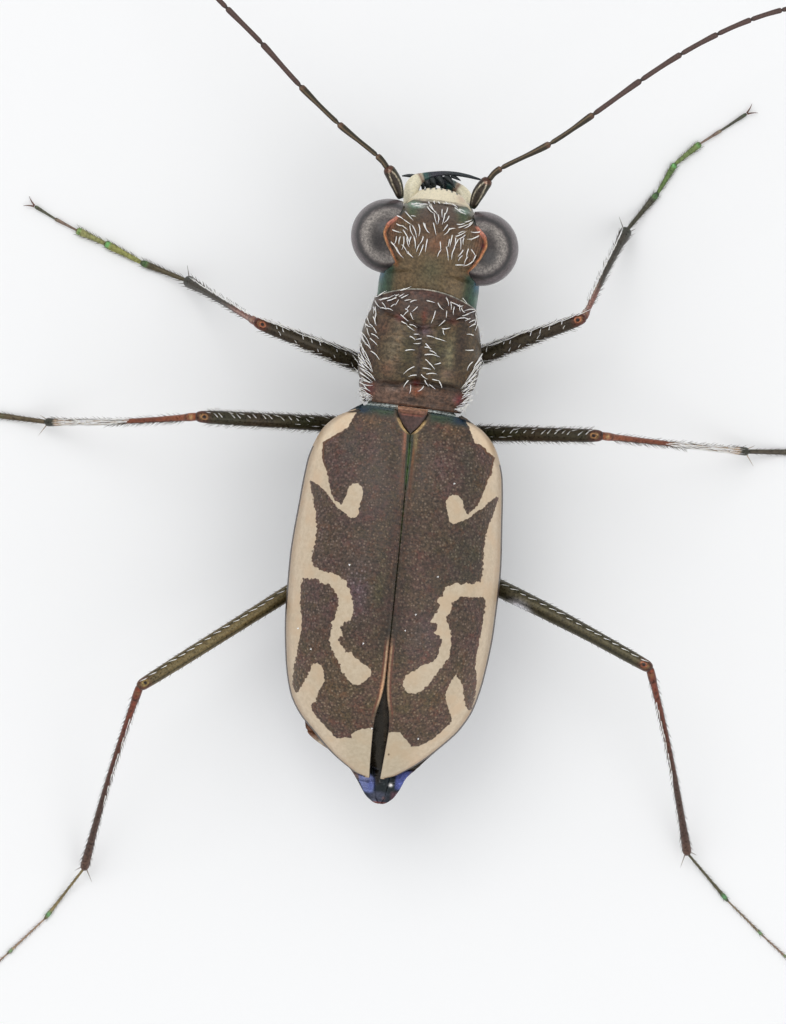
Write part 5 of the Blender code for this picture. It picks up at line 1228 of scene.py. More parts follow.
def head_capsule():
    rows, n_up, n_low = 264, 240, 130
    y = np.linspace(4.09, 6.19, rows)
    top, low, plate, cheek, sq = (f(y)[:, None] for f in (HEAD_TOP, HEAD_LOW, PLATE, CHEEK, SQUARE))
    mid = low + 0.5 * (top - low)
    q = np.linspace(1, -1, n_up + 1)[:-1][None]
    s = np.sin(q * math.pi / 2)
    XU = plate * s * (1 + smooth(0.0, 0.5, s) * (0.022 + 0.062 * bell(y, 4.94, 0.21)[:, None]))
    A = smooth(4.70, 5.02, y)[:, None] * smooth(5.98, 5.62, y)[:, None]
    crest = top + A * (0.255 * np.abs(s) ** 2.6 + 0.050 * bell(np.abs(s), 0.955, 0.045))
    # hollow of the brow between the eyes, low centre swelling, furrows
    YU = y[:, None] + 0 * XU
    crest = crest - 0.035 * A * bell(np.abs(s), 0.62, 0.22) + 0.012 * bell(XU, 0, 0.22) * smooth(5.2, 5.7, YU)
    crest = crest - 0.030 * bell(np.abs(XU), 0.36, 0.10) * smooth(5.45, 5.85, YU) * smooth(6.1, 5.95, YU)
    striae = np.sin(2 * math.pi * (np.abs(XU) - 0.10 * (YU - 5.3)) / 0.046 + 1.5 * clouds(np.stack((XU, YU, 0 * XU), -1), 0.3, 51))
    crest = crest + 0.0050 * striae * A * smooth(0.30, 0.5, np.abs(XU)) * smooth(0.99, 0.93, np.abs(s))
    Q = np.stack((XU * 1.6, YU * 0.8, 0 * XU), -1)
    crest = crest + 0.0045 * clouds(Q, 0.045, 52) + 0.008 * clouds(Q, 0.28, 53)
    # shelf where the clypeus begins, and the feeler sockets
    crest = crest - 0.030 * bell(YU, 6.075 - 0.09 * (XU / 0.64) ** 2, 0.014)
    crest = crest - 0.045 * bell(np.hypot(np.abs(XU) - 0.66, YU - 6.05), 0.0, 0.085)
    drop = np.clip(1 - np.abs(s) ** sq, 0, None) ** 0.5
    ZU = mid + (crest - mid) * drop
    b = np.linspace(0, math.pi, n_low)[None]
    c, d = np.cos(b), np.sin(b)
    XL = -cheek * np.sign(c) * np.abs(c) ** 0.88
    blend = smooth(0.0, 0.25, np.minimum(b, math.pi - b))
    XL = XL * blend + -plate * np.sign(c) * np.abs(c) ** 0.88 * (1 - blend)
    ZL = mid - (mid - low) * d ** 0.9
    ZL = ZL + 0.02 * bell(np.abs(XL), 0.26, 0.03) + 0.006 * clouds(np.stack((XL, y[:, None] + 0 * XL, ZL), -1), 0.08, 54)
    X = np.concatenate((XU, XL), 1)
    Z = np.concatenate((ZU, ZL), 1)
    fade = smooth(5.15, 4.17, y)[:, None]
    Y = y[:, None] + COLLAR_ARC * fade * np.clip(1 - (X / 1.0) ** 2, 0, None)
    P, quads, tris = capped(turned(np.stack((X, Y, Z), -1)))
    x, yy = X.ravel(), Y.ravel()
    edge = np.concatenate((np.abs(s) + 0 * XU, np.ones(XL.shape) * 1.2), 1).ravel()
    low_part = np.concatenate((0 * XU, np.ones(XL.shape)), 1).ravel()
    a = np.repeat(A, X.shape[1], 1).ravel()
    C = coat(len(x), (104, 87, 62))
    paint(C, (88, 90, 68), near((0.02, 4.75), x, yy, 0.28, 0.28) * 0.55)
    paint(C, (112, 94, 68), near((-0.45, 4.75), x, yy, 0.20, 0.25) * 0.7)
    paint(C, (112, 94, 68), near((0.48, 4.75), x, yy, 0.20, 0.25) * 0.7)
    paint(C, (92, 70, 52), smooth(5.0, 5.25, yy) * smooth(0.95, 0.4, np.abs(x)) * 0.8)
    paint(C, (100, 84, 62), smooth(4.9, 5.15, yy) * bell(np.abs(x), 0.72, 0.16) * 0.8)
    paint(C, (122, 84, 60), near((0.03, 5.25), x, yy, 0.15, 0.18) * 0.7)
    paint(C, (84, 68, 58), smooth(5.55, 5.8, yy) * smooth(0.6, 0.3, np.abs(x)) * 0.9)
    paint(C, (44, 84, 50), smooth(5.66, 5.86, yy) * bell(np.abs(x), 0.52, 0.13) * 0.7)
    # teal patches by the feeler sockets, with white spots that are partly white hair and partly painted highlight
    paint(C, (150, 190, 176), near((-0.46, 6.00), x, yy, 0.13, 0.055) * 0.9)
    paint(C, (226, 232, 226), near((-0.36, 5.99), x, yy, 0.09, 0.03) * 0.9)
    paint(C, (150, 186, 172), near((0.47, 6.00), x, yy, 0.10, 0.05) * 0.85)
    paint(C, (222, 228, 222), near((0.40, 6.01), x, yy, 0.07, 0.028) * 0.8)
    paint(C, (120, 98, 66), near((-0.74, 5.84), x, yy, 0.08, 0.10) * 0.8)
    paint(C, (120, 98, 66), near((0.74, 5.84), x, yy, 0.08, 0.10) * 0.8)
    paint(C, (70, 58, 50), smooth(6.02, 6.06, yy) * bell(x, 0, 0.4) * 0.7)
    paint(C, (186, 178, 160), smooth(6.085, 6.115, yy) * (1 - low_part))
    paint(C, (98, 66, 46), a * bell(edge, 0.80, 0.10) * smooth(0.4, 0.7, np.abs(x)) * 0.7)
    paint(C, (124, 78, 56), a * bell(edge, 0.86, 0.05) * bell(yy, 5.52, 0.14) * 0.8)
    paint(C, (96, 22, 34), a * bell(edge, 0.90, 0.040) * bell(yy, 5.36, 0.055) * (x > 0) * 1.2)
    paint(C, (54, 26, 18), a * bell(edge, 0.885, 0.022) * (0.75 + 0.25 * clouds(np.stack((x, yy, 0 * x), -1), 0.05, 55)) * smooth(5.75, 5.6, yy))
    # copper ridge beside each eye; its brighter lines are painted highlights along the crest
    wide_top = 0.045 * smooth(5.42, 5.56, yy)
    rim = smooth(0.905 - wide_top, 0.935 - wide_top, edge) * smooth(4.68, 4.76, yy) * smooth(5.76, 5.68, yy) * (1 - low_part)
    paint(C, (170, 102, 68), rim * 0.95)
    paint(C, (208, 156, 108), rim * bell(edge, 0.968, 0.016) * smooth(5.55, 5.40, yy))
    paint(C, (202, 130, 112), rim * smooth(5.46, 5.60, yy) * 0.95)
    paint(C, (226, 164, 146), rim * bell(edge, 0.93, 0.02) * smooth(5.50, 5.62, yy) * 0.6)
    paint(C, (28, 24, 24), smooth(5.69, 5.75, yy) * smooth(5.90, 5.84, yy) * smooth(0.80, 0.90, edge) * (1 - low_part) * 0.95)
    paint(C, (172, 106, 58), (near((0.765, 4.80), x, yy, 0.050, 0.050) + near((-0.68, 4.78), x, yy, 0.045, 0.055)) * 0.7)
    paint(C, (30, 46, 34), bell(np.hypot(np.abs(x) - 0.80, (yy - 4.70)), 0, 0.085) * 0.95)
    cheek_w = smooth(4.82, 4.66, yy) * smooth(0.72, 0.86, np.abs(x))
    paint(C, (50, 84, 70), cheek_w * 0.95)
    paint(C, (56, 102, 130), cheek_w * smooth(0.84, 0.94, np.abs(x)) * bell(yy, 4.62, 0.16) * 0.95)
    paint(C, (104, 132, 120), cheek_w * smooth(0.90, 0.96, np.abs(x)) * bell(yy, 4.30, 0.12) * 0.8)
    paint(C, (34, 62, 44), smooth(4.84, 4.7, yy) * bell(np.abs(x), 0.76, 0.09) * 0.8)
    paint(C, (42, 62, 48), smooth(5.76, 5.86, yy) * smooth(5.98, 5.90, yy) * smooth(0.62, 0.72, np.abs(x)) * 0.8)
    paint(C, (46, 56, 50), low_part * 0.85)
    paint(C, (60, 90, 96), low_part * smooth(5.2, 4.7, yy) * smooth(0.5, 0.8, np.abs(x)) * 0.8)
    C = np.concatenate((C, coat(2, (60, 56, 46))))
    return piece("head_capsule", P, quads, tris, CAPSULE, ("head",), dict(tint=C))


# ------------------------------------------------------------------ eyes
def compound_eye(name, side):
    rows, cols = 120, 200
    lat = np.linspace(-math.pi / 2, math.pi / 2, rows + 2)[1:-1][:, None]
    lon = (2 * math.pi * np.arange(cols) / cols)[None]
    dx, dy, dz = np.cos(lat) * np.cos(lon), np.cos(lat) * np.sin(lon), np.sin(lat) + 0 * lon
    out = EYE["out"] + (0.020 if side > 0 else 0.0)
    X = out + EYE["rx"] * dx
    Y = EYE["y"] + EYE["ry"] * dy
    Z = EYE["z"] + EYE["rz"] * dz
    over = 1 + (0.022 + 0.062 * bell(Y, 4.94, 0.21)) * (side > 0)
    wall = 0.70 + (np.maximum(PLATE(Y) * over - 0.06, 0.70) - 0.70) * smooth(3.0, 3.35, Z)
    X = np.where(X < wall, wall + 0.02 * (X - wall), X)
    P, quads, tris = capped(np.stack((X, Y, Z), -1))
    rx, ry, rz = X.ravel() - out, Y.ravel() - EYE["y"], Z.ravel() - EYE["z"]
    r = np.hypot(rx, ry) + np.where(rz < -0.15, 0.9 * (np.abs(rz) - 0.15) ** 1.5, 0)
    C = coat(len(r), (80, 69, 70))
    wave = 0.012 * clouds(np.stack((rx, ry, rz), -1), 0.09, 61)
    r = r + wave
    # painted reflection and shade in rings about the eye's top: a purple-grey outer rim, a dark ring, a pale ring, a
    # darker middle and a dark pseudopupil spot
    paint(C, (86, 75, 78), bell(r, 0.67, 0.040))
    k = r - (0.030 if side < 0 else -0.004)
    paint(C, (16, 11, 13), bell(k, 0.575, 0.048))
    paint(C, (120, 114, 110), smooth(0.535, 0.480, k))
    paint(C, (156, 149, 143), bell(k, 0.43, 0.07) * smooth(-0.2, 0.3, rx) * 0.8)
    paint(C, (76, 69, 66), smooth(0.37, 0.25, k))
    spot_x, spot_y = rx - 0.17, ry + 0.14
    paint(C, (24, 20, 20), np.exp(-(spot_x / 0.15) ** 2 - (spot_y / 0.20) ** 2) * 1.15)
    paint(C, (48, 40, 40), np.exp(-((rx - 0.12) / 0.12) ** 2 - ((ry - 0.05) / 0.32) ** 2) * 0.8)
    speck = cell((rx * 55).astype(np.int64) + 500, (ry * 55).astype(np.int64) + 500, (rz * 55).astype(np.int64) + 500, 7)
    paint(C, (60, 56, 54), (speck > 0.72) * smooth(0.52, 0.46, r) * 0.45)
    paint(C, (44, 40, 44), bell(rz, -0.62, 0.10) * 0.7)
    C = np.concatenate((C, coat(1, (70, 62, 64)), coat(1, (104, 98, 98))))
    P = turned(P * (side, 1, 1))
    return piece(name, P, quads, tris, EYE_SKIN, (name,), dict(tint=C))


# ------------------------------------------------------------------ mouth
def upper_lip():
    cols, n = 121, 44
    u = np.linspace(-1, 1, cols)[:, None]
    t = np.linspace(0, 1, n)[None]
    front = 6.378 - 0.10 * np.abs(u) ** 2.2 + 0.006 * np.cos(u * math.pi * 6.5) * (np.abs(u) < 0.85)
    back = 6.05 - 0.075 * u**2
    half = 0.655 - 0.225 * t ** 1.5
    X = u * half
    Y = back + (front - back) * t
    Z = 3.02 - 0.13 * t - 0.10 * np.abs(u) ** 3 + 0.030 * np.cos(u * math.pi / 2) * np.sin(math.pi * t)
    Z = Z - 0.020 * smooth(0.90, 1.0, t)
    m = 8
    k = np.linspace(0, 1, m + 1)[1:][None]
    FX, FY = X[:, -1:] + 0 * k, Y[:, -1:] + 0.016 * np.sin(math.pi * k)
    FZ = Z[:, -1:] - 0.085 * k
    BX, BY, BZ = X[:, ::-2], Y[:, ::-2], np.minimum(Z[:, ::-2] - 0.12, FZ[:, -1:])
    R = np.stack((np.concatenate((X, FX, BX), 1), np.concatenate((Y, FY, BY), 1), np.concatenate((Z, FZ, BZ), 1)), -1)
    P, quads, tris = capped(R)
    x, yy = P[:, 0], P[:, 1]
    C = coat(len(P), (232, 221, 194))
    lim = 6.385 - 0.10 * (np.abs(x) / 0.43) ** 2.2
    dashes = smooth(0.15, 0.65, np.cos(x * 2 * math.pi / 0.105))
    paint(C, (96, 96, 88), smooth(0.040, 0.008, lim - yy) * dashes * (np.abs(x) < 0.36))
    paint(C, (196, 180, 140), smooth(6.16, 6.08, yy) * 0.5)
    paint(C, (214, 186, 160), near((0.42, 6.24), x, yy, 0.10, 0.10) * 0.7)
    return piece("upper_lip", turned(P), quads, tris, IVORY, ("labrum",), dict(tint=C))


def jaw(name, path, radii, teeth, dark_from, node):
    """Curved jaw through photo places (u, v, height), with teeth on its inner edge."""
    K = np.array([(*plan(u, v, z), z) for u, v, z in path])
    C3, at = course(K, 14)
    R = limited(np.arange(len(radii)), radii)(at)
    P, quads, tris = capped(sweep(C3, R, 24, 0.75))
    tint = coat(len(P), (230, 222, 194))
    along_ = np.concatenate((np.repeat(at, 24), (at[0], at[-1])))
    edge = smooth(dark_from - 0.35, dark_from + 0.25, along_ + 0.25 * clouds(P, 0.12, 71))
    paint(tint, (36, 42, 46), edge)
    paint(tint, (58, 104, 98), edge * bell(along_, dark_from + 0.55, 0.40) * 0.6)
    paint(tint, (66, 58, 78), edge * bell(along_, dark_from + 1.6, 0.6) * 0.4)
    paint(tint, (112, 70, 58), bell(along_, dark_from - 0.20, 0.20) * 0.8)
    parts = [(P, quads, tris, dict(tint=tint))]
    for (u0, v0), (u1, v1), z, r in teeth:
        a = np.array((*plan(u0, v0, z), z))
        b = np.array((*plan(u1, v1, z), z - 0.04))
        bow = np.array((0.02, 0.0, 0.01))
        line = np.stack([a + (b - a) * t + bow * math.sin(math.pi * t) for t in np.linspace(0, 1, 10)])
        rr = r * (1 - np.linspace(0, 1, 10) ** 1.6 * 0.93)
        p, q, tr = capped(sweep(line, rr, 16, 0.8))
        c = coat(len(p), (34, 40, 42))
        paint(c, (70, 92, 92), smooth(0.4, 1, np.linspace(0, 1, len(p))) * 0.3)
        parts.append((p, q, tr, dict(tint=c)))
    P, quads, tris, F = join(parts)
    return piece(name, P, quads, tris, IVORY_JAW, (node,), F)


def palp_joints(name, node, knots, radii, dark):
    C3, at = course(np.array(knots), 14)
    R = limited(np.arange(len(radii)), radii)(at)
    neck = 1 - 0.35 * np.exp(-np.abs(((at + 0.5) % 1) - 0.5) / 0.05) * (at > 0.2) * (at < len(radii) - 1.2)
    P, quads, tris = capped(turned(sweep(C3, R * neck, 24)))
    tint = coat(len(P), (214, 200, 160))
    a = np.concatenate((np.repeat(at, 24), (at[0], at[-1])))
    paint(tint, (52, 58, 52), smooth(dark - 0.15, dark + 0.1, a))
    paint(tint, (176, 150, 110), smooth(0.4, 0.0, a) * 0.6)
    return piece(name, P, quads, tris, IVORY, (node,), dict(tint=tint))


# ------------------------------------------------------------------ feelers
def feeler(side):
    K = np.array(FEELERS[side])
    # first joint: a club that widens towards its end
    n = 60
    t = np.linspace(0, 1, n)
    base, end = K[0], K[1]
    across = np.array((-(end - base)[1], (end - base)[0], 0.0))
    across /= np.linalg.norm(across)
    out = -1 if side == "left" else 1
    line = base + (end - base) * t[:, None] + across * (-out * -0.035 * np.sin(math.pi * t))[:, None]
    R = limited((0, 0.06, 0.18, 0.55, 0.85, 0.95, 1.0), (0.055, 0.075, 0.095, 0.128, 0.120, 0.095, 0.045))(t)
    sides = 40
    P, quads, tris = capped(sweep(line, R, sides))
    ang = np.concatenate((np.tile(np.arange(sides) / sides, n), (0, 0)))
    tt = np.concatenate((np.repeat(t, sides), (0, 1)))
    C = coat(len(P), (50, 41, 32))
    paint(C, (48, 54, 36), bell(ang, 0.10, 0.06) * 0.7)
    paint(C, (92, 58, 44), smooth(0.84, 0.95, tt) * 0.8)
    narrow = 0.095 * np.sqrt(np.clip(1 - ((tt - 0.40) / 0.50) ** 2, 0, 1))
    line_w = bell(np.abs(ang - 0.25), narrow, 0.013) * smooth(0.10, 0.22, tt) * smooth(0.95, 0.90, tt)
    paint(C, (240, 228, 200), line_w * (0.70 + 0.30 * clouds(P, 0.05, 81)))
    paint(C, (176, 120, 100), bell(tt, 0.88, 0.03) * bell(ang, 0.25, 0.05) * 0.7)
    paint(C, (40, 56, 46), smooth(0.10, 0.0, tt) * 0.8)
    piece("antenna_%s_club" % side, P, quads, tris, LIMB, ("antenna_%s_scape" % side,), dict(tint=C))
    # the ten slender joints
    d = (end - base) / np.linalg.norm(end - base)
    knots = np.concatenate(((end - d * 0.02)[None], K[2:]))
    per = 26
    line, at = course(knots, per)
    joint = np.clip(at.astype(int), 0, len(knots) - 2)
    f = at - joint
    thick = np.array((0.066, 0.055, 0.056, 0.058, 0.058, 0.057, 0.056, 0.055, 0.054, 0.050))[joint]
    swell = np.array((0.10, 0.36, 0.34, 0.20, 0.16, 0.14, 0.13, 0.12, 0.11, 0.05))[joint]
    R = thick * (0.86 + swell * smooth(0.45, 0.93, f)) * (1 - 0.42 * bell(f, 0.0, 0.035)) * (1 - 0.25 * bell(f, 1.0, 0.03))
    R = R * np.where((joint == len(knots) - 2) & (f > 0.7), np.sqrt(np.clip(1 - ((f - 0.7) / 0.302) ** 2, 0, 1)) * 0.9 + 0.1, 1.0)
    R[0] *= 0.5
    sides = 24
    P, quads, tris = capped(sweep(line, R, sides))
    a = np.concatenate((np.repeat(at, sides), (0, at[-1])))
    ang = np.concatenate((np.tile(np.arange(sides) / sides, len(at)), (0, 0)))
    fj = a - np.floor(a)
    C = coat(len(P), (48, 39, 29))
    paint(C, (52, 48, 31), bell(ang, 0.12, 0.10) * 0.7)
    paint(C, (76, 57, 52), smooth(2.9, 3.15, a))
    paint(C, (66, 48, 44), smooth(2.9, 3.15, a) * smooth(0.25, 0.0, fj) * 0.8)
    paint(C, (98, 76, 70), smooth(2.9, 3.15, a) * bell(ang, 0.25, 0.10) * 0.5)
    paint(C, (120, 82, 64), bell(fj, 0.95, 0.03) * smooth(3.1, 2.9, a) * 0.7)
    paint(C, (46, 38, 34), bell(fj, 0.0, 0.025) + bell(fj, 1.0, 0.018))
    paint(C, (150, 128, 96), bell(ang, 0.30, 0.04) * smooth(3.1, 2.9, a) * 0.5)
    piece("antenna_%s_lash" % side, P, quads, tris, FEELER, ("antenna_%s_flagellum" % side,), dict(tint=C))


IVORY_JAW = cuticle("jaw_finish", 0.26, 0.05, 0.5, (7, 7, 7), 0.003, 26.0, 0.002, (0.90, 1.07), trough_shade=0.05)
HEAD_SKIN = head_capsule()
compound_eye("eye_left", -1)
compound_eye("eye_right", 1)
upper_lip()
jaw("jaw_left",
    ((411, 204, 2.66), (411, 195, 2.62), (412.5, 186.5, 2.60), (417, 180.2, 2.58), (424, 176.8, 2.56), (432, 174.6, 2.55),
     (443, 173.4, 2.54), (455, 173.8, 2.54), (467, 175.9, 2.54), (477, 178.6, 2.54), (485, 180.8, 2.54)),
    (0.145, 0.150, 0.145, 0.125, 0.085, 0.060, 0.048, 0.042, 0.036, 0.024, 0.008),
    (((421.5, 180), (422.5, 193), 2.52, 0.055), ((425, 178), (428, 192), 2.51, 0.085), ((431, 177), (434, 192), 2.50, 0.085), ((438, 176), (443, 190), 2.50, 0.080),
     ((445, 175.5), (455, 188), 2.49, 0.070), ((451, 175.5), (461, 181), 2.50, 0.042)), 3.75, "mandible_left")
jaw("jaw_right",
    ((463, 211, 2.30), (465.5, 201, 2.26), (462, 193, 2.22), (454, 187, 2.20), (445, 182.5, 2.19), (432, 179.2, 2.19),
     (418, 176.6, 2.19), (409, 175.6, 2.19), (402, 175.9, 2.19)),
    (0.145, 0.150, 0.135, 0.115, 0.110, 0.080, 0.045, 0.034, 0.012),
    (((453, 186), (451, 197), 2.20, 0.080), ((444, 184), (440, 195), 2.20, 0.085), ((434, 181), (428, 193), 2.20, 0.080)),
    2.9, "mandible_right")
for side_name, sign in (("left", -1), ("right", 1)):
    palp_joints("palp_outer_%s" % side_name, "palp_maxillary_%s" % side_name,
                [(sign * x, y, z) for x, y, z in ((0.50, 5.84, 1.80), (0.54, 6.04, 1.66), (0.55, 6.22, 1.54), (0.50, 6.38, 1.40))],
                (0.06, 0.085, 0.080, 0.060), 2.0)
    palp_joints("palp_inner_%s" % side_name, "palp_labial_%s" % side_name,
                [(sign * x, y, z) for x, y, z in ((0.20, 5.84, 1.82), (0.22, 6.06, 1.66), (0.25, 6.30, 1.52), (0.24, 6.50, 1.38))],
                (0.055, 0.085, 0.078, 0.055), 2.0)
    feeler(side_name)


# ------------------------------------------------------------------ legs
LIMBS = {}


def frames(C, up=(0, 0, 1)):
    """Forward, right and upper directions along a line."""
    T = np.gradient(C, axis=0)
    T /= np.linalg.norm(T, axis=1)[:, None]
    U = np.cross(T, np.asarray(up, float))
    U /= np.linalg.norm(U, axis=1)[:, None]
    return T, U, np.cross(U, T)


def bar(key, a, b, bow, profile, n, sides, tall=1.0, ridges=0, rough=0.010):
    """Limb part from a to b through a radius profile, kept for its bristles."""
    a, b = np.asarray(a, float), np.asarray(b, float)
    t = np.linspace(0, 1, n)
    C = a + (b - a) * t[:, None] + np.asarray(bow, float) * np.sin(math.pi * t)[:, None]
    R = limited(*profile)(t)
    ang = np.arange(sides) / sides
    A = ang[None] + 0 * t[:, None]
    grid = R[:, None] * (1 + 0 * A)
    if ridges:
        grid = grid * (1 - 0.045 * smooth(0.3, 0.95, np.cos(2 * math.pi * ridges * (A - 0.25 + 0.5 / ridges)))
                       * (smooth(0.05, 0.2, t) * smooth(0.97, 0.85, t))[:, None])
    rings = sweep(C, grid, sides, tall)
    grid = grid * (1 + rough * clouds(rings, 0.05, 91) + rough * clouds(rings, 0.13, 92))
    rings = sweep(C, grid, sides, tall)
    LIMBS[key] = dict(C=C, R=R, tall=tall, frame=frames(C), length=float(np.linalg.norm(b - a)))
    P, quads, tris = capped(rings)
    T = np.concatenate((np.repeat(t, sides), (0, 1)))
    S = np.concatenate((A.ravel(), (0.25, 0.25)))
    return P, quads, tris, T, S


def knob(centre, r, squash=1.0, rows=18, cols=28):
    """Small ball, for hip and ankle joints."""
    lat = np.linspace(-math.pi / 2, math.pi / 2, rows + 2)[1:-1][:, None]
    lon = (2 * math.pi * np.arange(cols) / cols)[None]
    R = np.stack((np.cos(lat) * np.cos(lon), np.cos(lat) * np.sin(lon), squash * (np.sin(lat) + 0 * lon)), -1) * r
    return capped(R + np.asarray(centre, float))


# thigh ground colours, and the colours of the painted sheen along their tops
GROUND = {"front": (47, 41, 28), "middle": (54, 50, 34), "hind": (78, 74, 50), "hind_left": (89, 77, 48), "hind_right": (64, 60, 40)}
SHEEN = {"front": (54, 50, 30), "middle": (50, 57, 34), "hind": (106, 98, 70), "hind_left": (134, 117, 76), "hind_right": (88, 82, 56)}


def leg(name):
    spec = LEGS[name]
    which, side = name.split("_")
    node = "leg_" + name
    socket, hip, knee, ankle = (np.array(spec[k], float) for k in ("socket", "hip", "knee", "ankle"))
    fat = spec["thigh"] * (1.16 if name == "hind_right" else 1.0)
    first = 0.0 if side == "left" else 0.5            # side of the limb that looks forward
    # hip joint
    d = (hip - socket) / np.linalg.norm(hip - socket)
    P, quads, tris, T, S = bar(node + "_hip", socket, hip + d * 0.04, (0, 0, 0),
                               ((0, 0.10, 0.3, 0.6, 0.85, 1.0), (0.20, 0.26, 0.30, 0.26, 0.20, 0.11)), 40, 48)
    C = coat(len(P), (62, 48, 40))
    paint(C, (44, 62, 70), 0.5 + 0.5 * clouds(P, 0.3, 93))
    piece(node + "_hip", P, quads, tris, BREAST, (node + "_coxa",), dict(tint=C))
    # thigh
    d = (knee - hip) / np.linalg.norm(knee - hip)
    bend = {"front": (0, 0, 0.07), "middle": (0, 0, 0.05), "hind": (0, 0, 0.06) if side == "left" else (0.025, 0.065, 0.06)}[which]
    L = float(np.linalg.norm(knee - hip))
    tail = 0.022 / L * 3
    prof = ((0, 0.012, 0.05, 0.10, 0.26, 0.50, 0.75, 0.90, 1 - 2 * tail, 1 - 0.6 * tail, 1.0),
            (0.085, 0.110, 0.115, fat * 0.90, fat, fat * 0.93, 0.140, 0.130, 0.116, 0.088, 0.040))
    P, quads, tris, T, S = bar(node + "_thigh", hip - d * 0.02, knee + d * 0.05, bend, prof, 170, 64, 1.04,
                               6 if which == "hind" else 5)
    base, gleam = GROUND.get(name, GROUND[which]), SHEEN.get(name, SHEEN[which])
    C = coat(len(P), base)
    top = bell(S, 0.25, 0.13)
    # painted sheen along the top of the thigh
    paint(C, gleam, top * (0.55 + 0.45 * clouds(P * (0.4, 0.4, 0.4), 0.2, 94)))
    paint(C, (66, 46, 34), (0.5 + 0.5 * clouds(P, 0.5, 95)) * (0.55 if which != "hind" else 0.25))
    if which == "hind":
        paint(C, (50, 48, 30), (bell(S, 0.36, 0.022) + bell(S, 0.14, 0.022)) * 0.8 * smooth(0.03, 0.1, T))
        # painted highlight in a thin line along the top of the hind thigh
        paint(C, (120, 112, 84), bell(S, 0.245 + 0.02 * (0.5 - first), 0.030) * (0.45 if side == "left" else 0.15))
        if side == "right":
            # painted highlight: a white spot low on the thigh
            paint(C, (222, 222, 228), bell(T, 0.418, 0.034) * bell(S, 0.11, 0.080) * 1.6)
            paint(C, (44, 40, 26), bell(S, 0.17, 0.030) * smooth(0.25, 0.45, T) * 0.8)
        paint(C, (44, 46, 26), smooth(0.16, 0.02, T) * 0.8)
    paint(C, (70, 84, 62), smooth(0.62, 0.9, S) * 0.6)
    r_end = 0.125
    along_mm, round_mm = (T - 1) * (L + 0.07) + 0.150, (S - 0.25) * 2 * math.pi * r_end
    kd = np.hypot(along_mm, round_mm * 1.1)
    paint(C, (96, 44, 32), smooth(0.36, 0.10, (1 - T) * L) * (0.85 if which == "front" else 0.6))
    paint(C, {"front": (196, 122, 84), "middle": (182, 134, 84), "hind": (184, 112, 82) if side == "right" else (160, 140, 74)}[which], bell(kd + 0.012 * clouds(P, 0.06, 96), 0.058, 0.012) * 0.9)
    paint(C, (34, 24, 20), smooth(0.046, 0.030, kd))
    paint(C, (150, 132, 84), bell(kd, 0.090, 0.013) * smooth(0.0, 0.05, along_mm) * 0.4)
    paint(C, (40, 32, 24), smooth(0.05, 0.0, (1 - T) * L) * 0.6)
    piece(node + "_thigh", P, quads, tris, LIMB, (node + "_femur",), dict(tint=C))
    # shin
    d = (ankle - knee) / np.linalg.norm(ankle - knee)
    out = np.cross(d, (0, 0, 1.0))
    out /= np.linalg.norm(out)
    waist, swell, end = {"front": (0.062, 0.080, 0.118), "middle": (0.050, 0.058, 0.085), "hind": (0.056, 0.066, 0.090)}[which]
    prof = ((0, 0.015, 0.05, 0.11, 0.45, 0.80, 0.93, 0.985, 1.0),
            (0.045, 0.078, 0.082, 0.064, waist, swell, end * 0.93, end, end * 0.70))
    bend = {"front": out * (0.005 if side == "left" else -0.015), "middle": out * (-0.04 if side == "left" else 0.01), "hind": out * (0.05 if side == "left" else -0.05)}[which]
    P, quads, tris, T, S = bar(node + "_shin", knee - d * 0.015, ankle + d * 0.02, bend, prof, 180, 48, 1.0, 4, 0.014)
    C = coat(len(P), {"front": (120, 78, 68), "middle": (118, 62, 38), "hind": (94, 48, 34)}[which])
    paint(C, {"front": (62, 58, 50), "middle": (168, 146, 124), "hind": (76, 54, 45)}[which],
          smooth(*{"front": (0.22, 0.42), "middle": (0.44, 0.50), "hind": (0.30, 0.70)}[which], T))
    if which == "hind":
        paint(C, (92, 66, 54), smooth(0.88, 0.95, T) * 0.8)
        paint(C, (132, 62, 40), smooth(0.35, 0.1, T) * bell(S, 0.25, 0.14) * 0.7)
    if which == "middle":
        paint(C, (54, 54, 44), smooth(0.925, 0.945, T))
        paint(C, (150, 84, 50), smooth(0.30, 0.05, T) * bell(S, 0.2, 0.16) * 0.6)
    if which == "front":
        paint(C, (60, 62, 54), smooth(0.90, 0.96, T) * 0.9)
        paint(C, (186, 160, 148), bell(S, 0.30, 0.05) * smooth(0.55, 0.2, T) * 0.5)
    paint(C, (196, 168, 116) if which == "middle" else (134, 110, 74), bell(T, 0.030, 0.011) * bell(S, 0.25, 0.10) * (0.7 if which == "middle" else 0.5))
    paint(C, (58, 34, 24), bell(T, 0.066, 0.010) * 0.7)
    parts = [(P, quads, tris, dict(tint=C))]
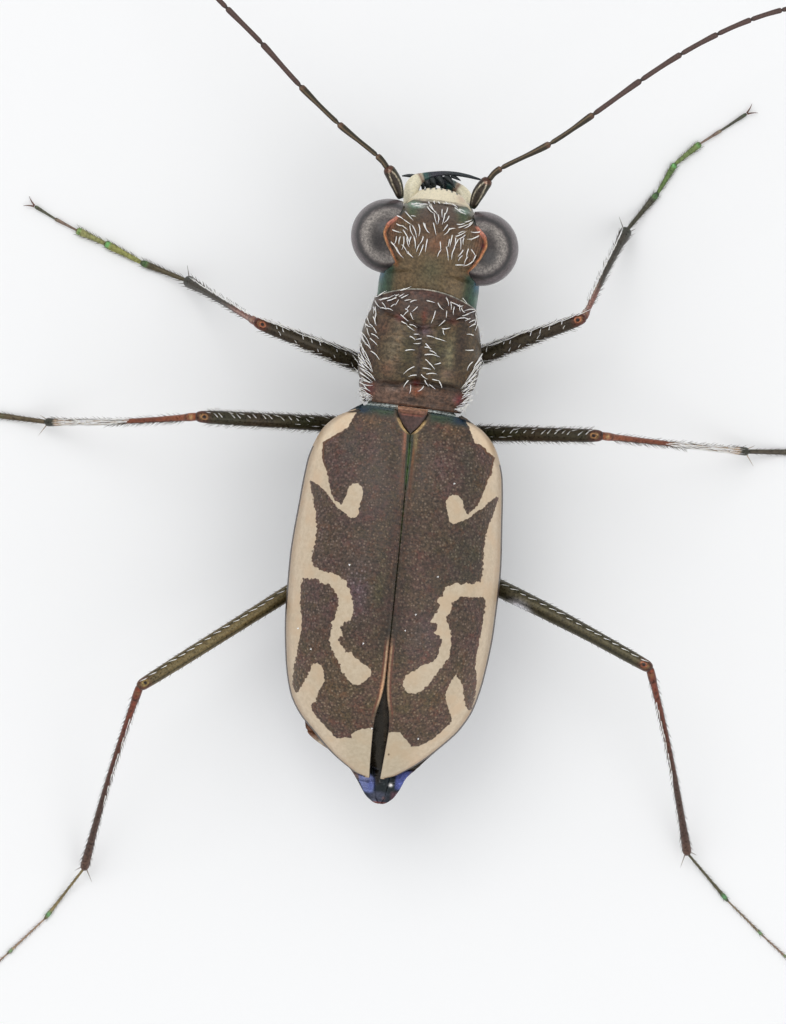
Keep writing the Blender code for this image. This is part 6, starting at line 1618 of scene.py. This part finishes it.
    # the two end spurs of the shin
    heads = [math.radians(h) for h in spec["heading"]]
    h0 = np.array((math.cos(heads[0]), math.sin(heads[0]), 0.0))
    side_dir = np.array((-h0[1], h0[0], 0.0))
    inner = {"front": 1.0, "middle": -1.0, "hind": -1.0}[which] * (1 if side == "right" else -1)
    for k, (spread, length) in enumerate(((0.75, 0.30), (-0.55, 0.20))):
        a = ankle + side_dir * inner * spread * 0.085 + d * 0.0
        b = a + (h0 * (0.45 if k == 0 else 0.8) + side_dir * inner * (0.75 if k == 0 else -0.35)) * length - np.array((0, 0, 0.10))
        b[2] = max(b[2], 0.03)
        line = np.stack([a + (b - a) * q + np.array((0, 0, 0.012)) * math.sin(math.pi * q) for q in np.linspace(0, 1, 9)])
        p, q4, t3 = capped(sweep(line, 0.012 * (1 - 0.8 * np.linspace(0, 1, 9)), 8))
        parts.append((p, q4, t3, dict(tint=coat(len(p), {"front": (104, 96, 88), "middle": (170, 156, 140), "hind": (140, 130, 122)}[which]))))
    P, quads, tris, F = join(parts)
    piece(node + "_shin", P, quads, tris, LIMB, (node + "_tibia",), F)
    # foot
    wide = {"front": (0.062, 0.070, 0.070, 0.034, 0.034), "middle": (0.056, 0.046, 0.040, 0.036, 0.034),
            "hind": (0.040, 0.027, 0.025, 0.024, 0.024)}[which]
    if name == "front_right":
        wide = (0.058, 0.058, 0.060, 0.032, 0.034)
    tints = {"front_left": ((80, 72, 52), (140, 142, 82), (140, 140, 90), (118, 100, 88), (88, 88, 72)),
             "front_right": ((68, 66, 52), (92, 116, 62), (106, 124, 72), (118, 100, 88), (70, 70, 58)),
             "middle_left": ((88, 76, 56), (90, 80, 60), (90, 84, 64), (84, 80, 62), (74, 70, 56)),
             "middle_right": ((76, 70, 58), (74, 72, 60), (76, 76, 62), (76, 76, 62), (70, 70, 58)),
             "hind_left": ((126, 112, 78), (150, 126, 104), (140, 118, 98), (120, 110, 90), (90, 88, 74)),
             "hind_right": ((84, 80, 60), (132, 116, 96), (140, 118, 102), (120, 110, 90), (90, 88, 74))}[name]
    stretch = {"front_left": 1.05, "front_right": 1.02}.get(name, 1.0)
    c = np.array((ankle[0], ankle[1], ankle[2] - 0.03))
    parts = [(*knob(c, 0.055), dict(tint=coat(18 * 28 + 2, (60, 48, 40))))]
    for i, (length, h, w, tint) in enumerate(zip(spec["foot"], heads, wide, tints)):
        length = length * stretch
        step = np.array((math.cos(h), math.sin(h), 0.0)) * length
        n = 46
        q = np.linspace(0, 1, n)
        z_end = w * 0.92 + 0.012 if i < 4 else 0.05
        e = np.array((c[0] + step[0], c[1] + step[1], z_end))
        line = c + (e - c) * q[:, None]
        if i == 0:
            line[:, 2] = c[2] + (z_end - c[2]) * smooth(0, 0.75, q)
        lean = {"front": limited((0, 0.05, 0.5, 0.86, 0.95, 1.0), (0.42, 0.60, 0.80, 1.06, 0.98, 0.55)),
                "middle": limited((0, 0.05, 0.5, 0.86, 0.95, 1.0), (0.60, 0.80, 0.88, 1.02, 0.95, 0.55)),
                "hind": limited((0, 0.05, 0.5, 0.80, 0.92, 1.0), (0.50, 0.60, 0.64, 0.80, 1.10, 0.60))}[which](q)
        P, quads, tris = capped(sweep(line, w * lean, 30, 0.86 if which == "front" and i < 3 else 0.95))
        P[:, 2] = np.maximum(P[:, 2], 0.004)
        tt = np.concatenate((np.repeat(q, 30), (0, 1)))
        C = coat(len(P), tint)
        # painted highlight near the end of each joint
        paint(C, {"front": (104, 158, 88), "middle": (84, 96, 72), "hind": (104, 160, 108)}[which],
              bell(tt, 0.91, 0.05) * {"front": (0.6, 0.8, 0.7, 0.1, 0.1), "middle": (0.3, 0.3, 0.3, 0.1, 0.1), "hind": (0.9, 0.7, 0.5, 0.2, 0.1)}[which][i])
        paint(C, (36, 36, 30), smooth(0.05, 0.0, tt) * 0.7 + smooth(0.96, 1.0, tt) * 0.6)
        if which == "front" and i < 2:
            paint(C, (48, 70, 44), smooth(0.86, 0.92, tt) * 0.6)
            # painted highlight on the top of the end of the first two front joints
            paint(C, (120, 186, 112), bell(tt, 0.92, 0.040) * bell(P[:, 2], P[:, 2].max(), 0.03) * (0.7 + 0.3 * i))
        parts.append((P, quads, tris, dict(tint=C)))
        LIMBS[node + "_foot%d" % i] = dict(C=line, R=w * lean, tall=0.9, frame=frames(line), length=length)
        c = e - step / length * 0.018
    h = heads[-1]
    for sgn in (-1, 1):
        q = np.linspace(0, 1, 14)
        turn = h + sgn * (0.30 + 0.35 * q)
        pts = [np.array((e[0], e[1], 0.055)) + np.array((math.cos(h + sgn * 0.7), math.sin(h + sgn * 0.7), 0)) * 0.018]
        for k in range(1, 14):
            pts.append(pts[-1] + np.array((math.cos(turn[k]), math.sin(turn[k]), 0)) * 0.0165)
        line = np.array(pts)
        line[:, 2] = 0.055 + 0.030 * np.sin(q * math.pi * 0.8) - 0.045 * q**3
        P, quads, tris = capped(sweep(line, 0.017 * (1 - 0.85 * q**1.3), 10))
        C = coat(len(P), (92, 56, 40))
        parts.append((P, quads, tris, dict(tint=C)))
    P, quads, tris, F = join(parts)
    piece(node + "_foot", P, quads, tris, LIMB, (node + "_tarsus",), F)


for leg_name in LEGS:
    leg(leg_name)


# ------------------------------------------------------------------ bristles
def spread(i, seed):
    """Fixed pseudo-random numbers for strands i."""
    i = np.asarray(i, np.int64)
    return cell(i, i * 7 + 3, i * 13 + 5, seed)


def coat_piece(name, roots, curves, radii, places, mat):
    """Mesh of tapered four-sided bristles. curves is (n, k, 3); places holds each
    root's place on the unwrapped skin, 0 to 1 both ways."""
    curves = np.asarray(curves, float)
    n, k = curves.shape[:2]
    T = np.gradient(curves, axis=1)
    T /= np.maximum(np.linalg.norm(T, axis=2), 1e-9)[..., None]
    ref = np.where(np.abs(T[..., 2:3]) > 0.93, np.array((1.0, 0, 0)), np.array((0, 0, 1.0)))
    U = np.cross(T, ref)
    U /= np.maximum(np.linalg.norm(U, axis=2), 1e-9)[..., None]
    W = np.cross(U, T)
    q = np.linspace(0, 1, k)
    r = np.asarray(radii, float)[:, None] * (1.0 - 0.86 * q**1.5)[None]
    a = 2 * math.pi * (np.arange(4) + 0.5) / 4
    ring = (curves[:, :, None] + r[..., None, None] * (np.cos(a)[None, None, :, None] * U[:, :, None]
                                                       + np.sin(a)[None, None, :, None] * W[:, :, None]))
    P = ring.reshape(-1, 3)
    start = (np.arange(n) * k * 4)[:, None, None]
    row = (np.arange(k - 1) * 4)[None, :, None]
    col = np.arange(4)[None, None, :]
    A = start + row + col
    B = start + row + (col + 1) % 4
    quads = np.stack((B, A, A + 4, B + 4), -1).reshape(-1, 4)
    s = (np.arange(n) * k * 4)
    caps = np.concatenate((np.stack((s, s + 1, s + 2, s + 3), -1),
                           np.stack((s + 4 * k - 1, s + 4 * k - 2, s + 4 * k - 3, s + 4 * k - 4), -1)))
    quads = np.concatenate((quads, caps))
    tip = np.repeat(np.tile(q, n), 4)
    places = np.asarray(places, float)
    corner = np.stack((np.cos(a), np.sin(a)), -1) * 0.0017
    uv = (places[:, None, None, :] + corner[None, None]
          + np.stack((0 * q, (q - 0.5) * 0.0008), -1)[None, :, None]).reshape(-1, 2)
    return piece(name, P, quads, None, mat, (), dict(tip=tip), uv=np.clip(uv, 0, 1))


def tree_of(obj):
    me = obj.data
    co = np.empty(len(me.vertices) * 3, np.float32)
    me.vertices.foreach_get("co", co)
    co = co.reshape(-1, 3) / MM - SHIFT
    return BVHTree.FromPolygons([Vector(c) for c in co.tolist()], [tuple(p.vertices) for p in me.polygons])


def strike(trees, u, v):
    """Place on the skin that shows at a photo pixel, or None beside it."""
    top = Vector((*plan(u, v, 6.0), 6.0))
    low = Vector((*plan(u, v, 0.0), 0.0))
    d = (low - top).normalized()
    best = None
    for tree in trees:
        hit = tree.ray_cast(top, d)
        if hit[0] is not None and (best is None or hit[0].z > best[0].z):
            best = (hit[0], hit[1])
    return best


def laid(trees, rows, arch, seed, lift_tip=0.05, k=7):
    """Bristles between photo places, lying over the skin with a low arch."""
    out, roots = [], []
    for i, (u1, v1, u2, v2) in enumerate(rows):
        pts = []
        last = None
        raise_tip = lift_tip * (0.5 + float(spread(i, seed)))
        for q in np.linspace(0, 1, k):
            u, v = u1 + (u2 - u1) * q, v1 + (v2 - v1) * q
            # a little sideways bow
            du, dv = u2 - u1, v2 - v1
            size = math.hypot(du, dv)
            bow = (float(spread(i, seed + 1)) - 0.5) * 0.22 * size * math.sin(math.pi * q)
            u, v = u - dv / max(size, 1e-6) * bow, v + du / max(size, 1e-6) * bow
            hit = strike(trees, u, v)
            if hit is not None:
                ground = hit[0].z
            elif last is not None:
                ground = last - 0.015
            else:
                ground = None
            pts.append((u, v, ground, q))
            if ground is not None:
                last = ground
        known = [p[2] for p in pts if p[2] is not None]
        if not known:
            continue
        base = known[0]
        line, prev = [], None
        for u, v, ground, q in pts:
            g = base if ground is None else ground
            z = g - 0.012 * (q == 0) + arch * math.sin(math.pi * min(q * 0.75, 1)) * 1.2 + raise_tip * q**1.5
            if prev is not None:
                z = max(z, prev - 0.06)
            prev = z
            line.append((*plan(u, v, z), z))
        out.append(line)
        roots.append(line[0])
    return np.array(out), np.array(roots)


def fore_places(roots):
    """Unwrap of the fore body: turn about its long axis, and length."""
    x, y = unturned(roots[:, 0], roots[:, 1])
    ang = np.arctan2(roots[:, 2] - 2.85, x) / (2 * math.pi) + 0.5
    return np.stack((np.clip(ang, 0.003, 0.997), np.clip((y - 1.9) / 4.4, 0.003, 0.997)), -1)


def on_limb(key, t, ang, out=1.0):
    """Point on a limb part at its length share t and turn ang, with its directions."""
    L = LIMBS[key]
    n = len(L["C"]) - 1
    f = np.clip(np.asarray(t, float) * n, 0, n - 1e-6)
    i = f.astype(int)
    g = (f - i)[:, None]
    C = L["C"][i] * (1 - g) + L["C"][i + 1] * g
    R = L["R"][i] * (1 - g[:, 0]) + L["R"][i + 1] * g[:, 0]
    T, U, W = (F[i] for F in L["frame"])
    a = 2 * math.pi * np.asarray(ang, float)
    N = np.cos(a)[:, None] * U + np.sin(a)[:, None] * W
    return C + N * (R * out)[:, None], T, N, R


def limb_rows(key, t, ang, length, lean, lift, radius, seed, side_lean=0.0, k=5, sway=0.25, droop=0.0):
    """Bristles standing on a limb part. lean and lift are their shares along and off the skin."""
    n = len(t)
    i = np.arange(n)
    P, T, N, R = on_limb(key, t, ang, 0.93)
    B = np.cross(T, N)
    wob = sway * (spread(i, seed) - 0.5) * 2
    D = T * lean + N * (lift * (0.8 + 0.4 * spread(i, seed + 1)))[:, None] + B * (side_lean + wob)[:, None]
    D /= np.linalg.norm(D, axis=1)[:, None]
    size = length * (0.75 + 0.5 * spread(i, seed + 2))
    q = np.linspace(0, 1, k)
    curve = P[:, None] + D[:, None] * (size[:, None] * q)[..., None] + T[:, None] * (0.22 * size[:, None] * q**2)[..., None]
    curve = curve - N[:, None] * (droop * size[:, None] * q**2)[..., None]
    curve[..., 2] = np.maximum(curve[..., 2], 0.006)
    places = np.stack((np.clip(np.mod(np.asarray(ang, float), 1.0), 0.003, 0.997), np.clip(t, 0.003, 0.997)), -1)
    return curve, np.full(n, radius), places


def many(name, sets, mat):
    """One piece from several rows of bristles, brought to the same number of points."""
    k = max(c.shape[1] for c, r, p in sets)
    curves = []
    for c, r, p in sets:
        if c.shape[1] != k:
            s = np.linspace(0, c.shape[1] - 1, k)
            i = np.clip(s.astype(int), 0, c.shape[1] - 2)
            g = (s - i)[None, :, None]
            c = c[:, i] * (1 - g) + c[:, i + 1] * g
        curves.append(c)
    return coat_piece(name, None, np.concatenate(curves), np.concatenate([r for c, r, p in sets]),
                      np.concatenate([p for c, r, p in sets]), mat)


def steps(a, b, pitch, length, seed, jitter=0.35):
    """Places along a limb part, a pitch apart in mm, a little uneven."""
    n = max(2, int((b - a) * length / pitch))
    i = np.arange(n)
    return a + (b - a) * (i + 0.5 + jitter * (spread(i, seed) - 0.5) * 2) / n


def leg_bristles(name):
    which, side = name.split("_")
    fore = 0.0 if side == "left" else 0.5             # forward side of the limb
    rear = 0.5 - fore
    sign = 1.0 if side == "left" else -1.0
    thigh, shin = "leg_%s_thigh" % name, "leg_%s_shin" % name
    TL, SL = LIMBS[thigh]["length"], LIMBS[shin]["length"]
    seed = 100 + 17 * sorted(LEGS).index(name)
    white, dark = [], []

    def put(where, key, a, b, pitch, ang, length, lean, lift, radius, k, side_lean=0.0, scatter=0.02, sway=0.25, droop=0.0, jitter=0.35):
        t = steps(a, b, pitch, LIMBS[key]["length"], seed + k, jitter)
        A = ang + scatter * (spread(np.arange(len(t)), seed + k + 1) - 0.5) * 2
        where.append(limb_rows(key, t, A, length, lean, lift, radius, seed + k + 2, side_lean, 5, sway, droop))

    top = 0.25
    if which == "front":
        put(white, thigh, 0.06, 0.95, 0.100, fore + 0.125 * sign, 0.26, 1.0, 0.10, 0.0115, 1, 0.05 * sign, 0.025, 0.10)
        put(white, thigh, 0.08, 0.93, 0.090, fore + 0.075 * sign, 0.27, 1.0, 0.14, 0.0110, 5, 0.05 * sign, 0.020, 0.12)
        put(white, thigh, 0.10, 0.90, 0.250, top, 0.12, 0.40, 0.22, 0.0115, 9, 0.80 * sign, 0.015)
        put(white, thigh, 0.12, 0.86, 0.330, top + 0.10 * sign, 0.11, 0.50, 0.25, 0.0100, 13, 0.6 * sign, 0.02)
        put(white, thigh, 0.05, 0.60, 0.080, rear - 0.03 * sign, 0.20, 0.80, 0.50, 0.0075, 17, 0.0, 0.05)
        put(dark, thigh, 0.06, 0.92, 0.075, rear - 0.02 * sign, 0.105, 0.80, 0.55, 0.0080, 21, 0.0, 0.05)
        put(dark, thigh, 0.06, 0.92, 0.220, fore + 0.02 * sign, 0.090, 0.85, 0.45, 0.0075, 25, 0.0, 0.04)
        put(white, thigh, 0.05, 0.70, 0.070, rear - 0.10 * sign, 0.20, 0.85, 0.45, 0.0075, 29, 0.0, 0.04)
        put(white, shin, 0.04, 0.90, 0.110, fore + 0.120 * sign, 0.25, 1.0, 0.15, 0.0120, 33, 0.0, 0.015, 0.06)
        put(white, shin, 0.05, 0.60, 0.150, fore + 0.070 * sign, 0.26, 1.0, 0.14, 0.0105, 37, 0.0, 0.015, 0.06)
        put(dark, shin, 0.15, 0.95, 0.080, fore + 0.02 * sign, 0.13, 0.9, 0.45, 0.0075, 41)
        put(dark, shin, 0.15, 0.97, 0.070, rear - 0.03 * sign, 0.13, 0.9, 0.45, 0.0075, 45)
        put(dark, shin, 0.25, 0.97, 0.090, top, 0.11, 0.95, 0.30, 0.0070, 49)
        for i in range(3):
            key = "leg_%s_foot%d" % (name, i)
            put(dark, key, 0.1, 0.95, 0.045, 0.0, 0.085, 0.8, 0.5, 0.0060, 57 + i * 8, 0.0, 0.05)
            put(dark, key, 0.1, 0.95, 0.045, 0.5, 0.085, 0.8, 0.5, 0.0060, 61 + i * 8, 0.0, 0.05)
    elif which == "middle":
        put(white, thigh, 0.34, 0.92, 0.170, top, 0.130, 0.60, 0.20, 0.0110, 1, 0.65 * sign, 0.015, 0.15)
        put(white, thigh, 0.08, 0.42, 0.170, top + 0.06 * sign, 0.14, 1.0, 0.14, 0.0110, 5, 0.10 * sign, 0.012, 0.12)
        put(white, thigh, 0.20, 0.95, 0.340, top - 0.11 * sign, 0.12, 0.90, 0.16, 0.0095, 7, 0.20 * sign, 0.012, 0.12)
        put(white, thigh, 0.10, 0.95, 0.080, fore + 0.03 * sign, 0.13, 0.85, 0.45, 0.0075, 9, 0.0, 0.03)
        put(dark, thigh, 0.08, 0.93, 0.060, fore + 0.02 * sign, 0.10, 0.8, 0.55, 0.0080, 13, 0.0, 0.04)
        put(white, thigh, 0.10, 0.85, 0.100, rear - 0.05 * sign, 0.14, 0.85, 0.45, 0.0075, 17, 0.0, 0.04)
        put(dark, thigh, 0.08, 0.93, 0.055, rear - 0.02 * sign, 0.11, 0.8, 0.60, 0.0080, 21, 0.0, 0.05)
        put(dark, shin, 0.08, 0.58, 0.055, rear - 0.02 * sign, 0.12, 0.80, 0.55, 0.0085, 25, 0.0, 0.03)
        put(dark, shin, 0.10, 0.58, 0.080, rear - 0.10 * sign, 0.11, 0.85, 0.45, 0.0080, 29, 0.0, 0.03)
        put(dark, shin, 0.10, 0.97, 0.110, fore + 0.02 * sign, 0.11, 0.85, 0.45, 0.0070, 33, 0.0, 0.03)
        for i, a in enumerate((-0.02, 0.06, 0.14, 0.22, 0.30, 0.38, 0.46, 0.54)):
            put(white, shin, 0.425 + 0.015 * (i % 3), 0.870, 0.100, a, 0.30, 1.0, 0.12, 0.0080, 37 + 4 * i, 0.0, 0.05, 0.10, 0.05)
        put(dark, shin, 0.44, 0.90, 0.150, top - 0.13 * sign, 0.26, 1.0, 0.10, 0.0085, 75, 0.0, 0.05, 0.10)
        put(dark, shin, 0.44, 0.88, 0.260, top + 0.04 * sign, 0.22, 1.0, 0.10, 0.0080, 79, 0.0, 0.08, 0.15)
    else:
        put(white, thigh, 0.12, 0.97, 0.215, top - 0.080 * sign, 0.135, 0.90, 0.15, 0.0130, 1, 0.16 * sign, 0.006, 0.10, 0.0, 0.15)
        put(dark, thigh, 0.10, 0.93, 0.140, fore, 0.070, 0.8, 0.5, 0.0060, 9, 0.0, 0.02)
        put(dark, thigh, 0.10, 0.93, 0.150, rear, 0.060, 0.8, 0.5, 0.0060, 13, 0.0, 0.02)
        put(white, shin, 0.15, 0.60, 0.210, rear - 0.15 * sign, 0.20, 1.0, 0.16, 0.0130, 17, 0.0, 0.015, 0.06)
        put(white, shin, 0.20, 0.96, 0.170, rear - 0.02 * sign, 0.13, 0.95, 0.35, 0.0075, 21, 0.0, 0.03, 0.15)
        put(dark, shin, 0.06, 0.97, 0.085, fore + 0.03 * sign, 0.105, 0.9, 0.42, 0.0078, 25, 0.0, 0.03)
        put(dark, shin, 0.06, 0.97, 0.085, rear - 0.03 * sign, 0.105, 0.9, 0.42, 0.0078, 29, 0.0, 0.03)
        put(dark, shin, 0.10, 0.97, 0.110, top, 0.100, 0.95, 0.30, 0.0072, 33, 0.0, 0.03)
    if which != "front":
        for i in range(5):
            key = "leg_%s_foot%d" % (name, i)
            put(dark, key, 0.12, 0.97, 0.085, 0.0, 0.070, 0.85, 0.4, 0.0052, 81 + i * 8, 0.0, 0.05)
            put(dark, key, 0.12, 0.97, 0.085, 0.5, 0.070, 0.85, 0.4, 0.0052, 85 + i * 8, 0.0, 0.05)
    many("hair_%s_white" % name, white, BRISTLE)
    many("hair_%s_spines" % name, dark, SPINE)


def spine_finish():
    f = Finish("spine_finish", 0.40, 0.0, 0.5)
    f.set("Base Color", f.mix(f.field("tip"), tuple(ink(44, 34, 26)), tuple(ink(92, 76, 62))))
    f.set("Roughness", f.span(f.noise(60.0, 2.0), 0.3, 0.7, 0.32, 0.5))
    return f.mat


SPINE = spine_finish()
head_tree, neck_tree = tree_of(HEAD_SKIN), tree_of(NECK_SHIELD)
curves, roots = laid((head_tree,), tuple(HEAD_BRISTLES) + (
    (411.4, 203.4, 417.0, 204.4), (412.6, 205.0, 419.4, 203.2), (416.2, 203.0, 424.0, 203.8), (419.6, 205.2, 427.0, 203.4),
    (454.6, 207.4, 461.4, 211.0), (457.8, 210.6, 464.4, 213.4), (460.4, 212.4, 466.4, 214.2), (459.0, 209.4, 465.0, 212.0)), 0.035, 301, 0.05)
coat_piece("hair_head", None, curves, 0.0138 + 0.004 * spread(np.arange(len(curves)), 303), fore_places(roots), BRISTLE)
CORNER_BRISTLES = (
    (376.7, 294.5, 390, 287.3), (383.9, 292.4, 395.6, 281.7), (377.8, 296.5, 388, 290.4), (391, 290.4, 402.2, 286.8),
    (400.2, 290.4, 411.4, 286.3), (463.5, 293.5, 475.7, 303.7), (462.4, 300.6, 476.7, 305.7), (467.5, 298.5, 477, 305),
    (464, 294.5, 469.6, 302.7), (476.2, 310, 477.8, 319), (476.7, 319, 475.2, 330.2), (481.8, 335.3, 479.8, 343.5),
    (482.3, 353.7, 472.7, 372), (481.5, 358, 473.7, 368), (481.3, 361.8, 468.6, 380.2), (479.8, 367, 465.5, 383.3),
    (478.8, 372, 461.4, 389.4), (475.7, 377, 462.4, 392.4), (474.7, 382.2, 461.4, 391.4), (471.6, 387.3, 462.4, 397.5),
    (471.6, 396.5, 461.4, 403.7), (472.6, 399.6, 460.4, 406.7), (465.5, 409.8, 454.3, 408.8), (469, 404, 457, 407.5),
    (360.4, 331, 370.6, 348.6), (359.9, 341.4, 364.5, 354.7), (358.4, 356.7, 372.7, 371), (359.4, 361.8, 371.6, 372),
    (360.4, 368, 374.7, 379.2), (359.9, 372, 372.7, 382.2), (359.9, 378.2, 370.6, 383.3), (359.9, 382.2, 372.7, 385.3),
    (360.4, 387.3, 370.6, 391.4), (361.4, 391.4, 372.7, 396.5), (360.4, 395.5, 371.6, 397.5), (361.9, 398.6, 370.6, 398.6),
    (359, 350, 367, 366), (361, 335, 366, 344), (358.6, 364, 368, 370),
    (359.5, 389, 370, 394.5), (360, 392.5, 371, 395), (360.2, 397.5, 371.4, 400.2), (361, 400.5, 372.2, 398.2),
    (362.5, 402.2, 371.8, 399.6), (361.8, 394, 369.4, 398.2), (469.6, 400.8, 459.8, 404.2), (468.6, 404.6, 457.2, 409.4),
    (466.8, 407.4, 455.4, 409.6), (465, 411, 455.8, 408.4), (463.4, 411.8, 456.2, 410.2), (470.4, 393.6, 461.2, 399.4))


curves, roots = laid((neck_tree,), tuple(NECK_BRISTLES) + CORNER_BRISTLES, 0.030, 311, 0.06)
coat_piece("hair_pronotum", None, curves, 0.0125 + 0.004 * spread(np.arange(len(curves)), 313), fore_places(roots), BRISTLE)

# bristles of the flanks
def flank_bristles():
    """Rooted on the sides of the fore body below its widest line, leaning back and out."""
    out, places = [], []
    n = 130
    i = np.arange(n)
    side = np.where(i % 2 == 0, -1.0, 1.0)
    y = 2.25 + 1.75 * spread(i, 401)
    turn_ = 0.02 + 0.11 * spread(i, 402)                 # down from the widest line, in turns
    for k in range(n):
        c, s = math.cos(2 * math.pi * turn_[k]), math.sin(2 * math.pi * turn_[k])
        aim = Vector((-side[k] * c, 0, s))
        start = Vector((side[k] * 3 * c, y[k], 2.75 - 3 * s))
        a = turned(np.array(start))
        b = turned(np.array(start + aim))
        hit = neck_tree.ray_cast(Vector(a), Vector(b - a))
        if hit[0] is None:
            continue
        p, nrm = np.array(hit[0]), np.array(hit[1])
        if nrm @ np.array(aim) > 0:
            nrm = -nrm
        back = np.array((0, -1.0 if spread(k, 403) > 0.3 else 0.8, 0.15))
        d = nrm * 0.55 + back * 0.8
        d /= np.linalg.norm(d)
        size = 0.16 + 0.14 * float(spread(k, 404))
        q = np.linspace(0, 1, 5)[:, None]
        out.append(p - nrm * 0.012 + d * size * q - np.array((0, 0, 0.05)) * q**2)
        places.append(p)
    return np.array(out), np.array(places)


curves, roots = flank_bristles()
coat_piece("hair_flanks", None, curves, np.full(len(curves), 0.0125), fore_places(roots), BRISTLE)

# pale specks lying on the wing cases
SPECKS = ((349.5, 565), (363.5, 643.6), (311, 649), (297.9, 628.4), (438, 577), (415.7, 614.5), (405.4, 630.5),
          (454.3, 483.5), (372, 728.3), (418.4, 738.8))


def specks():
    curves, places = [], []
    for k, (u, v) in enumerate(SPECKS):
        z = 3.9
        for _ in range(3):
            x, y = plan(u, v, z)
            z = float(case_top(x, y))
        a = 6.28 * float(spread(k, 501))
        q = np.linspace(-0.5, 0.5, 5)[:, None]
        size = 0.026 + 0.016 * float(spread(k, 502))
        curves.append(np.array((x, y, z + 0.010)) + np.array((math.cos(a), math.sin(a), 0)) * size * q)
        places.append((0.5 + x / 4.4, np.clip((y + 5.3) / 7.3, 0.003, 0.997)))
    return np.array(curves), np.array(places)


def shoulder_spines():
    """A dark bristle over the front corner of each wing case."""
    curves, places = [], []
    for u1, v1, u2, v2 in ((360.4, 411.0, 346.8, 411.9), (359.4, 410.0, 351.0, 411.6), (459.4, 417.2, 473.4, 423.9), (461.0, 416.4, 470.4, 421.8)):
        line = []
        for q in np.linspace(0, 1, 6):
            u, v, z = u1 + (u2 - u1) * q, v1 + (v2 - v1) * q, 3.5
            for _ in range(3):
                x, y = plan(u, v, z)
                z = float(case_top(x, min(y, 1.93))) + 0.004 + 0.05 * q
            line.append((x, y, z))
        curves.append(line)
        places.append((0.5 + line[0][0] / 4.4, 0.99))
    return np.array(curves), np.array(places)


curves, places = shoulder_spines()
coat_piece("hair_shoulders", None, curves, np.full(len(curves), 0.0290), places, SPINE)
curves, places = specks()
coat_piece("hair_specks", None, curves, 0.025 + 0.008 * spread(np.arange(len(curves)), 503), places, BRISTLE)
for leg_name in LEGS:
    leg_bristles(leg_name)


# ------------------------------------------------------------------ floor, light, view
def floor():
    me = bpy.data.meshes.new("floor")
    r = 3.0
    me.from_pydata([(-r, -r, 0), (r, -r, 0), (r, r, 0), (-r, r, 0)], [], [(0, 1, 2, 3)])
    f = Finish("floor_finish", 0.8, 0.0, 0.2)
    f.set("Base Color", f.mix(f.noise(0.02, 2.0), (0.935, 0.935, 0.937), (0.950, 0.950, 0.951)))
    me.materials.append(f.mat)
    obj = bpy.data.objects.new("floor", me)
    bpy.context.scene.collection.objects.link(obj)


def lamp(name, place, size, power, aim=(0, 0, 0.002), colour=(1, 1, 1)):
    data = bpy.data.lights.new(name, "AREA")
    data.shape = "RECTANGLE"
    data.size, data.size_y = size
    data.energy = power
    data.color = colour
    obj = bpy.data.objects.new(name, data)
    obj.location = place
    obj.rotation_euler = (Vector(aim) - Vector(place)).to_track_quat("-Z", "Y").to_euler()
    bpy.context.scene.collection.objects.link(obj)


floor()
world = bpy.data.worlds.new("studio")
world.use_nodes = True
world.node_tree.nodes["Background"].inputs["Color"].default_value = (0.98, 0.99, 1.0, 1)
world.node_tree.nodes["Background"].inputs["Strength"].default_value = 0.80
bpy.context.scene.world = world
lamp("key_light", (-0.10, 0.16, 0.30), (0.20, 0.20), 0.24)
lamp("fill_light", (0.16, -0.12, 0.26), (0.20, 0.20), 0.14)

view = bpy.data.cameras.new("view")
view.lens = 360.58
view.sensor_width = 36.0
view.clip_start = 0.02
view.clip_end = 10.0
lens = bpy.data.objects.new("view", view)
lens.location = (0.000081, -0.000501, 0.2034)
lens.rotation_euler = (0.0, 0.0, ROLL)
bpy.context.scene.collection.objects.link(lens)
bpy.context.scene.camera = lens
bpy.context.scene.view_settings.view_transform = "Standard"
bpy.context.scene.view_settings.look = "None"
